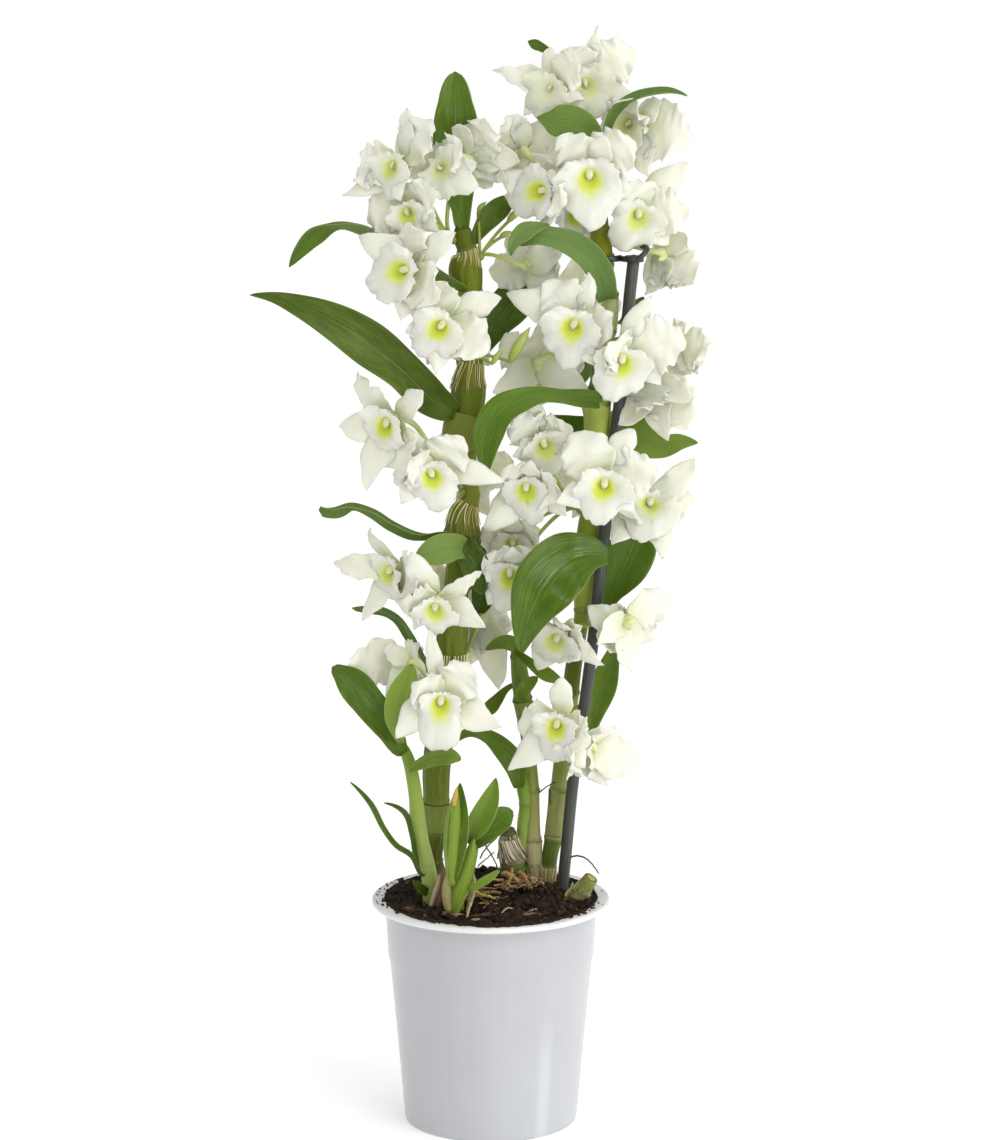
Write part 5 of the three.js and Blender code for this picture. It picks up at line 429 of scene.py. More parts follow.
# ------------------------------------------------------------------ node helpers
class Mat:
    def __init__(self, name, rough=0.5, spec=0.5):
        m = bpy.data.materials.new(name)
        m.use_nodes = True
        self.m, self.nt = m, m.node_tree
        self.p = self.nt.nodes["Principled BSDF"]
        self.p.inputs["Roughness"].default_value = rough
        self.p.inputs["Specular IOR Level"].default_value = spec

    def n(self, kind, **kw):
        node = self.nt.nodes.new("ShaderNode" + kind)
        for k, v in kw.items():
            setattr(node, k, v)
        return node

    def link(self, a, b):
        self.nt.links.new(a, b)
        return b

    def val(self, socket, x):
        if hasattr(x, "is_linked") or hasattr(x, "node"):
            self.nt.links.new(x, socket)
        else:
            socket.default_value = x

    def math(self, op, a, b=0.0, c=None, clamp=False):
        n = self.n("Math", operation=op, use_clamp=clamp)
        self.val(n.inputs[0], a); self.val(n.inputs[1], b)
        if c is not None:
            self.val(n.inputs[2], c)
        return n.outputs[0]

    def attr(self, name="lc"):
        a = self.n("Attribute", attribute_name=name)
        s = self.n("SeparateXYZ")
        self.link(a.outputs["Vector"], s.inputs[0])
        return s.outputs[0], s.outputs[1], s.outputs[2], a.outputs["Vector"]

    def obj(self):
        return self.n("TexCoord").outputs["Object"]

    def scaled(self, vec, s):
        n = self.n("VectorMath", operation="MULTIPLY")
        self.val(n.inputs[0], vec); n.inputs[1].default_value = s if hasattr(s, "__len__") else (s, s, s)
        return n.outputs[0]

    def split(self, v):
        nd = self.n("SeparateXYZ")
        self.link(v, nd.inputs[0])
        return nd.outputs[0], nd.outputs[1], nd.outputs[2]
    def combine(self, x, y, z):
        n = self.n("CombineXYZ")
        for i, v in enumerate((x, y, z)):
            self.val(n.inputs[i], v)
        return n.outputs[0]

    def noise(self, vec, scale, detail=3.0, rough=0.5, color=False):
        n = self.n("TexNoise")
        self.val(n.inputs["Vector"], vec)
        n.inputs["Scale"].default_value = scale
        n.inputs["Detail"].default_value = detail
        n.inputs["Roughness"].default_value = rough
        return n.outputs["Color" if color else "Fac"]

    def ramp(self, fac, stops, mode="LINEAR"):
        n = self.n("ValToRGB")
        n.color_ramp.interpolation = mode
        el = n.color_ramp.elements
        while len(el) < len(stops):
            el.new(0.5)
        for e, (p, c) in zip(el, stops):
            e.position = p
            e.color = (*c, 1) if hasattr(c, "__len__") else (c, c, c, 1)
        self.val(n.inputs[0], fac)
        return n.outputs[0]

    def mix(self, fac, a, b, mode="MIX"):
        n = self.n("Mix", data_type="RGBA", blend_type=mode)
        self.val(n.inputs[0], fac)
        for s, v in ((n.inputs[6], a), (n.inputs[7], b)):
            if hasattr(v, "node"):
                self.nt.links.new(v, s)
            else:
                s.default_value = (*v, 1) if len(v) == 3 else v
        return n.outputs[2]

    def smooth(self, x, lo, hi):
        n = self.n("MapRange", interpolation_type="SMOOTHSTEP")
        self.val(n.inputs[0], x)
        n.inputs[1].default_value = lo; n.inputs[2].default_value = hi
        return n.outputs[0]

    def bump(self, height, strength=0.3, dist=0.0002, prev=None):
        n = self.n("Bump")
        n.inputs["Strength"].default_value = strength
        n.inputs["Distance"].default_value = dist
        self.val(n.inputs["Height"], height)
        if prev is not None:
            self.link(prev, n.inputs["Normal"])
        return n.outputs[0]

    def out(self, color=None, rough=None, normal=None):
        if color is not None:
            self.link(color, self.p.inputs["Base Color"])
        if rough is not None:
            self.link(rough, self.p.inputs["Roughness"])
        if normal is not None:
            self.link(normal, self.p.inputs["Normal"])
        return self.m

def srgb(r, g, b):
    f = lambda c: (c / 255 / 12.92) if c <= 10 else ((c / 255 + 0.055) / 1.055) ** 2.4
    return (f(r), f(g), f(b))

# ------------------------------------------------------------------ materials
def mat_petal():
    k = Mat("petal_white", 0.6, 0.15)
    u, v, w, vec = k.attr()
    tx, ty, tz, tone = k.attr("tone")
    wav = k.math("SINE", k.math("MULTIPLY", v, 40.0))
    fade = k.smooth(u, 1.0, 0.25)
    vein = k.math("MULTIPLY", k.smooth(wav, 0.3, 1.0), fade)
    mott = k.noise(k.obj(), 220.0, 3.0)
    fine = k.noise(k.obj(), 2600.0, 2.0)
    base = k.mix(k.math("MULTIPLY", vein, 0.13), PETAL_A, PETAL_B)
    base = k.mix(k.math("MULTIPLY", k.smooth(mott, 0.45, 0.75), 0.22), base, PETAL_C)
    heart = k.smooth(u, 0.55, 0.02)
    base = k.mix(k.math("MULTIPLY", heart, 0.6), base, (0.56, 0.61, 0.34))
    mid = k.smooth(k.math("ABSOLUTE", v), 0.14, 0.0)
    base = k.mix(k.math("MULTIPLY", mid, 0.14), base, (0.64, 0.67, 0.46))
    base = k.mix(k.math("MULTIPLY", tx, 1.0), base, (0.58, 0.63, 0.36))
    h = k.math("ADD", k.math("MULTIPLY", wav, 0.5), k.math("MULTIPLY", fine, 0.8))
    k.p.inputs["Subsurface Weight"].default_value = 0.42
    k.p.inputs["Subsurface Radius"].default_value = (1.0, 0.93, 0.58)
    k.p.inputs["Subsurface Scale"].default_value = 0.0022
    return k.out(base, None, k.bump(h, 0.20, 0.0002))

def mat_lip():
    k = Mat("petal_lip", 0.62, 0.12)
    u, v, w, vec = k.attr()                 # u: throat to frilled edge, w: 1 towards the lip's point
    mott = k.noise(k.obj(), 380.0, 3.0)
    wob = k.math("ADD", u, k.math("MULTIPLY", k.math("SUBTRACT", mott, 0.5), 0.17))
    wob = k.math("MULTIPLY", k.math("SUBTRACT", wob, k.math("MULTIPLY", w, 0.07)), 1.13)
    col = k.ramp(wob, [(0.0, srgb(196, 202, 110)), (0.14, srgb(192, 204, 70)), (0.25, srgb(194, 207, 68)), (0.33, srgb(202, 212, 100)),
                       (0.41, srgb(212, 218, 146)), (0.49, (0.66, 0.68, 0.50)), (0.60, (0.70, 0.705, 0.60)), (0.75, PETAL_A), (1.0, PETAL_A)])
    tx, ty, tz, tone = k.attr("tone")       # tx: how strong the throat's colour is
    col = k.mix(k.math("SUBTRACT", 1.0, tx), col, (0.66, 0.68, 0.50))
    col = k.mix(k.math("MULTIPLY", k.smooth(mott, 0.45, 0.75), k.math("MULTIPLY", k.smooth(u, 0.5, 0.8), 0.3)), col, PETAL_C)
    wav = k.math("SINE", k.math("MULTIPLY", v, 190.0))
    spots = k.noise(k.obj(), 900.0, 2.0)
    brown = k.math("MULTIPLY", k.smooth(u, 0.16, 0.02), k.smooth(spots, 0.50, 0.66))
    col = k.mix(k.math("MULTIPLY", brown, 0.45), col, srgb(130, 110, 66))
    h = k.math("ADD", k.math("MULTIPLY", wav, 0.4), spots)
    k.p.inputs["Subsurface Weight"].default_value = 0.42
    k.p.inputs["Subsurface Radius"].default_value = (1.0, 0.93, 0.58)
    k.p.inputs["Subsurface Scale"].default_value = 0.0022
    return k.out(col, None, k.bump(h, 0.3, 0.0002))

def mat_pedicel():
    k = Mat("pedicel_green", 0.45, 0.35)
    u, v, w, vec = k.attr()
    mott = k.noise(k.obj(), 300.0, 3.0)
    col = k.ramp(u, [(0.0, srgb(118, 132, 48)), (0.35, srgb(164, 178, 84)), (0.75, srgb(200, 208, 136)), (1.0, srgb(218, 222, 168))])
    col = k.mix(k.math("MULTIPLY", mott, 0.3), col, srgb(190, 198, 120))
    k.p.inputs["Subsurface Weight"].default_value = 0.15
    k.p.inputs["Subsurface Radius"].default_value = (1.0, 1.0, 0.5)
    k.p.inputs["Subsurface Scale"].default_value = 0.001
    st = k.math("SINE", k.math("MULTIPLY", v, 75.0))
    return k.out(col, None, k.bump(k.math("ADD", st, mott), 0.2, 0.0002))

def mat_column():
    k = Mat("column_white", 0.55, 0.2)
    u, v, w, vec = k.attr()
    mott = k.noise(k.obj(), 700.0, 2.0)
    col = k.ramp(u, [(0.0, srgb(190, 200, 104)), (0.45, srgb(208, 212, 150)), (0.75, srgb(216, 214, 180)), (1.0, srgb(196, 194, 136))])
    col = k.mix(k.math("MULTIPLY", k.smooth(mott, 0.46, 0.66), 0.35), col, srgb(196, 190, 140))
    col = k.mix(v, col, srgb(222, 216, 196))
    col = k.mix(w, col, srgb(140, 116, 70))
    return k.out(col, None, k.bump(mott, 0.2, 0.0002))

def mat_leaf():
    k = Mat("leaf_green", 0.30, 0.26)
    u, v, w, vec = k.attr()
    tx, ty, tz, tone = k.attr("tone")       # tx: dark to light, ty: yellow, tz: how dull
    av = k.math("ABSOLUTE", v)
    wob = k.noise(k.obj(), 60.0, 2.0)
    vv = k.math("ADD", v, k.math("MULTIPLY", k.math("SUBTRACT", wob, 0.5), 0.02))
    veins = k.math("SINE", k.math("MULTIPLY", vv, 70.0))
    fineveins = k.math("SINE", k.math("MULTIPLY", vv, 191.0))
    patch = k.noise(k.combine(k.math("MULTIPLY", v, 1.2), k.math("MULTIPLY", u, 3.0), w), 3.0, 4.0, 0.6)
    streak = k.noise(k.combine(k.math("MULTIPLY", v, 14.0), k.math("MULTIPLY", u, 2.0), w), 3.0, 3.0, 0.6)
    speck = k.noise(k.obj(), 900.0, 3.0)
    base = k.mix(k.smooth(tx, 0.0, 0.55), LEAF_DARK, LEAF_MID)
    base = k.mix(k.smooth(tx, 0.45, 1.0), base, LEAF_LIGHT)
    base = k.mix(k.math("MULTIPLY", k.smooth(patch, 0.35, 0.75), 0.5), base, k.mix(0.5, base, srgb(118, 146, 44)))
    base = k.mix(k.math("MULTIPLY", k.smooth(streak, 0.5, 0.8), 0.25), base, k.mix(0.5, base, srgb(30, 56, 6)))
    base = k.mix(k.math("MULTIPLY", ty, 0.8), base, srgb(170, 178, 60))
    base = k.mix(k.math("MULTIPLY", k.smooth(veins, 0.6, 1.0), 0.12), base, srgb(128, 158, 70))
    base = k.mix(k.math("MULTIPLY", k.smooth(tz, 0.45, 1.0), 0.42), base, srgb(116, 138, 94))
    rib = k.smooth(av, 0.045, 0.0)
    base = k.mix(k.math("MULTIPLY", rib, 0.20), base, srgb(136, 164, 76))
    # painted shade: the crease either side of the midrib is darkened
    painted_groove_shade = k.math("MULTIPLY", k.smooth(av, 0.13, 0.05), k.smooth(av, 0.015, 0.045))
    base = k.mix(k.math("MULTIPLY", painted_groove_shade, 0.22), base, srgb(30, 52, 8))
    # painted highlight: a pale thin line along the blade's rim
    edge = k.smooth(av, 0.965, 0.998)
    base = k.mix(k.math("MULTIPLY", edge, 0.55), base, srgb(168, 182, 112))
    tip = k.smooth(u, 0.97, 1.0)
    base = k.mix(k.math("MULTIPLY", tip, 0.45), base, srgb(120, 106, 48))
    base = k.mix(k.math("MULTIPLY", k.smooth(speck, 0.68, 0.80), 0.25), base, srgb(140, 152, 78))
    hgt = k.math("ADD", k.math("ADD", k.math("MULTIPLY", veins, 0.5), k.math("MULTIPLY", fineveins, 0.2)), k.math("MULTIPLY", rib, -1.6))
    rough = k.math("ADD", k.math("MULTIPLY", speck, 0.12), k.math("ADD", 0.22, k.math("MULTIPLY", tz, 0.35)))
    gloss = k.math("ADD", 0.10, k.math("MULTIPLY", k.smooth(streak, 0.46, 0.70), k.math("MULTIPLY", k.math("SUBTRACT", 1.0, tz), 0.55)))
    k.link(gloss, k.p.inputs["Specular IOR Level"])
    nb = k.bump(hgt, 0.30, 0.0002)
    nb = k.bump(k.math("MULTIPLY", speck, 1.0), 0.10, 0.00015, nb)
    k.p.inputs["Subsurface Weight"].default_value = 0.06
    k.p.inputs["Subsurface Radius"].default_value = (0.4, 1.0, 0.1)
    k.p.inputs["Subsurface Scale"].default_value = 0.0008
    return k.out(base, rough, nb)

def mat_cane(name="cane_skin", rough=0.38):
    k = Mat(name, rough, 0.14)
    u, v, w, vec = k.attr()                 # u: mm along the cane / 100, v: round it, w: how dry
    tx, ty, tz, tone = k.attr("tone")       # the stem's own colour
    ang = k.math("MULTIPLY", v, 6.2832)
    sv = k.combine(k.math("MULTIPLY", k.math("SINE", ang), 3.0), k.math("MULTIPLY", k.math("COSINE", ang), 3.0), k.math("MULTIPLY", u, 1.6))
    streak = k.noise(sv, 3.2, 5.0, 0.65)
    streak2 = k.noise(sv, 9.0, 3.0, 0.6)
    blot = k.noise(k.obj(), 90.0, 4.0, 0.6)
    speck = k.noise(k.obj(), 1200.0, 2.0)
    base = k.mix(k.math("MULTIPLY", k.smooth(streak, 0.40, 0.72), 0.60), tone, k.mix(0.45, tone, srgb(168, 178, 60)))
    base = k.mix(k.math("MULTIPLY", k.smooth(streak2, 0.5, 0.8), 0.40), base, k.mix(0.6, tone, srgb(52, 66, 8)))
    base = k.mix(k.math("MULTIPLY", k.smooth(blot, 0.55, 0.82), 0.35), base, k.mix(0.5, tone, srgb(112, 100, 20)))
    papery = k.mix(k.smooth(streak2, 0.35, 0.7), srgb(190, 178, 128), srgb(140, 126, 80))
    base = k.mix(w, base, papery)
    base = k.mix(k.math("MULTIPLY", k.smooth(speck, 0.64, 0.77), 0.3), base, k.mix(0.6, tone, srgb(60, 48, 20)))
    ridge = k.noise(sv, 16.0, 2.0, 0.5)
    rr = k.math("ADD", rough, k.math("MULTIPLY", w, 0.35))
    rr = k.math("ADD", rr, k.math("MULTIPLY", k.math("SUBTRACT", streak, 0.5), 0.2))
    nb = k.bump(k.math("ADD", ridge, k.math("MULTIPLY", streak2, 1.2)), 0.4, 0.0005)
    nb = k.bump(speck, 0.18, 0.0002, nb)
    return k.out(base, rr, nb)

def mat_dry():
    k = Mat("dry_paper_sheath", 0.8, 0.15)
    u, v, w, vec = k.attr()
    tx, ty, tz, tone = k.attr("tone")
    sv = k.combine(k.math("MULTIPLY", v, 9.0), k.math("MULTIPLY", u, 1.2), w)
    fib = k.noise(sv, 6.0, 5.0, 0.7)
    fib2 = k.noise(sv, 22.0, 3.0, 0.6)
    blot = k.noise(k.obj(), 160.0, 4.0)
    base = k.mix(k.smooth(fib, 0.35, 0.7), k.mix(0.5, tone, srgb(78, 60, 38)), tone)
    base = k.mix(k.math("MULTIPLY", k.smooth(fib2, 0.45, 0.75), 0.4), base, k.mix(0.5, tone, srgb(216, 206, 172)))
    base = k.mix(k.math("MULTIPLY", k.smooth(blot, 0.55, 0.8), 0.3), base, srgb(104, 84, 54))
    return k.out(base, None, k.bump(k.math("ADD", fib, fib2), 0.5, 0.0005))

def mat_straw():
    k = Mat("straw_strand", 0.7, 0.2)
    tx, ty, tz, tone = k.attr("tone")
    a = k.noise(k.obj(), 900.0, 3.0)
    base = k.mix(k.math("MULTIPLY", k.smooth(a, 0.45, 0.75), 0.35), tone, k.mix(0.7, tone, srgb(150, 136, 80)))
    return k.out(base, None, k.bump(a, 0.3, 0.0002))

def mat_pot():
    k = Mat("pot_glossy", 0.2, 0.45)
    u, v, w, vec = k.attr()                 # u: height 0 to 1, w: 1 on the rim
    big = k.noise(k.obj(), 14.0, 3.0)
    grain = k.noise(k.obj(), 1500.0, 2.0)
    dirt = k.noise(k.obj(), 420.0, 6.0, 0.75)
    dirt2 = k.noise(k.obj(), 60.0, 3.0, 0.6)
    base = k.mix(k.smooth(big, 0.3, 0.7), POT_A, POT_B)
    # faint upright lighter streaks, partly from the moulding and partly a painted sheen standing in for the wall's
    # reflections
    px, py, pz = k.split(k.obj())
    ang = k.math("ARCTAN2", py, px)
    flow_and_sheen = k.noise(k.combine(k.math("MULTIPLY", ang, 3.0), 0.7, k.math("MULTIPLY", pz, 1.5)), 3.0, 4.0, 0.65)
    base = k.mix(k.math("MULTIPLY", k.smooth(flow_and_sheen, 0.42, 0.72), 0.07), base, srgb(206, 209, 213))
    # painted highlight: a lighter upright band on the front-right of the wall, strongest low down, standing in for a
    # reflection of the strip light
    painted_highlight = k.math("MULTIPLY", k.smooth(k.math("ABSOLUTE", k.math("ADD", ang, 0.955)), 0.13, 0.02), k.smooth(u, 0.62, 0.30))
    base = k.mix(k.math("MULTIPLY", painted_highlight, 0.34), base, srgb(214, 218, 223))
    base = k.mix(w, base, POT_RIM)
    spots = k.math("MULTIPLY", k.math("MULTIPLY", k.smooth(dirt, 0.60, 0.68), k.smooth(dirt2, 0.42, 0.62)), w)
    base = k.mix(k.math("MULTIPLY", spots, 0.85), base, srgb(112, 96, 78))
    rough = k.math("ADD", 0.16, k.math("ADD", k.math("MULTIPLY", big, 0.08), k.math("MULTIPLY", grain, 0.04)))
    nb = k.bump(big, 0.10, 0.0008)
    nb = k.bump(grain, 0.03, 0.0001, nb)
    return k.out(base, rough, nb)

def mat_inner():
    k = Mat("pot_inside", 0.45, 0.4)
    big = k.noise(k.obj(), 60.0, 4.0)
    dirt = k.noise(k.obj(), 420.0, 6.0, 0.75)
    base = k.mix(k.smooth(big, 0.4, 0.75), srgb(200, 200, 198), srgb(176, 170, 160))
    base = k.mix(k.math("MULTIPLY", k.smooth(dirt, 0.56, 0.66), 0.8), base, srgb(96, 78, 62))
    return k.out(base, None, k.bump(big, 0.2, 0.0005))

def mat_mix():
    k = Mat("bark_mix", 0.92, 0.15)
    tx, ty, tz, tone = k.attr("tone")
    a = k.noise(k.obj(), 420.0, 6.0, 0.7)
    b = k.noise(k.obj(), 1500.0, 3.0, 0.6)
    base = k.mix(k.smooth(a, 0.35, 0.7), k.mix(0.6, tone, srgb(26, 19, 15)), tone)
    base = k.mix(k.math("MULTIPLY", k.smooth(b, 0.60, 0.75), 0.4), base, k.mix(0.6, tone, srgb(136, 112, 92)))
    rough = k.math("ADD", 0.75, k.math("MULTIPLY", a, 0.25))
    nb = k.bump(k.math("ADD", a, k.math("MULTIPLY", b, 0.5)), 0.9, 0.0012)
    return k.out(base, rough, nb)

def mat_root():
    k = Mat("root_skin", 0.75, 0.2)
    u, v, w, vec = k.attr()
    tx, ty, tz, tone = k.attr("tone")
    a = k.noise(k.obj(), 500.0, 5.0, 0.65)
    base = k.mix(k.smooth(a, 0.35, 0.7), k.mix(0.5, tone, srgb(80, 58, 34)), tone)
    return k.out(base, None, k.bump(a, 0.5, 0.0005))

def mat_stake():
    k = Mat("stake_dark", 0.42, 0.4)
    u, v, w, vec = k.attr()
    ang = k.math("MULTIPLY", v, 6.2832)
    sv = k.combine(k.math("MULTIPLY", k.math("SINE", ang), 2.0), k.math("MULTIPLY", k.math("COSINE", ang), 2.0), k.math("MULTIPLY", u, 3.0))
    s1 = k.noise(sv, 4.0, 5.0, 0.7)
    s2 = k.noise(sv, 14.0, 3.0, 0.6)
    base = k.mix(k.smooth(s1, 0.35, 0.7), srgb(46, 50, 46), srgb(86, 88, 84))
    base = k.mix(k.math("MULTIPLY", k.smooth(s2, 0.55, 0.75), 0.4), base, srgb(124, 116, 100))
    return k.out(base, None, k.bump(k.math("ADD", s1, s2), 0.35, 0.0004))

def mat_clip():
    k = Mat("clip_dark", 0.38, 0.45)
    a = k.noise(k.obj(), 700.0, 3.0)
    base = k.mix(a, srgb(26, 30, 28), srgb(58, 60, 56))
    return k.out(base, None, k.bump(a, 0.15, 0.0002))

PETAL_A = (0.752, 0.746, 0.638)
PETAL_B = (0.64, 0.65, 0.475)
PETAL_C = (0.815, 0.806, 0.722)
LEAF_DARK = (0.033, 0.062, 0.003)
LEAF_MID = (0.068, 0.138, 0.006)
LEAF_LIGHT = (0.185, 0.285, 0.045)
POT_A = srgb(179, 180, 183)
POT_B = srgb(183, 185, 188)
POT_RIM = srgb(224, 224, 222)
M = dict(petal=mat_petal(), lip=mat_lip(), pedicel=mat_pedicel(), column=mat_column(), leaf=mat_leaf(), cane=mat_cane(),
         dry=mat_dry(), pot=mat_pot(), inner=mat_inner(), mix=mat_mix(), root=mat_root(), stake=mat_stake(), clip=mat_clip(), straw=mat_straw())


# ------------------------------------------------------------------ pot
def make_pot():
    g = Geo()
    h = 115.0
    outer = [(0, 0.0), (42.0, 0.0), (42.9, 0.12), (43.45, 0.55), (43.62, 1.3), (44.4, 9.0), (47.4, 44.0), (51.0, 82.2), (51.22, 83.6), (51.62, 84.8), (51.95, 86.0), (52.6, 98),
             (53.15, 109.2), (53.35, 110.6), (53.9, 111.35), (55.0, 111.75), (58.6, 112.0), (59.5, 112.25), (59.95, 112.95), (60.0, 113.6), (59.8, 114.3), (59.2, 114.85), (58.2, 115.0),
             (54.6, 115.0), (53.6, 114.8), (52.7, 114.1), (51.95, 112.6), (51.75, 110.0), (51.2, 98.0), (50.45, 86.0), (50.1, 84.8), (49.7, 83.6), (42.2, 3.0), (41.8, 2.2), (41.0, 1.85), (0, 1.8)]
    pts = []
    for (r0, z0), (r1, z1) in zip(outer, outer[1:]):
        L = math.hypot(r1 - r0, z1 - z0)
        k = max(1, int(L / 9))
        for i in range(k):
            t = i / k
            pts.append((r0 + (r1 - r0) * t, z0 + (z1 - z0) * t))
    pts.append(outer[-1])
    pts = np.array(pts)
    n, sides = len(pts), 144
    th = np.linspace(0, 2 * math.pi, sides, endpoint=False)
    R = pts[1:-1, 0][:, None] * np.ones(sides)
    Z = pts[1:-1, 1][:, None] * np.ones(sides)
    # two faint upright creases and a slightly uneven wall under the rim
    for a0 in (math.radians(184), math.radians(-4), math.radians(80)):
        d = np.abs((th - a0 + math.pi) % (2 * math.pi) - math.pi)
        band = np.clip((Z - 84) / 6, 0, 1) * np.clip((111 - Z) / 4, 0, 1)
        wall = (R > 49) & (R < 54)
        R = R - wall * band * 0.35 * np.exp(-(d / 0.03) ** 2)
    R = R * (1 + 0.0012 * np.sin(3 * th + 0.6)[None] * np.clip(Z / 80, 0, 1))
    ring = np.stack([R * np.cos(th), R * np.sin(th), Z], -1)
    m = n - 2
    idx = np.arange(m * sides).reshape(m, sides)
    w = np.concatenate([idx, idx[:, :1]], 1)
    quads = np.stack([w[:-1, :-1].ravel(), w[:-1, 1:].ravel(), w[1:, 1:].ravel(), w[1:, :-1].ravel()], 1)
    top_i = int(np.argmax(pts[1:-1, 1] >= 114.99))
    inner = np.zeros(m - 1, bool)
    inner[np.arange(m - 1) > top_i + 4] = True
    k = m * sides
    rimw = np.clip((Z - 110.8) / 1.0, 0, 1)
    at = np.stack([Z / h, np.broadcast_to(th / 6.2832, Z.shape), rimw], -1).reshape(-1, 3)
    at = np.concatenate([at, [[0, 0, 0], [0, 0, 0]]])
    verts = np.concatenate([ring.reshape(-1, 3), [[0, 0, 0], [0, 0, 1.8]]])
    tris0 = [[k, w[0, j + 1], w[0, j]] for j in range(sides)]
    tris1 = [[k + 1, w[-1, j], w[-1, j + 1]] for j in range(sides)]
    mats_q = np.repeat(inner, sides)
    base = g.n
    g.add(verts, quads[~mats_q], tris0, 0, at)
    q2 = quads[mats_q]
    g.q.append(q2 + base); g.qm.append(np.full(len(q2), 1))
    t2 = np.array(tris1)
    g.t.append(t2 + base); g.tm.append(np.full(len(t2), 1))
    o = g.build("pot_body", [M["pot"], M["inner"]], "pot")
    return o
make_pot()

# ------------------------------------------------------------------ potting mix
def chunk(geo, c, size, rng, tone):
    """A rough lump of bark: a small cube pushed out of true and rounded."""
    n = 3
    lin = np.linspace(-1, 1, n)
    pts = np.array([(x, y, z) for x in lin for y in lin for z in lin if max(abs(x), abs(y), abs(z)) == 1])
    key = {tuple(p): i for i, p in enumerate(pts)}
    quads = []
    for ax in range(3):
        for s in (-1.0, 1.0):
            for i in range(n - 1):
                for j in range(n - 1):
                    cs = []
                    for di, dj in ((0, 0), (1, 0), (1, 1), (0, 1)):
                        p = [0, 0, 0]
                        p[ax] = s; p[(ax + 1) % 3] = lin[i + di]; p[(ax + 2) % 3] = lin[j + dj]
                        cs.append(key[tuple(p)])
                    quads.append(cs if s > 0 else cs[::-1])
    p = pts / np.linalg.norm(pts, axis=1, keepdims=True) ** 0.6
    p = p * (1 + rng.uniform(-0.34, 0.30, (len(p), 1)))
    q = rng.normal(size=4); q /= np.linalg.norm(q)
    a, b, cc, d = q
    Rm = np.array([[1 - 2 * (cc * cc + d * d), 2 * (b * cc - a * d), 2 * (b * d + a * cc)],
                   [2 * (b * cc + a * d), 1 - 2 * (b * b + d * d), 2 * (cc * d - a * b)],
                   [2 * (b * d - a * cc), 2 * (cc * d + a * b), 1 - 2 * (b * b + cc * cc)]])
    p = (p * size) @ Rm.T + c
    geo.add(p, quads, mat=0, col=tone)

def mix_height(x, y):
    r = np.hypot(x, y)
    z = prof([0, 20, 40, 50, 53], [115.0, 114.8, 114.4, 114.2, 113.9], r)
    z = z + 0.9 * np.sin(x * 0.21 + 1.2) * np.sin(y * 0.17 + 0.5) + 0.6 * np.sin(x * 0.43) * np.sin(y * 0.39 + 2)
    return z

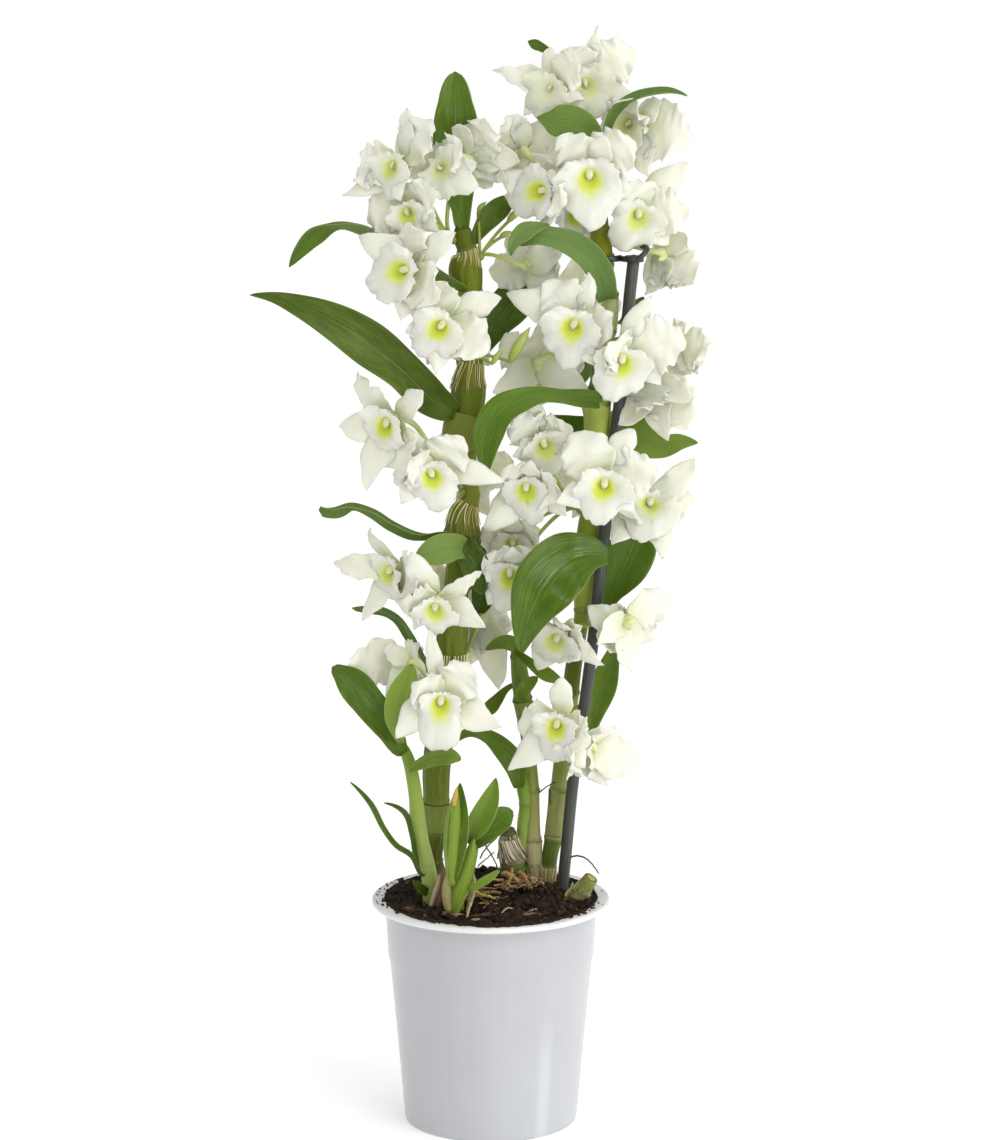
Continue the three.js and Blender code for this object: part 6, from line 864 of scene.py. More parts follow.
def make_mix():
    g = Geo()
    rng = np.random.default_rng(11)
    nr, nt = 46, 150
    rr = np.linspace(0.6, 52.6, nr)
    th = np.linspace(0, 2 * math.pi, nt, endpoint=False)
    R, T = np.meshgrid(rr, th, indexing="ij")
    X, Y = R * np.cos(T), R * np.sin(T)
    Z = mix_height(X, Y)
    Z = Z + rng.uniform(-0.55, 0.55, Z.shape) + 0.6 * np.sin(X * 1.7 + 3 * np.sin(Y * 0.8)) * np.sin(Y * 1.5) + 0.7 * np.sin(X * 0.9 + 2 * np.sin(Y * 0.5)) * np.sin(Y * 0.8 + 1.0)
    Z[-2:] = np.maximum(Z[-2:], 114.4)
    n = nr * nt
    top = np.stack([X, Y, Z], -1).reshape(-1, 3)
    side = []
    # the mix spills a little over the pot's flange at the front
    front = np.exp(-((th - 4.80) / 0.85) ** 2)
    rag = np.convolve(np.tile(rng.uniform(-1, 1, nt), 3), np.ones(5) / 5, mode="same")[nt:2 * nt] * 2.6
    lip = np.maximum(53.6 + 4.2 * front + (rag + rng.uniform(-0.6, 0.8, nt)) * (0.25 + front), 53.45)
    for rl, zl in ((53.3 * np.ones(nt), 115.35 + 0.35 * front + rng.uniform(0, 0.35, nt)), (lip - 0.5, 115.3 + 0.25 * front + rng.uniform(0, 0.3, nt)), (lip, 115.08 * np.ones(nt)), (53.4 * np.ones(nt), 115.05 * np.ones(nt))):
        side.append(np.stack([rl * np.cos(th), rl * np.sin(th), zl], -1))
    for z, r in ((113.0, 51.4), (84.0, 49.2), (3.0, 41.4)):
        side.append(np.stack([r * np.cos(th), r * np.sin(th), np.full(nt, z)], -1))
    allv = np.concatenate([top, *side, [[0, 0, 115.4], [0, 0, 2.4]]])
    idx = np.arange((nr + 7) * nt).reshape(nr + 7, nt)
    w = np.concatenate([idx, idx[:, :1]], 1)
    quads = np.stack([w[:-1, :-1].ravel(), w[1:, :-1].ravel(), w[1:, 1:].ravel(), w[:-1, 1:].ravel()], 1)
    k = (nr + 7) * nt
    tris = [[k, w[0, j], w[0, j + 1]] for j in range(nt)] + [[k + 1, w[-1, j + 1], w[-1, j]] for j in range(nt)]
    g.add(allv, quads, tris, 0, None, srgb(58, 45, 36))
    tones = [srgb(62, 48, 38), srgb(74, 57, 44), srgb(50, 39, 32), srgb(92, 70, 50), srgb(68, 56, 46), srgb(128, 102, 72)]
    for i in range(900):
        a = rng.uniform(0, 2 * math.pi); r = 52.2 * math.sqrt(rng.uniform(0, 1))
        x, y = r * math.cos(a), r * math.sin(a)
        s = 0.5 + 2.0 * rng.uniform() ** 2.2 + (0.7 if rng.uniform() < 0.06 else 0)
        size = np.array([s * rng.uniform(0.8, 1.5), s * rng.uniform(0.6, 1.1), s * rng.uniform(0.4, 0.8)])
        if r + 0.5 * max(size) > 53.0:
            continue
        z = float(mix_height(x, y)) + s * rng.uniform(-0.15, 0.45) + rng.uniform(-0.3, 0.5)
        tone = tones[int(rng.choice(6, p=[0.3, 0.2, 0.24, 0.1, 0.12, 0.04]))]
        chunk(g, np.array([x, y, z]), size, rng, tone)
    for i in range(60):
        a = rng.uniform(0, 2 * math.pi); r = 47 * math.sqrt(rng.uniform(0, 1))
        x, y = r * math.cos(a), r * math.sin(a)
        s = rng.uniform(1.7, 3.0)
        chunk(g, np.array([x, y, float(mix_height(x, y)) + s * 0.1]), np.array([s * rng.uniform(0.9, 1.4), s * rng.uniform(0.7, 1.1), s * rng.uniform(0.4, 0.6)]), rng, tones[(0, 2, 2, 4)[int(rng.integers(0, 4))]])
    # big dark clods, most of them at the front
    for i in range(44):
        if i < 26:
            a = rng.normal(-1.15, 0.5); r = rng.uniform(18, 48)
        else:
            a = rng.uniform(0, 2 * math.pi); r = 46 * math.sqrt(rng.uniform(0, 1))
        x, y = r * math.cos(a), r * math.sin(a)
        s = rng.uniform(2.2, 3.8)
        chunk(g, np.array([x, y, float(mix_height(x, y)) + s * 0.12]), np.array([s * rng.uniform(0.9, 1.5), s * rng.uniform(0.7, 1.1), s * rng.uniform(0.45, 0.75)]), rng, np.array(tones[(0, 2, 0, 4)[int(rng.integers(0, 4))]]) * rng.uniform(0.8, 1.15))
    # bark slivers
    for i in range(22):
        a = rng.normal(-1.9, 0.6) if i < 12 else rng.uniform(0, 6.28); r = rng.uniform(36, 50) if i < 12 else rng.uniform(5, 46)
        x, y = r * math.cos(a), r * math.sin(a); d = rng.uniform(-0.5, 0.5); L = rng.uniform(2.5, 6.0)
        p0 = np.array([x, y, float(mix_height(x, y)) + 1.5]); dv = np.array([math.cos(d), math.sin(d) * 0.6, rng.uniform(-0.1, 0.2)]) * L
        if math.hypot(*(p0 + dv)[:2]) > 52 or math.hypot(*(p0 - dv)[:2]) > 52: dv = dv * 0.4
        tube(g, hermite([p0 - dv, p0 + np.array([0, 0, 0.4]), p0 + dv], 5), np.array([0.25, 0.7, 0.85, 0.6, 0.2]), 7, 0, None, np.array((srgb(176, 142, 112), srgb(126, 96, 70), srgb(196, 170, 138), srgb(104, 80, 58))[i % 4]))
    for p, size, tone in ((P_LUMP, (2.6, 2.0, 1.8), srgb(60, 44, 36)), (np.array(P_WHITE) + (0, 0, 2.4), (1.5, 1.1, 1.3), srgb(232, 228, 216)), (np.array(P_WHITE) + (2.2, -1.5, 1.9), (1.0, 0.8, 1.0), srgb(224, 218, 204)), (np.array(P_SLIVER) + (0, 0, 1.8), (4.6, 0.8, 0.7), srgb(190, 160, 128))):
        chunk(g, np.array(p), np.array(size), rng, tone)
    # a few crumbs that lie on the pot's flange
    for i in range(150):
        a = rng.normal(-1.45, 0.6) if i < 80 else rng.uniform(0, 6.28) if i < 115 else rng.normal(3.0, 0.35)
        r = rng.uniform(53.2, 57.0) if i < 80 else rng.uniform(53.6, 58.5)
        s = rng.uniform(0.3, 1.25) if i < 80 else rng.uniform(0.2, 0.6)
        chunk(g, np.array([r * math.cos(a), r * math.sin(a), 115.0 + s * 0.4]), np.array([s, s * 0.8, s * 0.55]), rng, tones[int(rng.integers(0, 5))])
    # thin fibres lying on the mix
    for i in range(46):
        a = rng.uniform(0, 2 * math.pi); r = 46 * math.sqrt(rng.uniform(0, 1))
        x, y = r * math.cos(a), r * math.sin(a)
        d = rng.uniform(0, 2 * math.pi); L = rng.uniform(5, 13)
        ps = []
        for t in np.linspace(-0.5, 0.5, 7):
            xx = x + math.cos(d + 0.6 * t) * L * t; yy = y + math.sin(d + 0.6 * t) * L * t
            rr2 = math.hypot(xx, yy)
            if rr2 > 50: xx *= 50 / rr2; yy *= 50 / rr2
            ps.append((xx, yy, float(mix_height(xx, yy)) + 1.0 + 0.7 * math.cos(t * 5)))
        tube(g, hermite(ps, 12), rng.uniform(0.14, 0.3), 5, 0, None, tones[int(rng.integers(0, 6))])
    return g.build("mix_surface", [M["mix"]], "potting_mix")
make_mix()

# ------------------------------------------------------------------ leaves
def leaf_geo(g, rows, tone, seed=0, fold=0.16, wave=0.35, curl=0.0, thick=0.75, nu=44, nv=14, mat=0, blunt=0.15):
    rows = np.array(rows, float)
    rng = np.random.default_rng(seed)
    c = hermite(rows, nu)
    p = c[:, :3]
    side = c[:, 3:6]
    w = np.linalg.norm(side, axis=1)
    s = unit(side)
    t = unit(np.gradient(p, axis=0))
    s = unit(s - t * np.sum(s * t, axis=1, keepdims=True))
    nrm = np.cross(s, t)
    u = np.linspace(0, 1, nu)
    # round off the tip: blunt 0 keeps a long point, 1 gives a broad round end
    keep = 1.0 - 0.30 * blunt - 0.04
    uk = np.clip((u - keep) / (1 - keep), 0, 1)
    wk = np.interp(keep, u, w)
    round_w = wk * np.sqrt(np.clip(1 - uk ** 2, 0, 1))
    w = np.where(u > keep, np.maximum(w, round_w * (0.25 + 0.75 * blunt)) * np.where(uk > 0.9, np.sqrt(np.clip(1.0 - ((uk - 0.9) / 0.1) ** 2, 0.02, 1)), 1.0), w)
    w = np.maximum(w, 0.18)
    v = np.linspace(-1, 1, nv + 1)
    vv = np.sign(v) * np.abs(v) ** 0.9
    P = p[:, None] + s[:, None] * (w[:, None] * vv[None])[..., None]
    depth = -np.abs(vv)[None] ** 1.35 * w[:, None] * fold * 2
    depth = depth + curl * (vv[None] ** 2) * w[:, None]
    ph = rng.uniform(0, 6, 4)
    env = np.sin(math.pi * np.clip(u, 0, 1)) ** 0.7
    depth = depth + wave * env[:, None] * (np.where(vv[None] > 0, np.sin(u * 13 + ph[0])[:, None], np.sin(u * 11 + ph[1])[:, None]) * np.abs(vv[None]) ** 2)
    depth = depth - 0.28 * np.exp(-(vv[None] / 0.06) ** 2) * np.ones((nu, 1))
    P = P + nrm[:, None] * depth[..., None]
    th = thick * (1 - 0.72 * np.abs(v)[None] ** 3) * (1 - 0.5 * u[:, None] ** 6) + 0.35 * np.exp(-(v[None] / 0.09) ** 2)
    at = np.stack([np.broadcast_to(u[:, None], (nu, nv + 1)), np.broadcast_to(v[None], (nu, nv + 1)), np.full((nu, nv + 1), seed * 1.7)], -1)
    shell(g, P[:, ::-1], th[:, ::-1], mat, at[:, ::-1], tone)

# ------------------------------------------------------------------ canes
def cane_geo(g, name, sides=30, step=1.1, ribs=0, rib_amp=0.0, nodes=(), colours=(), dry=(), node_w=1.2, node_amp=0.10, seed=0, flat1=False, node_dark=0.40):
    rows = np.array(CANES[name], float)
    d = np.linalg.norm(np.diff(rows[:, :3], axis=0), axis=1)
    L = d.sum()
    n = max(int(L / step), 12)
    pts = hermite(rows, n)
    z = pts[:, 2]
    rad = pts[:, 3].copy()
    rng = np.random.default_rng(seed)
    th = np.linspace(0, 2 * math.pi, sides, endpoint=False)
    s = np.linspace(0, L, n)
    bump = np.zeros(n)
    for zn in nodes:
        bump += np.exp(-((z - zn) / node_w) ** 2)
    rad = rad * (1 + node_amp * np.clip(bump, 0, 1))
    shape = np.ones((n, sides))
    if ribs:
        thick = np.clip((rad - 4.6) / 2.5, 0, 1)
        ph = 0.5 * np.sin(s / 23.0)
        shape -= (rib_amp * thick * (1 - np.clip(bump, 0, 1)))[:, None] * (0.5 + 0.5 * np.cos(ribs * th[None] + ph[:, None] * 2)) ** 3
    shape += 0.012 * np.sin(3 * th[None] + s[:, None] / 19.0)
    shape += rng.normal(0, 0.0035, shape.shape)
    cz = np.array([c[0] for c in colours], float)
    order = np.argsort(cz)
    cols = np.array([colours[i][1] for i in order], float)
    tone = np.stack([np.interp(z, cz[order], cols[:, i]) for i in range(3)], 1)
    dr = np.zeros(n)
    for z0, z1, v in dry:
        dr = np.maximum(dr, v * np.clip((z - z0) / 3 + 0.5, 0, 1) * np.clip((z1 - z) / 3 + 0.5, 0, 1))
    dr = np.maximum(dr, 0.5 * node_dark * np.clip(bump, 0, 1))
    tone = tone * (1 - node_dark * np.clip(bump, 0, 1))[:, None]
    attr = np.stack([s / 100.0, np.zeros(n), dr], 1)
    t, a, b = tube(g, pts[:, :3], rad, sides, 0, attr, tone, shape, flat1=flat1)
    return pts, rad, t, a, b

def along(pts, rad, a, b, z):
    """Centre, radius and the two cross directions of a stem at height z."""
    zz = pts[:, 2]
    o = np.argsort(zz)
    f = lambda col: np.interp(z, zz[o], col[o])
    return (np.array([f(pts[:, 0]), f(pts[:, 1]), z]), f(rad),
            unit(np.array([f(a[:, 0]), f(a[:, 1]), f(a[:, 2])])), unit(np.array([f(b[:, 0]), f(b[:, 1]), f(b[:, 2])])))

def skirt(g, cf, z0, z1, n, tones, rng, flare=1.0, lift=0.3, width=0.26, drift=0.25, span=(0.0, 6.2832), mat=3, bias=0.0):
    """Dry strands that leave a node at z0 and lie over the stem's shoulder down (or up) to z1."""
    pts, rad, t, a, b = cf
    for i in range(n):
        q0 = span[0] + (span[1] - span[0]) * (i + rng.uniform(0.1, 0.9)) / n
        dq = bias + rng.uniform(-drift, drift)
        end = z0 + (z1 - z0) * rng.uniform(0.72, 1.12)
        ps = []
        for k in range(9):
            u = k / 8
            c, r, aa, bb = along(pts, rad, a, b, z0 + (end - z0) * u)
            q = q0 + dq * u
            ps.append(c + (aa * math.cos(q) + bb * math.sin(q)) * (r + lift + flare * max(0, u - 0.6) ** 1.5 * rng.uniform(1.2, 2.4)))
        tube(g, hermite(ps, 12), np.linspace(width * rng.uniform(0.8, 1.2), width * 0.45, 12), 5, mat, None, np.array(tones[int(rng.integers(0, len(tones)))]) * rng.uniform(0.85, 1.12))

def sleeve(g, cf, z0, z1, tone, vang=-1.57, vdepth=3.0, vw=0.45, gap=0.3, flare=0.4, mat=0, thick=0.35, dry=0.0, ragged=0.0, rng=None, sides=48, rows=14, lcut=None):
    """A leaf's sheath clasping the stem from z0 up to z1, its edge dipping in a V at one side."""
    pts, rad, t, a, b = cf
    th = np.linspace(0, 2 * math.pi, sides, endpoint=False)
    d = (th - vang + math.pi) % (2 * math.pi) - math.pi
    top = z1 - vdepth * np.exp(-(d / vw) ** 2)
    if ragged and rng is not None:
        top = top - ragged * np.abs(np.sin(th * 3 + rng.uniform(0, 6)) * np.sin(th * 7 + rng.uniform(0, 6))) - rng.uniform(0, ragged * 0.5, sides)
    P = np.empty((rows, sides, 3)); A = np.zeros((rows, sides, 3))
    for i in range(rows):
        u = i / (rows - 1)
        for j in range(sides):
            z = z0 + (top[j] - z0) * u
            c, r, aa, bb = along(pts, rad, a, b, z)
            g0 = gap * min(1, u * 5) + flare * u ** 4
            P[i, j] = c + (aa * math.cos(th[j]) + bb * math.sin(th[j])) * (r + g0 + 0.05)
            A[i, j] = (z / 100.0, th[j] / 6.2832, dry)
    shell(g, P, thick, mat, A, tone, closed=True)

STRAW = [srgb(224, 218, 170), srgb(206, 196, 136), srgb(234, 230, 194), srgb(178, 168, 104)]
crng = np.random.default_rng(5)

# left cane: thick swollen joints with ribs
g = Geo()
LC = cane_geo(g, "left_cane", node_dark=0.2, sides=44, step=0.9, ribs=11, rib_amp=0.075, seed=3, node_w=1.1, node_amp=0.07,
    nodes=[127.6, 160.5, 194.7, 229.0, 266.7, 300.1, 319.3, 344.4, 373.4, 392.8, 416.0, 441.2, 450.0],
    colours=[(110.7, srgb(85, 78, 37)), (127.6, srgb(68, 73, 28)), (142.5, srgb(66, 78, 27)), (144.1, srgb(103, 115, 45)), (160.5, srgb(96, 110, 34)), (194.1, srgb(90, 104, 31)),
             (228.5, srgb(88, 102, 31)), (245.1, srgb(96, 110, 36)), (265.7, srgb(103, 110, 36)), (286.0, srgb(96, 112, 34)), (299.1, srgb(88, 97, 27)), (310.2, srgb(109, 115, 37)),
             (319.3, srgb(120, 126, 44)), (331.3, srgb(110, 121, 39)), (341.4, srgb(103, 112, 37)), (358.4, srgb(101, 112, 36)), (360.4, srgb(85, 100, 23)), (373.4, srgb(88, 102, 23)),
             (385.3, srgb(109, 112, 37)), (393.7, srgb(118, 125, 42)), (406.1, srgb(103, 115, 31)), (421.5, srgb(99, 113, 23)), (434.8, srgb(103, 110, 23)), (440.7, srgb(116, 121, 47)), (442.6, srgb(77, 89, 16)), (449.0, srgb(92, 100, 23)), (452.0, srgb(88, 100, 28))],
    dry=[(436.7, 440.7, 0.25), (376.4, 384.3, 0.06), (303.2, 313.2, 0.08), (110.7, 122.3, 0.4)])
skirt(g, LC, 440.7, 433.8, 34, STRAW, crng, flare=0.4)
skirt(g, LC, 385.3, 372.4, 30, STRAW, crng, flare=0.8, width=0.3)
skirt(g, LC, 385.3, 391.3, 12, STRAW, crng, flare=2.2, width=0.26)
skirt(g, LC, 314.8, 303.2, 26, STRAW, crng, flare=0.7, width=0.36, drift=0.3)
skirt(g, LC, 271.8, 264.6, 30, STRAW, crng, flare=0.5, width=0.3)
skirt(g, LC, 238.9, 229.2, 34, STRAW, crng, flare=0.7, width=0.3, drift=0.15)
skirt(g, LC, 198.0, 191.8, 22, STRAW, crng, flare=0.3, width=0.24)
sleeve(g, LC, 340.9, 360.4, srgb(118, 126, 52), vang=1.4, vdepth=6.0, vw=0.5)
sleeve(g, LC, 144.1, 159.4, srgb(110, 124, 58), vang=2.6, vdepth=5.0, vw=0.6, gap=0.22)
sleeve(g, LC, 286.0, 298.1, srgb(112, 128, 48), vang=1.2, vdepth=5.0)
sleeve(g, LC, 203.4, 218.8, srgb(108, 122, 52), vang=0.6, vdepth=6.0, gap=0.25)
sleeve(g, LC, 410.1, 421.0, srgb(112, 126, 40), vang=1.1, vdepth=4.0, gap=0.25)
# the growing tip's dry point
tube(g, hermite([[-14, 8, 449], [-13.5, 8, 452.5], [-12.1, 9, 455.8]], 10), np.linspace(3.0, 0.5, 10), 14, 0, None, srgb(104, 120, 46))
g.build("cane_left", [M["cane"], M["dry"], M["leaf"], M["straw"]], "left_cane")

# right cane: slimmer, pale streaked sheaths
g = Geo()
RC = cane_geo(g, "right_cane", sides=36, step=0.9, ribs=9, rib_amp=0.03, seed=7, node_w=1.0, node_amp=0.13,
    nodes=[138.1, 165.3, 192.9, 215.6, 258.2, 294.5, 319.1, 337.9, 368.3, 401.2, 419.5, 436.4, 450.8, 470.1],
    colours=[(109.1, srgb(112, 92, 58)), (122.0, srgb(124, 108, 70)), (125.2, srgb(78, 100, 40)), (137.0, srgb(90, 114, 46)), (139.1, srgb(174, 182, 120)), (161.1, srgb(160, 174, 108)),
             (174.4, srgb(128, 146, 72)), (211.2, srgb(150, 168, 84)), (216.6, srgb(92, 108, 36)), (234.9, srgb(88, 104, 30)), (255.6, srgb(150, 164, 74)), (268.6, srgb(166, 178, 84)), (291.9, srgb(128, 142, 52)),
             (312.4, srgb(142, 158, 62)), (337.4, srgb(176, 188, 92)), (353.2, srgb(166, 182, 84)), (365.8, srgb(150, 168, 68)), (369.3, srgb(88, 74, 26)), (372.8, srgb(92, 108, 18)), (382.8, srgb(104, 116, 28)),
             (395.7, srgb(160, 170, 90)), (402.7, srgb(214, 216, 170)), (417.5, srgb(206, 210, 156)), (420.5, srgb(132, 152, 66)), (431.5, srgb(186, 192, 136)), (437.4, srgb(134, 134, 26)), (450.3, srgb(124, 128, 26)), (455.3, srgb(118, 134, 52)), (489.7, srgb(120, 142, 58))],
    dry=[(109.1, 123.1, 0.7), (139.1, 158.3, 0.35), (402.7, 417.5, 0.25), (431.5, 436.9, 0.3)])
sleeve(g, RC, 337.4, 366.8, srgb(168, 184, 86), vang=0.9, vdepth=4.0, gap=0.3)
sleeve(g, RC, 401.2, 419.0, srgb(200, 206, 150), vang=0.8, vdepth=3.0, gap=0.25)
sleeve(g, RC, 139.6, 163.7, srgb(152, 162, 96), vang=-0.9, vdepth=7.0, gap=0.25, dry=0.3)
sleeve(g, RC, 260.2, 279.0, srgb(160, 172, 80), vang=-0.4, vdepth=5.0, gap=0.25)
sleeve(g, RC, 192.9, 208.7, srgb(150, 166, 84), vang=-0.6, vdepth=5.0, gap=0.25)
skirt(g, RC, 431.5, 436.4, 20, STRAW, crng, flare=0.5, width=0.24)
skirt(g, RC, 369.3, 366.3, 20, STRAW, crng, flare=0.6, width=0.26)
skirt(g, RC, 400.7, 397.7, 16, STRAW, crng, flare=0.4, width=0.22)
skirt(g, RC, 123.1, 111.2, 24, STRAW, crng, flare=0.9, width=0.3)
tube(g, hermite([[54.4, 7, 489.7], [54.4, 6, 492.7], [53.8, 5, 495.7]], 8), np.linspace(2.4, 0.5, 8), 12, 0, None, srgb(120, 142, 58))
g.build("cane_right", [M["cane"], M["dry"], M["leaf"], M["straw"]], "right_cane")

# centre cane with its small leaves
g = Geo()
CC = cane_geo(g, "centre_cane", sides=32, step=0.9, ribs=9, rib_amp=0.05, seed=9, node_w=1.0, node_amp=0.16,
    nodes=[124.9, 138.3, 164.0, 200.1, 212.7, 234.8],
    colours=[(109.1, srgb(170, 158, 112)), (124.9, srgb(208, 200, 156)), (137.3, srgb(190, 188, 126)), (158.8, srgb(168, 174, 96)), (172.1, srgb(132, 146, 64)), (200.1, srgb(100, 118, 46)), (216.9, srgb(94, 116, 44)), (243.2, srgb(104, 128, 52))],
    dry=[(109.1, 161.4, 0.22)])
skirt(g, CC, 124.9, 122.3, 20, STRAW, crng, flare=0.6, width=0.22)
skirt(g, CC, 123.3, 111.4, 16, STRAW, crng, flare=0.4, width=0.26)
sleeve(g, CC, 125.4, 137.3, srgb(206, 198, 152), vang=-2.2, vdepth=3.0, gap=0.25, dry=0.3, ragged=1.2, rng=crng)
sleeve(g, CC, 201.1, 211.7, srgb(108, 126, 52), vang=2.0, vdepth=3.0, gap=0.25)
for i, name in enumerate(("leaf_centre_a", "leaf_centre_b", "leaf_centre_c", "leaf_hanging")):
    leaf_geo(g, LEAVES[name], ((0.55, 0.62, 0.6, 0.5)[i], 0.1, 0.3), seed=60 + i, mat=2, nu=26, nv=8, fold=0.22)
g.build("cane_centre", [M["cane"], M["dry"], M["leaf"], M["straw"]], "centre_cane")

g = Geo()
TS = cane_geo(g, "thin_shoot", sides=20, step=0.9, seed=12, node_w=0.9, node_amp=0.10, nodes=[132.3, 157.4],
    colours=[(123.3, srgb(150, 168, 90)), (146.9, srgb(146, 174, 82)), (171.4, srgb(118, 146, 54))])
g.build("shoot_thin", [M["cane"], M["dry"], M["leaf"], M["straw"]], "thin_shoot")

g = Geo()
YS = cane_geo(g, "young_shoot", sides=32, step=0.9, seed=13, node_w=0.7, node_amp=0.012, node_dark=0.12, nodes=[135.0, 155.1],
    colours=[(113.8, srgb(124, 140, 64)), (126.8, srgb(160, 176, 98)), (147.4, srgb(156, 174, 94)), (167.9, srgb(146, 166, 78)), (197.1, srgb(110, 142, 42))])
# brown papery scale leaning on the shoot's base
leaf_geo(g, [[-26.8, -22, 110.4, 3.2, 0, 0], [-25.8, -24, 117.7, 3.8, 0, 0], [-24.8, -23, 124.6, 3.2, 0, 0], [-23.8, -21, 130.2, 2.2, 0, 0], [-23.3, -19, 135.8, 0.3, 0, 0]], srgb(134, 100, 74), seed=71, mat=1, nu=28, nv=10, fold=0.7, thick=0.35, wave=0.9)
leaf_geo(g, [[-30.3, -22, 110.9, 1.1, 0, 0], [-28.8, -24.5, 118.8, 1.5, 0, 0], [-26.8, -24, 125.9, 1.3, 0, 0], [-25.3, -22, 132.5, 0.3, 0, 0]], srgb(206, 190, 152), seed=80, mat=1, nu=20, nv=6, fold=0.5, thick=0.3, wave=0.5)
leaf_geo(g, LEAVES["leaf_soil"], (0.12, 0.0, 0.3), seed=72, mat=2, nu=20, nv=8)
g.build("shoot_young", [M["cane"], M["dry"], M["leaf"], M["straw"]], "young_shoot")

g = Geo()
cane_geo(g, "keiki_stem", sides=24, step=0.9, seed=14, node_w=0.9, node_amp=0.04, node_dark=0.2, nodes=[126.5],
    colours=[(108.5, srgb(104, 120, 54)), (126.8, srgb(112, 146, 58)), (144.2, srgb(96, 142, 50))])
K2 = cane_geo(g, "keiki_stem2", sides=24, step=0.9, seed=15, node_w=0.8, node_amp=0.04, node_dark=0.2, nodes=[121.3, 129.4, 139.4],
    colours=[(112.3, srgb(104, 104, 60)), (121.8, srgb(128, 144, 74)), (138.3, srgb(108, 136, 56)), (153.6, srgb(96, 128, 42))])
leaf_geo(g, LEAVES["leaf_keiki_c"], (0.46, 0.04, 0.0), seed=73, mat=2, nu=30, nv=12, blunt=0.8)
leaf_geo(g, [[-19.1, -42, 131.8, 1.8, 0, 0], [-19.5, -44.5, 144.7, 3.2, 0, 0], [-18.9, -46, 158.2, 4.2, 0, 0], [-17.9, -46, 170.3, 3.2, 0, 0], [-16.5, -45, 181.7, 0.4, 0, 0]], (0.74, 0.24, 0.2), seed=77, mat=2, nu=30, nv=8, fold=0.3)
leaf_geo(g, [[-17.9, -46.6, 173.5, 0.8, 0, 0], [-17.4, -46.8, 178.1, 1.2, 0, 0], [-16.4, -45.6, 182.8, 0.3, 0, 0]], srgb(226, 186, 84), seed=78, mat=1, nu=12, nv=6, fold=0.3, thick=0.4)
leaf_geo(g, [[-18.1, -38, 115.9, 2.8, 0, 0], [-15.6, -41.5, 126.6, 4.2, 0, 0], [-12.6, -43, 137.2, 4.2, 0, 0], [-10.2, -43, 147.3, 3, 0, 0], [-8.2, -41.5, 156.1, 0.5, 0, 0]], (0.70, 0.22, 0.2), seed=75, mat=2, nu=28, nv=8, fold=0.5)
leaf_geo(g, [[-20.6, -39, 117.7, 2, 0, 0], [-21.5, -41, 127.5, 2.6, 0, 0], [-20.5, -42, 135.9, 2, 0, 0], [-19, -42, 142, 0.4, 0, 0]], srgb(170, 168, 112), seed=79, mat=1, nu=20, nv=6, fold=0.5, thick=0.4)
leaf_geo(g, LEAVES["leaf_keiki_d"], (0.7, 0.1, 0.1), seed=74, mat=2, nu=22, nv=8)
# fine white root hairs
for i in range(16):
    p = np.array([-16.6, -35, 142.2]) + crng.uniform(-1, 1, 3) * (3.5, 0.8, 2.6)
    q = p + np.array([crng.uniform(-5, 5), crng.uniform(-1.0, 0.6), crng.uniform(-3.5, 4.5)])
    tube(g, hermite([p, (p + q) / 2 + crng.uniform(-0.6, 0.6, 3), q], 7), np.linspace(0.24, 0.1, 7), 5, 1, None, srgb(222, 216, 190))
g.build("keiki_shoots", [M["cane"], M["dry"], M["leaf"], M["straw"]], "keiki")

g = Geo()
OS = cane_geo(g, "old_stump", sides=52, step=0.7, ribs=17, rib_amp=0.05, seed=16, node_w=0.9, node_amp=0.06, nodes=[122.5, 138.0],
    colours=[(109.6, srgb(58, 84, 22)), (123.1, srgb(66, 98, 24)), (125.7, srgb(84, 104, 40)), (137.0, srgb(130, 124, 92)), (138.6, srgb(96, 98, 56)), (143.0, srgb(92, 84, 56))],
    dry=[(127.3, 137.0, 0.5)], flat1=True)
sleeve(g, OS, 127.3, 137.5, srgb(150, 140, 112), vang=-2.0, vdepth=2.0, gap=0.25, flare=0.3, dry=0.85, ragged=1.0, rng=crng, mat=1)
RIBS = [srgb(222, 218, 196), srgb(186, 178, 148), srgb(126, 116, 88), srgb(204, 198, 170), srgb(96, 88, 62)]
skirt(g, OS, 139.6, 129.1, 60, RIBS, crng, flare=1.6, lift=0.7, width=0.50, drift=0.12, bias=0.55)
skirt(g, OS, 142.2, 138.0, 24, RIBS, crng, flare=1.2, lift=0.4, width=0.34, drift=0.4)
g.build("stump_old", [M["cane"], M["dry"], M["leaf"], M["straw"]], "old_stump")

g = Geo()
CS = cane_geo(g, "cut_stub", sides=26, step=0.6, seed=17, node_w=0.8, node_amp=0.10, nodes=[119.9],
    colours=[(114.7, srgb(86, 88, 50)), (119.9, srgb(104, 118, 58)), (125.6, srgb(128, 136, 74))], flat1=True)
e = CS[0][-1, :3]; tt = CS[2][-1]; aa, bb = CS[3][-1], CS[4][-1]
thc = np.linspace(0, 2 * math.pi, 22, endpoint=False)
for r0, r1, z0, z1, col in ((2.3, 3.2, 0.25, 0.0, srgb(120, 108, 60)), (0.0, 2.3, 0.32, 0.25, srgb(184, 178, 118))):
    P = np.stack([e + tt * (0.12 + z0 * 0.5) + (aa * np.cos(thc)[:, None] + bb * np.sin(thc)[:, None]) * max(r0, 0.05), e + tt * (0.12 + z1 * 0.5) + (aa * np.cos(thc)[:, None] + bb * np.sin(thc)[:, None]) * r1])
    shell(g, P[:, ::-1], 0.2, 1, None, col, closed=True)
sleeve(g, CS, 115.3, 121.5, srgb(150, 146, 92), vang=-1.2, vdepth=3.5, vw=0.7, gap=0.35, flare=0.5, dry=0.6, ragged=2.2, rng=crng, mat=1, sides=36, rows=10)
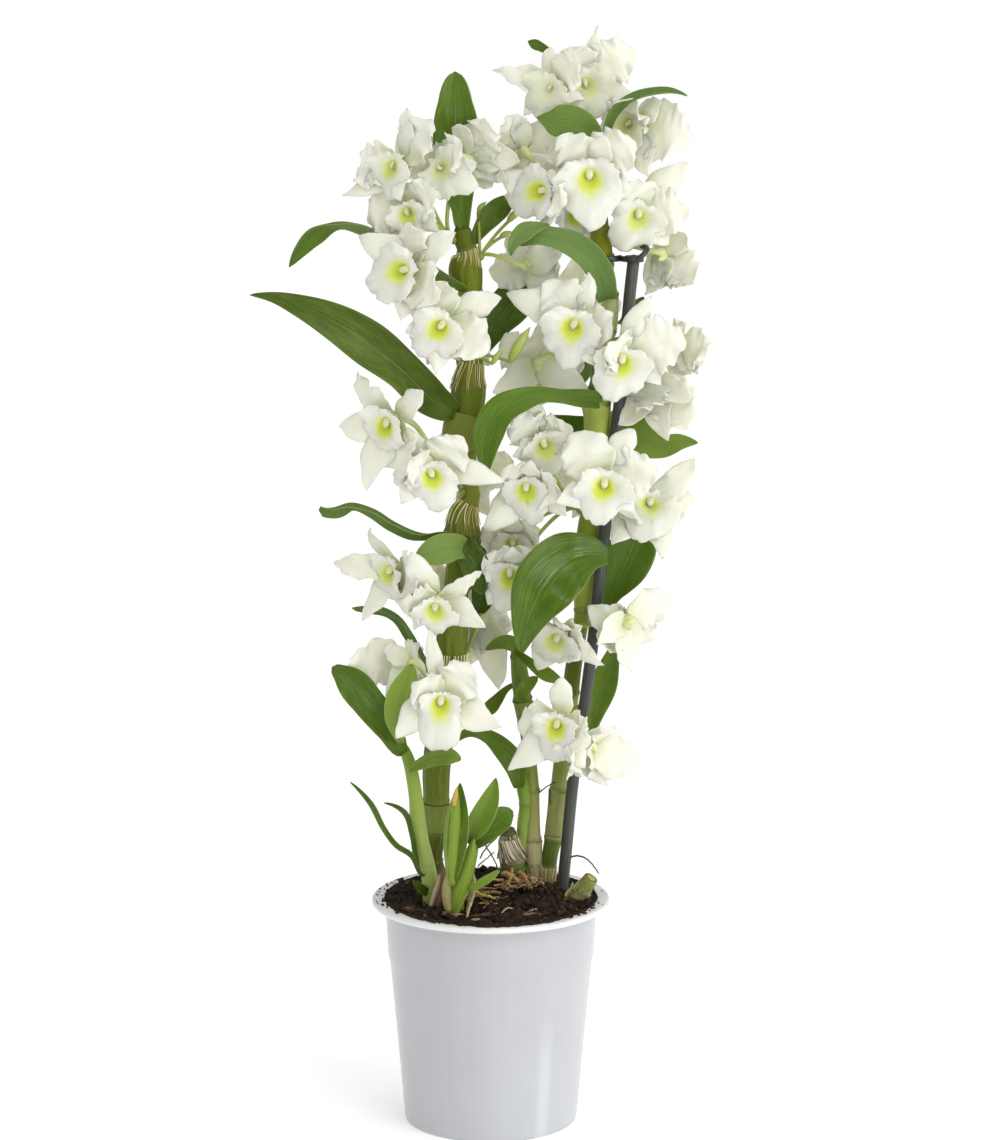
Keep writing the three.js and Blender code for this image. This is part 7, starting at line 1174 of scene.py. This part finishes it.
skirt(g, CS, 118.4, 123.1, 12, STRAW, crng, flare=0.8, width=0.22)
CS2 = cane_geo(g, "cut_stub2", sides=20, step=0.7, seed=18, node_w=0.8, node_amp=0.08, nodes=[],
    colours=[(112.4, srgb(96, 92, 50)), (119.4, srgb(140, 144, 72))], flat1=True)
skirt(g, CS2, 115.0, 121.0, 16, STRAW, crng, flare=1.4, width=0.3, drift=0.4)
g.build("stub_cut", [M["cane"], M["dry"], M["leaf"], M["straw"]], "cut_stub")


LEAF_LOOK = {
    "leaf_left_top": (0.40, 0.03, 0.1), "leaf_left_top_right": (0.30, 0.05, 0.2), "leaf_left_arch": (0.58, 0.05, 0.4), "leaf_left_large": (0.12, 0.05, 0.30),
    "leaf_left_twist": (0.46, 0.04, 0.8), "leaf_left_fold": (0.80, 0.16, 0.9), "leaf_left_fold2": (0.10, 0.0, 0.3), "leaf_left_back": (0.22, 0.0, 0.3), "leaf_left_slim": (0.42, 0.0, 0.9),
    "leaf_right_top_left": (0.58, 0.07, 0.75), "leaf_right_top": (0.52, 0.0, 0.85), "leaf_right_tip": (0.35, 0.0, 0.3), "leaf_right_arch": (0.50, 0.02, 1.0),
    "leaf_centre_dark": (0.24, 0.02, 0.2), "leaf_right_bow": (0.40, 0.02, 0.3), "leaf_right_far": (0.84, 0.06, 0.6), "leaf_right_far2": (0.40, 0.0, 0.5),
    "leaf_right_glossy": (0.30, 0.01, -0.35), "leaf_right_low": (0.56, 0.02, 0.1), "leaf_right_upright": (0.66, 0.02, 0.2), "leaf_young_left": (0.34, 0.0, 0.1),
    "leaf_young_front": (0.96, 0.16, 0.2), "leaf_young_right": (0.68, 0.10, 0.1), "leaf_grass_a": (0.34, 0.03, 0.6), "leaf_grass_b": (0.22, 0.02, 0.6),
    "leaf_keiki_front": (0.36, 0.02, 0.2), "leaf_keiki_right": (0.66, 0.10, 0.1), "leaf_thin_top": (0.45, 0.05, 0.2), "leaf_right_bit": (0.3, 0.0, 0.3), "leaf_right_arch2": (0.62, 0.0, 1.0),
    "leaf_back_a": (0.42, 0.03, 0.2), "leaf_back_b": (0.50, 0.03, 0.2), "leaf_back_c": (0.46, 0.05, 0.2)}
LEAF_BLUNT = {"leaf_left_top": 0.8, "leaf_right_top_left": 0.15, "leaf_young_left": 0.6, "leaf_young_front": 0.6, "leaf_young_right": 0.8, "leaf_right_arch": 0.5,
    "leaf_left_slim": 0.3, "leaf_right_tip": 0.8, "leaf_keiki_front": 0.25, "leaf_left_twist": 0.4, "leaf_centre_dark": 0.4, "leaf_right_upright": 0.35, "leaf_left_fold": 0.5}
LEAF_FOLD = {"leaf_left_fold": 0.22, "leaf_keiki_front": 0.34, "leaf_keiki_right": 0.3, "leaf_left_slim": 0.5, "leaf_left_twist": 0.3, "leaf_young_left": 0.24, "leaf_right_top_left": 0.1}
k = 0
for node, names in LEAF_NODES.items():
    g = Geo()
    for name in names:
        k += 1
        rows = LEAVES[name]
        small = len(rows) <= 4
        leaf_geo(g, rows, LEAF_LOOK.get(name, (0.5, 0.05, 0.2)), seed=k, nu=26 if small else 48, nv=8 if small else 14, blunt=LEAF_BLUNT.get(name, 0.15), fold=LEAF_FOLD.get(name, 0.16))
    g.build("blade_" + node, [M["leaf"]], node)


# ------------------------------------------------------------------ flowers
WIDE = {("R2", 0): 0.72, ("R1", 1): 0.46, ("R1", 2): 0.7, ("R3", 4): 1.1, ("R22", 4): 0.75, ("R22", 0): 0.8, ("R24", 1): 0.8,
        ("L12", 0): 0.6, ("L10", 0): 0.52, ("L10", 1): 0.5, ("L11", 4): 0.34, ("L8", 1): 0.5, ("L9", 3): 0.8, ("L9", 0): 0.9, ("R21", 3): 0.6, ("R10", 0): 0.8, ("R11", 0): 0.75}
SPIKE = {("R2", 0): 1.0, ("R1", 1): 0.9}       # tepals drawn out to a long thin point
DORSAL = ([0, .08, .2, .4, .6, .78, .9, .96, 1.0], [.50, .62, .84, 1.0, .96, .72, .44, .23, .03], 6.3)
LATERAL = ([0, .1, .25, .42, .6, .75, .88, .95, 1.0], [.70, .92, 1.0, .96, .80, .56, .31, .15, .03], 8.0)
PETAL = ([0, .08, .2, .38, .58, .74, .87, .95, 1.0], [.32, .50, .80, 1.0, .94, .73, .46, .25, .04], 12.0)

def ragged(rng, n, amount):
    """A torn-looking edge: small steps, softened a little."""
    r = rng.normal(0, amount, n)
    return np.convolve(np.pad(r, 1, mode="edge"), [0.22, 0.56, 0.22], mode="valid")

def tepal(g, c, tip, n, kind, s, rng, tint=0.0, twist=0.0, arch=1.0, nu=27, nv=12, wide=1.0, spike=0.0):
    L = np.linalg.norm(tip - c)
    d = (tip - c) / L
    up = n - d * (n @ d)
    if np.linalg.norm(up) < 0.15:
        up = np.array([0, 0, 1.0]) - d * d[2]
    up = up / np.linalg.norm(up)
    P0 = c + d * 1.4 * s - n * 0.6
    P1 = P0 + d * L * 0.34 + up * L * (0.10 + rng.uniform(-0.03, 0.05)) * arch
    P2 = tip - d * L * 0.28 + up * L * (0.12 + rng.uniform(-0.06, 0.08)) * arch
    u = np.linspace(0, 1, nu)[:, None]
    mid = (1 - u) ** 3 * P0 + 3 * (1 - u) ** 2 * u * P1 + 3 * (1 - u) * u ** 2 * P2 + u ** 3 * tip
    side0 = np.cross(up, d)
    mid = mid + side0 * (rng.uniform(-0.06, 0.06) * L) * np.sin(math.pi * u)
    t = unit(np.gradient(mid, axis=0))
    upn = unit(up - t * (t @ up)[:, None])
    side = np.cross(upn, t)
    tw = twist * u[:, 0] ** 1.2
    cs, sn = np.cos(tw)[:, None], np.sin(tw)[:, None]
    side, upn = side * cs + upn * sn, upn * cs - side * sn
    us, ws, W = (DORSAL, PETAL, LATERAL)[kind]
    W = W * wide * s * min(max(L / (26.5 * s), 0.75), 1.12) ** 0.5
    w = np.maximum(W * smoothprof(us, ws, u[:, 0]) * (1 + spike * (np.interp(u[:, 0], [0, .25, .5, .7, .85, 1], [1.45, 1.35, .95, .58, .42, .4]) - 1)), 0.22)
    v = np.linspace(-1, 1, nv + 1)
    ph = rng.uniform(0, 6.28, 8)
    petal = kind == 1
    slim = min(max((wide - 0.2) / 0.6, 0.25), 1.0)      # a narrow, strap-like tepal is hardly waved
    amp = (2.1 if petal else 0.8) * s * slim
    f = 2 * math.pi * (rng.uniform(1.9, 3.1) if petal else rng.uniform(0.9, 1.5))
    uu = u
    edge = np.where(v[None] > 0, np.sin(f * uu + ph[0]) + 0.55 * np.sin(2.3 * f * uu + ph[1]), np.sin(f * uu + ph[2]) + 0.55 * np.sin(2.1 * f * uu + ph[3]))
    grow = np.clip(uu * 2.2, 0, 1) * np.clip((1.06 - uu) * 5, 0, 1)
    dep = amp * edge * np.abs(v[None]) ** 2.2 * grow
    cup = rng.uniform(-0.06, 0.22) if petal else rng.uniform(-0.30, -0.08)
    base_cup = 0.45 * (1 - np.clip(uu / 0.28, 0, 1))
    dep = dep + (cup + base_cup) * w[:, None] * v[None] ** 2
    dep = dep - (0.16 if petal else 0.30) * np.exp(-(v[None] / 0.13) ** 2) * (1 - 0.5 * uu)
    dep = dep + (0.55 if petal else 0.16) * s * np.sin(f * 0.8 * uu + v[None] * 2.6 + ph[4]) * grow * (1 - 0.3 * np.abs(v[None]))
    dep = dep + (0.30 if petal else 0.10) * s * np.sin(f * 2.1 * uu + v[None] * 5.2 * np.sign(ph[7] - 3.1) + ph[7]) * grow * np.abs(v[None])
    dep = dep + 0.11 * np.sin(v[None] * 17 + ph[5]) * np.clip(uu * 5, 0, 1) * (1 - 0.55 * uu)
    # curl of the tip
    dep = dep + rng.uniform(-0.13, 0.10) * (1 - 0.8 * spike) * L * np.clip((uu - 0.72) / 0.28, 0, 1) ** 2
    rl, rr = ragged(rng, nu, (0.75 if petal else 0.2) * slim), ragged(rng, nu, (0.75 if petal else 0.2) * slim)
    av = np.abs(v)[None]
    lag = np.where(v[None] > 0, rr[:, None], rl[:, None]) * s * av ** 3 * grow
    wv = w[:, None] * (1 + 0.07 * np.sin(f * 1.4 * uu + ph[6] + np.sign(v)[None]) * av) + lag
    P = mid[:, None] + side[:, None] * (wv * v[None])[..., None] + upn[:, None] * dep[..., None]
    # the skin's thickness, thinner towards the sides and the tip
    th = (0.60 * (1 - 0.62 * av ** 2) * (1 - 0.35 * uu) + 0.10) * np.ones((nu, nv + 1))
    at = np.stack([np.broadcast_to(uu, (nu, nv + 1)), np.broadcast_to(v[None], (nu, nv + 1)), np.full((nu, nv + 1), float(kind))], -1)
    shell(g, P, th, 0, at, (tint, 0, 0))

def flower_geo(g, f, seed, stem_rows):
    rng = np.random.default_rng(seed)
    c = np.array(f["c"]); n = unit(np.array(f["n"])); d = unit(np.array(f["d"])); s = f["s"]
    kinds = (0, 1, 2, 2, 1)
    tint = f.get("tint", 0.0)
    for i in (2, 3, 0, 1, 4):
        tip = np.array(f["tips"][i])
        tepal(g, c + n * (0.5 if kinds[i] == 1 else 0.0), tip, n, kinds[i], s, rng, tint, rng.uniform(-0.45, 0.45) if kinds[i] == 1 else rng.uniform(-0.3, 0.3), 1.0, wide=WIDE.get((f.get("id", ""), i), 1.0), nv=12 if kinds[i] == 1 else 10, spike=SPIKE.get((f.get("id", ""), i), 0.0))
    # lip: a short funnel that opens into a frilled, pointed limb
    lipd = np.array(f["lip"]) - c
    lipd = lipd - n * (lipd @ n)
    lipd = lipd / (np.linalg.norm(lipd) + 1e-9)
    lipr = np.cross(n, lipd)
    mouth = c + n * 6.6 * s + lipd * 3.0 * s
    reach = float(np.clip(np.linalg.norm(np.array(f["lip"]) - mouth), 13.5 * s, 18.5 * s))
    ns, nt = 18, 58
    th = np.linspace(0, 2 * math.pi, nt, endpoint=False)
    tow = np.cos(th)
    ph = rng.uniform(0, 6.28, 6)
    R = np.interp(tow, [-1, -0.75, -0.35, 0.1, 0.55, 0.86, 1.0], [7.4, 8.8, 11.6, 13.2, 13.6, 14.4, 15.6]) * s
    lk = LIPK.get(f.get('id', ''), 1.0)
    R = R * lk
    reach = reach * lk * REACH.get(f.get('id', ''), 1.0)
    R = R + (reach - 15.6 * s * lk) * np.clip((tow - 0.2) / 0.8, 0, 1) ** 2
    R = R * (1 + 0.05 * np.sin(3 * th + ph[4]) + 0.045 * np.sin(5 * th + ph[5]) + 0.035 * np.sin(8 * th + ph[3])) + 1.3 * s * np.exp(-(1 - tow) / 0.035)
    P = np.empty((ns, nt, 3))
    us = np.linspace(0, 1, ns)
    e = np.cos(th)[:, None] * lipd + np.sin(th)[:, None] * lipr
    r0 = 3.9 * s
    jag = rng.normal(0, 1, nt)
    for i, q in enumerate(us):
        if q <= 0.34:
            k = q / 0.34
            cen = mouth - n * (2.7 * s * (1 - k) ** 1.2) - lipd * (0.9 * s * (1 - k) ** 1.5)
            rad = r0 * (0.10 + 0.90 * k ** 0.8) * (1 + 0.22 * np.clip(tow, 0, 1) * k)
            P[i] = cen + e * rad[:, None]
        else:
            k = (q - 0.34) / 0.66
            rad = r0 * (1 + 0.22 * np.clip(tow, 0, 1)) + (R - r0 * (1 + 0.22 * np.clip(tow, 0, 1))) * k ** 0.92
            lobe = np.clip(1 - np.abs(tow + 0.15) / 0.75, 0, 1)       # the two side lobes stand forward
            h = s * 2.3 * np.sin(min(k * 1.6, 1.0) * math.pi / 2) * (0.55 + 0.75 * lobe)
            h = h + s * 2.4 * lobe * k ** 1.3 - s * 5.6 * np.clip(tow, 0, 1) ** 0.8 * k ** 2.2 - s * 1.2 * np.clip(-tow - 0.6, 0, 1) * k
            wave = s * (0.15 * k + 1.9 * k ** 3) * (np.sin(7 * th + ph[0]) + 0.6 * np.sin(12 * th + ph[1])) * 0.62 + s * 0.13 * k * np.sin(26 * th + ph[2])
            tooth = s * 0.36 * k ** 4 * (np.sin(21 * th + ph[2]) + 0.7 * jag)
            P[i] = mouth + e * (rad + tooth)[:, None] + n * (h + wave)[:, None]
    tk = np.broadcast_to((0.62 - 0.42 * us)[:, None], (ns, nt))
    at = np.stack([np.broadcast_to(us[:, None], (ns, nt)), np.broadcast_to(th / 6.2832, (ns, nt)), np.broadcast_to((tow + 1) / 2, (ns, nt))], -1)
    shell(g, P, tk, 1, at, (THROAT.get(f.get('id', ''), 1.0), 1, 1), closed=True)
    # the pale column stands in the mouth, its cap at the end
    ck = COLK.get(f.get('id', ''), 1.0)
    ca = mouth - lipd * 3.3 * s - n * 2.8 * s
    cb = mouth - lipd * 1.9 * s - n * 0.3 * s
    cc = mouth + lipd * 1.0 * s - n * 0.5 * s + lipr * 0.3 * s * math.sin(seed)
    pts = hermite([ca, cb, cc], 14)
    tube(g, pts, np.array([1.7, 1.85, 1.9, 1.9, 1.85, 1.8, 1.75, 1.65, 1.6, 1.65, 1.6, 1.4, 0.95, 0.3]) * s * ck, 12, 2, np.stack([np.linspace(0, 1, 14), np.zeros(14), np.zeros(14)], 1))
    q = cb + n * 1.1 * s * ck + lipr * 0.4 * s
    tube(g, hermite([q - lipd * 0.7 * s, q + n * 0.15 * s, q + lipd * 0.7 * s], 8), np.array([0.25, 0.5, 0.62, 0.68, 0.68, 0.6, 0.45, 0.2]) * s * ck, 10, 2, (0.8, 0.5, 0))
    for sg in (-1, 1):
        q2 = q + lipd * 0.9 * s + lipr * 0.55 * s * sg - n * 0.1 * s
        tube(g, hermite([q2, q2 + lipd * 0.5 * s + n * 0.1 * s, q2 + lipd * 1.1 * s], 5), np.array([0.1, 0.22, 0.26, 0.2, 0.08]) * s, 6, 2, (0.5, 0, 0.85))
    # stem, ovary and chin
    p0 = np.array(stem_rows[:3]); out = np.array([stem_rows[3], stem_rows[4], 0.0])
    end = c - n * 1.0 * s
    dist = np.linalg.norm(end - p0)
    b1 = p0 + out * dist * 0.25 + np.array([0, 0, dist * 0.18])
    b2 = end - n * dist * 0.38
    q = np.linspace(0, 1, 22)[:, None]
    ped = (1 - q) ** 3 * p0 + 3 * (1 - q) ** 2 * q * b1 + 3 * (1 - q) * q ** 2 * b2 + q ** 3 * end
    qq = q[:, 0]
    rad = (1.0 + 0.03 * np.sin(qq * 40) + 0.5 * np.clip((qq - 0.55) / 0.3, 0, 1) + 1.1 * np.clip((qq - 0.86) / 0.12, 0, 1)) * s
    tube(g, ped, rad, 10, 3, np.stack([qq, np.zeros(22), np.zeros(22)], 1))
    chin = hermite([c + lipd * 0.6 * s, c - n * 2.6 * s + lipd * 2.6 * s, c - n * 5.4 * s + lipd * 3.4 * s], 8)
    tube(g, chin, np.array([2.9, 2.8, 2.6, 2.3, 1.9, 1.5, 1.0, 0.5]) * s, 12, 3, (0.9, 0, 0))
    # the funnel's outside, from the flower's heart to the limb
    fun = hermite([c - n * 0.4 * s, c * 0.5 + (mouth - n * 3.4 * s - lipd * 1.2 * s) * 0.5, mouth - n * 2.9 * s - lipd * 0.9 * s], 8)
    tube(g, fun, np.linspace(2.6, 2.9, 8) * s, 14, 3, (0.95, 0, 0))

def bud_geo(g, b, stem_rows, seed):
    p0 = np.array(stem_rows[:3]); base = np.array(b["base"]); tip = np.array(b["tip"])
    q = hermite([p0, p0 * 0.4 + base * 0.6 + np.array([0, 0, 1.0]), base], 10)
    tube(g, q, 0.8, 8, 3, (0.15, 0, 0))
    tip = base + (tip - base) * 1.45
    ax = hermite([base, base * 0.5 + tip * 0.5 + np.array([0, 0, 0.8]), tip], 14)
    k = np.linspace(0, 1, 14)
    tube(g, ax, b["r"] * 0.9 * (np.interp(k, [0, 0.15, 0.4, 0.7, 0.9, 1.0], [0.42, 0.8, 1.0, 0.74, 0.34, 0.08])), 12, 3, np.stack([0.2 + 0.4 * k, k * 0, k * 0], 1))

REACH = {"L12": 1.55}                            # a lip whose limb hangs further down
COLK = {"L1": 0.6, "L2": 0.65, "R1": 0.45, "R2": 0.7, "R3": 0.6, "L4": 0.75, "L3": 0.7}
THROAT = {"R1": 0.12, "L1": 0.7, "L2": 0.5, "L4": 0.8, "L3": 0.4, "R2": 0.42, "R3": 0.5, "R7": 0.75, "R15": 0.8, "R18": 0.7, "R19": 0.8, "L10": 0.8, "L11": 0.85, "R21": 0.7, "R24": 0.6}
LIPK = {"L12": 0.76, "L4": 0.82, "R16": 0.9, "R8": 0.85, "L9": 0.92, "R23": 0.9, "R19": 0.85, "R20": 0.9, "L11": 0.9, "R5": 1.06, "L5": 1.08, "R4": 1.12, "R10": 1.08}
MATS_F = [M["petal"], M["lip"], M["column"], M["pedicel"]]
seed = 100
for key, row in STEMS.items():
    g = Geo()
    for name, f in FLOWERS.items():
        seed += 1
        if f["g"] == key:
            f["id"] = name
            flower_geo(g, f, seed, row)
    for b in BUDS:
        if b["g"] == key:
            bud_geo(g, b, row, seed)
    # the short stalk that the flower stems leave from
    p0 = np.array(row[:3]); o = np.array([row[3], row[4], 0.2])
    tube(g, hermite([p0 - o * 0.6, p0 + o * 0.6, p0 + o * 1.8], 6), [1.9, 2.1, 2.2, 2.1, 1.8, 1.3], 12, 3, (0.0, 0, 0))
    g.build("blooms_" + key, MATS_F, "flowers_" + key)


# ------------------------------------------------------------------ stake, clip, roots
g = Geo()
rows = np.array(CANES["stake"], float)
tube(g, hermite(rows, 90)[:, :3], 3.0, 28, 0, None, None, None, flat1=False)
g.build("stake_rod", [M["stake"]], "stake")

def ring_path(c, r, z, a0, a1, n):
    return [(c[0] + r * math.cos(a), c[1] + r * math.sin(a), z) for a in np.linspace(a0, a1, n)]

g = Geo()
cc, sc0, zc = (57.6, 11.0), (70.2, 5.6), 436.6
path = ring_path(cc, 6.5, zc, math.radians(-14), math.radians(-330), 30)
strap = np.array(path)
def flat_band(geo, path, w, t, mat=0):
    path = np.array(path, float); n = len(path)
    tt, na, nb = transport(path, (0, 0, 1))
    prof_pts = [(w / 2 * s, t / 2 * u) for s, u in ((1, 0.55), (0.88, 1), (-0.88, 1), (-1, 0.55), (-1, -0.55), (-0.88, -1), (0.88, -1), (1, -0.55))]
    ring = np.stack([path + na * p + nb * q for p, q in prof_pts], 1)
    m = len(prof_pts)
    idx = np.arange(n * m).reshape(n, m); w2 = np.concatenate([idx, idx[:, :1]], 1)
    quads = np.stack([w2[:-1, :-1].ravel(), w2[:-1, 1:].ravel(), w2[1:, 1:].ravel(), w2[1:, :-1].ravel()], 1)
    k0 = n * m
    tris = [[k0, w2[0, j + 1], w2[0, j]] for j in range(m)] + [[k0 + 1, w2[-1, j], w2[-1, j + 1]] for j in range(m)]
    geo.add(np.concatenate([ring.reshape(-1, 3), [path[0], path[-1]]]), quads, tris, mat)
band = (ring_path(cc, 6.3, zc, math.radians(-10), math.radians(-300), 34))
flat_band(g, band, 3.0, 1.3)
band2 = [(cc[0] + 6.3 * math.cos(math.radians(-12)), cc[1] + 6.3 * math.sin(math.radians(-12)), zc), ((cc[0] + sc0[0]) / 2, (cc[1] + sc0[1]) / 2 - 1.2, zc)] 
band2 += ring_path(sc0, 4.3, zc, math.radians(-140), math.radians(150), 26)
flat_band(g, hermite(np.array(band2), 44), 2.8, 1.3)
hook = [(sc0[0] + 1.0, sc0[1] - 4.2, zc), (sc0[0] + 3.2, sc0[1] - 4.4, zc + 1.4), (sc0[0] + 5.4, sc0[1] - 3.6, zc + 3.4), (sc0[0] + 6.2, sc0[1] - 2.0, zc + 5.4), (sc0[0] + 5.0, sc0[1] - 0.8, zc + 6.4), (sc0[0] + 3.6, sc0[1] - 0.4, zc + 5.2)]
flat_band(g, hermite(np.array(hook), 26), 2.6, 1.6)
g.build("clip_strap", [M["clip"]], "clip")

g = Geo()
rrng = np.random.default_rng(21)
TAN = [srgb(158, 134, 84), srgb(132, 104, 62), srgb(176, 148, 92), srgb(164, 110, 52)]
for i, rows in enumerate(ROOTS):
    if i == 2:
        continue
    rows = np.array(rows, float)
    p = hermite(rows, 40)
    p[:, :3] += rrng.normal(0, 0.10, (40, 3))
    shape = 1 + rrng.uniform(-0.08, 0.08, (40, 12))
    tube(g, p[:, :3], p[:, 3] * 0.5, 12, 0, None, TAN[i % 4], shape)
def fine(pts, r, tone, wob=0.35, n=30):
    p = hermite(np.array(pts, float), n)
    p = p + rrng.normal(0, 1, (n, 3)) * wob * 0.3
    tube(g, p, np.linspace(r, r * 0.7, n), 6, 0, None, tone)
DARK = srgb(92, 78, 62)
fine([[40.5, 10, 132.8], [44.5, 8, 133.9], [49, 6, 132.3], [52.1, 6, 128.7], [54.6, 6, 125.5]], 0.5, srgb(104, 98, 88))
fine([[-5.5, 8, 132.8], [-1.5, 10, 138.6], [2.6, 14, 141.7], [3.6, 18, 144.3]], 0.45, DARK)
fine([[-5, 10, 141.7], [-2, 10, 137.5], [1.1, 10, 132.3], [3.1, 12, 126.5]], 0.5, srgb(120, 100, 78))
fine([[-6.5, 6, 129.2], [-2.5, 8, 132.3], [1.6, 10, 135.4]], 0.4, DARK)
fine([[24.4, 20, 163.6], [28.9, 20, 167.3], [33, 22, 168.9]], 0.4, srgb(90, 84, 60))
def curly(p0, L, r, tone, turn=0.75, n=9, rise=0.5):
    p = np.array(p0, float); h = rrng.uniform(0, 6.28); pts = [p.copy()]
    z0 = float(mix_height(p[0], p[1]))
    for k in range(n):
        h += rrng.normal(0, turn)
        p = p + np.array([math.cos(h), math.sin(h) * 0.8, rrng.normal(0.05, 0.5) * rise]) * L / n
        rr = math.hypot(p[0], p[1])
        if rr > 46: p[:2] *= 46 / rr
        p[2] = min(max(p[2], float(mix_height(p[0], p[1])) - 0.1), z0 + 7.5)
        pts.append(p.copy())
    q = hermite(np.array(pts), 34)
    rad = np.linspace(r, r * 0.55, 34) * (1 + 0.18 * np.sin(np.arange(34) * 1.3 + rrng.uniform(0, 6)))
    tube(g, q, rad, 7, 0, None, np.array(tone) * rrng.uniform(0.8, 1.15))
# the tangle of tan roots at the foot of the canes
WOOD = [srgb(196, 168, 124), srgb(166, 134, 94), srgb(212, 192, 150), srgb(136, 108, 78), srgb(188, 148, 96)]
for i in range(40):
    p0 = np.array([13.2, 6, 118.8]) + rrng.uniform(-1, 1, 3) * (8.5, 6.5, 0.6) + (0, 0, rrng.uniform(0.2, 4.2))
    curly(p0, rrng.uniform(6, 15), rrng.uniform(0.28, 0.75), WOOD[int(rrng.integers(0, 5))])
for p, q_, r_ in (([6.1, 6, 125.5], [15.2, 4, 120.3], 1.3), ([14.7, 8, 125.5], [19.2, 4, 118.3], 1.0), ([10.7, 10, 127.1], [8.6, 0, 120.4], 0.8)):
    p, q_ = np.array(p), np.array(q_)
    fine([p, (p + q_) / 2 + (0.8, -1.5, 1.2), q_], r_, WOOD[4], 0.8, 24)
for i in range(12):
    p0 = np.array([-3.4, -22, 118.1]) + rrng.uniform(-1, 1, 3) * (14, 9, 0.6) + (0, 0, 1.0)
    curly(p0, rrng.uniform(5, 14), rrng.uniform(0.22, 0.45), WOOD[int(rrng.integers(0, 5))], 0.6)
# the pale and the yellow-green root between the shoots
fine([[-9.3, -30, 134.7], [-7.8, -33, 129.4], [-9.3, -35, 122.7], [-11.2, -37, 117.2], [-11.7, -38, 112.8]], 0.95, srgb(200, 186, 146), 0.4, 34)
fine([[-8.8, -31, 127.8], [-5.3, -30, 124.4], [-1.4, -28, 122.9], [2.1, -27, 121.1]], 0.85, srgb(166, 168, 72), 0.4, 28)
fine([[4.6, -38, 112.8], [5.6, -36, 116.4], [8.6, -33, 118.1], [11.1, -31, 117]], 0.55, srgb(190, 176, 150), 0.4, 24)
g.build("root_tangle", [M["root"]], "roots")


# ------------------------------------------------------------------ stage and light
def stage():
    me = bpy.data.meshes.new("floor")
    s = 6.0
    me.from_pydata([(-s, -s, 0), (s, -s, 0), (s, s, 0), (-s, s, 0)], [], [(0, 1, 2, 3)])
    o = bpy.data.objects.new("floor", me)
    bpy.context.scene.collection.objects.link(o)
    k = Mat("floor_white", 0.9, 0.1)
    k.p.inputs["Base Color"].default_value = (0.92, 0.92, 0.92, 1)
    k.p.inputs["Emission Color"].default_value = (1, 1, 1, 1)
    k.p.inputs["Emission Strength"].default_value = FLOOR_GLOW
    me.materials.append(k.m)
FLOOR_GLOW = 0.22
stage()

# soft studio surround: brighter overhead and to the right, dimmer to the left
world = bpy.data.worlds.new("studio")
bpy.context.scene.world = world
world.use_nodes = True
wt = world.node_tree
bg = wt.nodes["Background"]
bg.inputs[0].default_value = (1, 1, 1, 1)
tc = wt.nodes.new("ShaderNodeTexCoord")
dot = wt.nodes.new("ShaderNodeVectorMath"); dot.operation = "DOT_PRODUCT"
dot.inputs[1].default_value = (0.80, -0.20, 0.45)
mr = wt.nodes.new("ShaderNodeMapRange")
mr.inputs[1].default_value = -0.9; mr.inputs[2].default_value = 0.9
mr.inputs[3].default_value = 0.44; mr.inputs[4].default_value = 1.12
lp = wt.nodes.new("ShaderNodeLightPath")
mx = wt.nodes.new("ShaderNodeMix")
mx.data_type = "FLOAT"
wt.links.new(tc.outputs["Generated"], dot.inputs[0])
wt.links.new(dot.outputs["Value"], mr.inputs[0])
wt.links.new(lp.outputs["Is Camera Ray"], mx.inputs[0])
# mirror-like reflections see a darker room, so the greens keep their depth
gl = wt.nodes.new("ShaderNodeMix")
gl.data_type = "FLOAT"
dim = wt.nodes.new("ShaderNodeMath"); dim.operation = "MULTIPLY"
dim.inputs[1].default_value = 0.45
wt.links.new(mr.outputs[0], dim.inputs[0])
# one soft box beside the camera, seen only in reflections
sbx = wt.nodes.new("ShaderNodeVectorMath"); sbx.operation = "DOT_PRODUCT"
sbx.inputs[1].default_value = (0.45, -0.86, 0.24)
wt.links.new(tc.outputs["Generated"], sbx.inputs[0])
sbr = wt.nodes.new("ShaderNodeMapRange"); sbr.interpolation_type = "SMOOTHSTEP"
sbr.inputs[1].default_value = 0.93; sbr.inputs[2].default_value = 0.985
sbr.inputs[3].default_value = 0.0; sbr.inputs[4].default_value = 5.0
wt.links.new(sbx.outputs["Value"], sbr.inputs[0])
sba = wt.nodes.new("ShaderNodeMath"); sba.operation = "ADD"
wt.links.new(dim.outputs[0], sba.inputs[0])
wt.links.new(sbr.outputs[0], sba.inputs[1])
wt.links.new(lp.outputs["Is Glossy Ray"], gl.inputs[0])
wt.links.new(mr.outputs[0], gl.inputs[2])
wt.links.new(sba.outputs[0], gl.inputs[3])
wt.links.new(gl.outputs[0], mx.inputs[2])
mx.inputs[3].default_value = 1.0
wt.links.new(mx.outputs[0], bg.inputs[1])

def area(name, loc, target, size, power, color=(1, 1, 1)):
    ld = bpy.data.lights.new(name, "AREA")
    ld.shape = "RECTANGLE"; ld.size = size[0]; ld.size_y = size[1]
    ld.energy = power; ld.color = color
    o = bpy.data.objects.new(name, ld)
    bpy.context.scene.collection.objects.link(o)
    o.location = loc
    from mathutils import Vector
    o.rotation_euler = Vector(np.array(target) - np.array(loc)).to_track_quat("-Z", "Y").to_euler()
    return o
area("strip", (1.28, -0.62, 0.22), (0, 0, 0.10), (0.07, 0.5), 4.0)
area("key", (0.9, -1.3, 1.5), (0, 0, 0.35), (0.9, 0.9), 8.0)
area("left_box", (-0.8, -1.1, 1.3), (0, 0, 0.30), (0.28, 0.28), 1.8)


sc = bpy.context.scene
sc.view_settings.view_transform = "Standard"
sc.view_settings.look = "None"
sc.view_settings.exposure = 0.0
sc.view_settings.gamma = 1.0
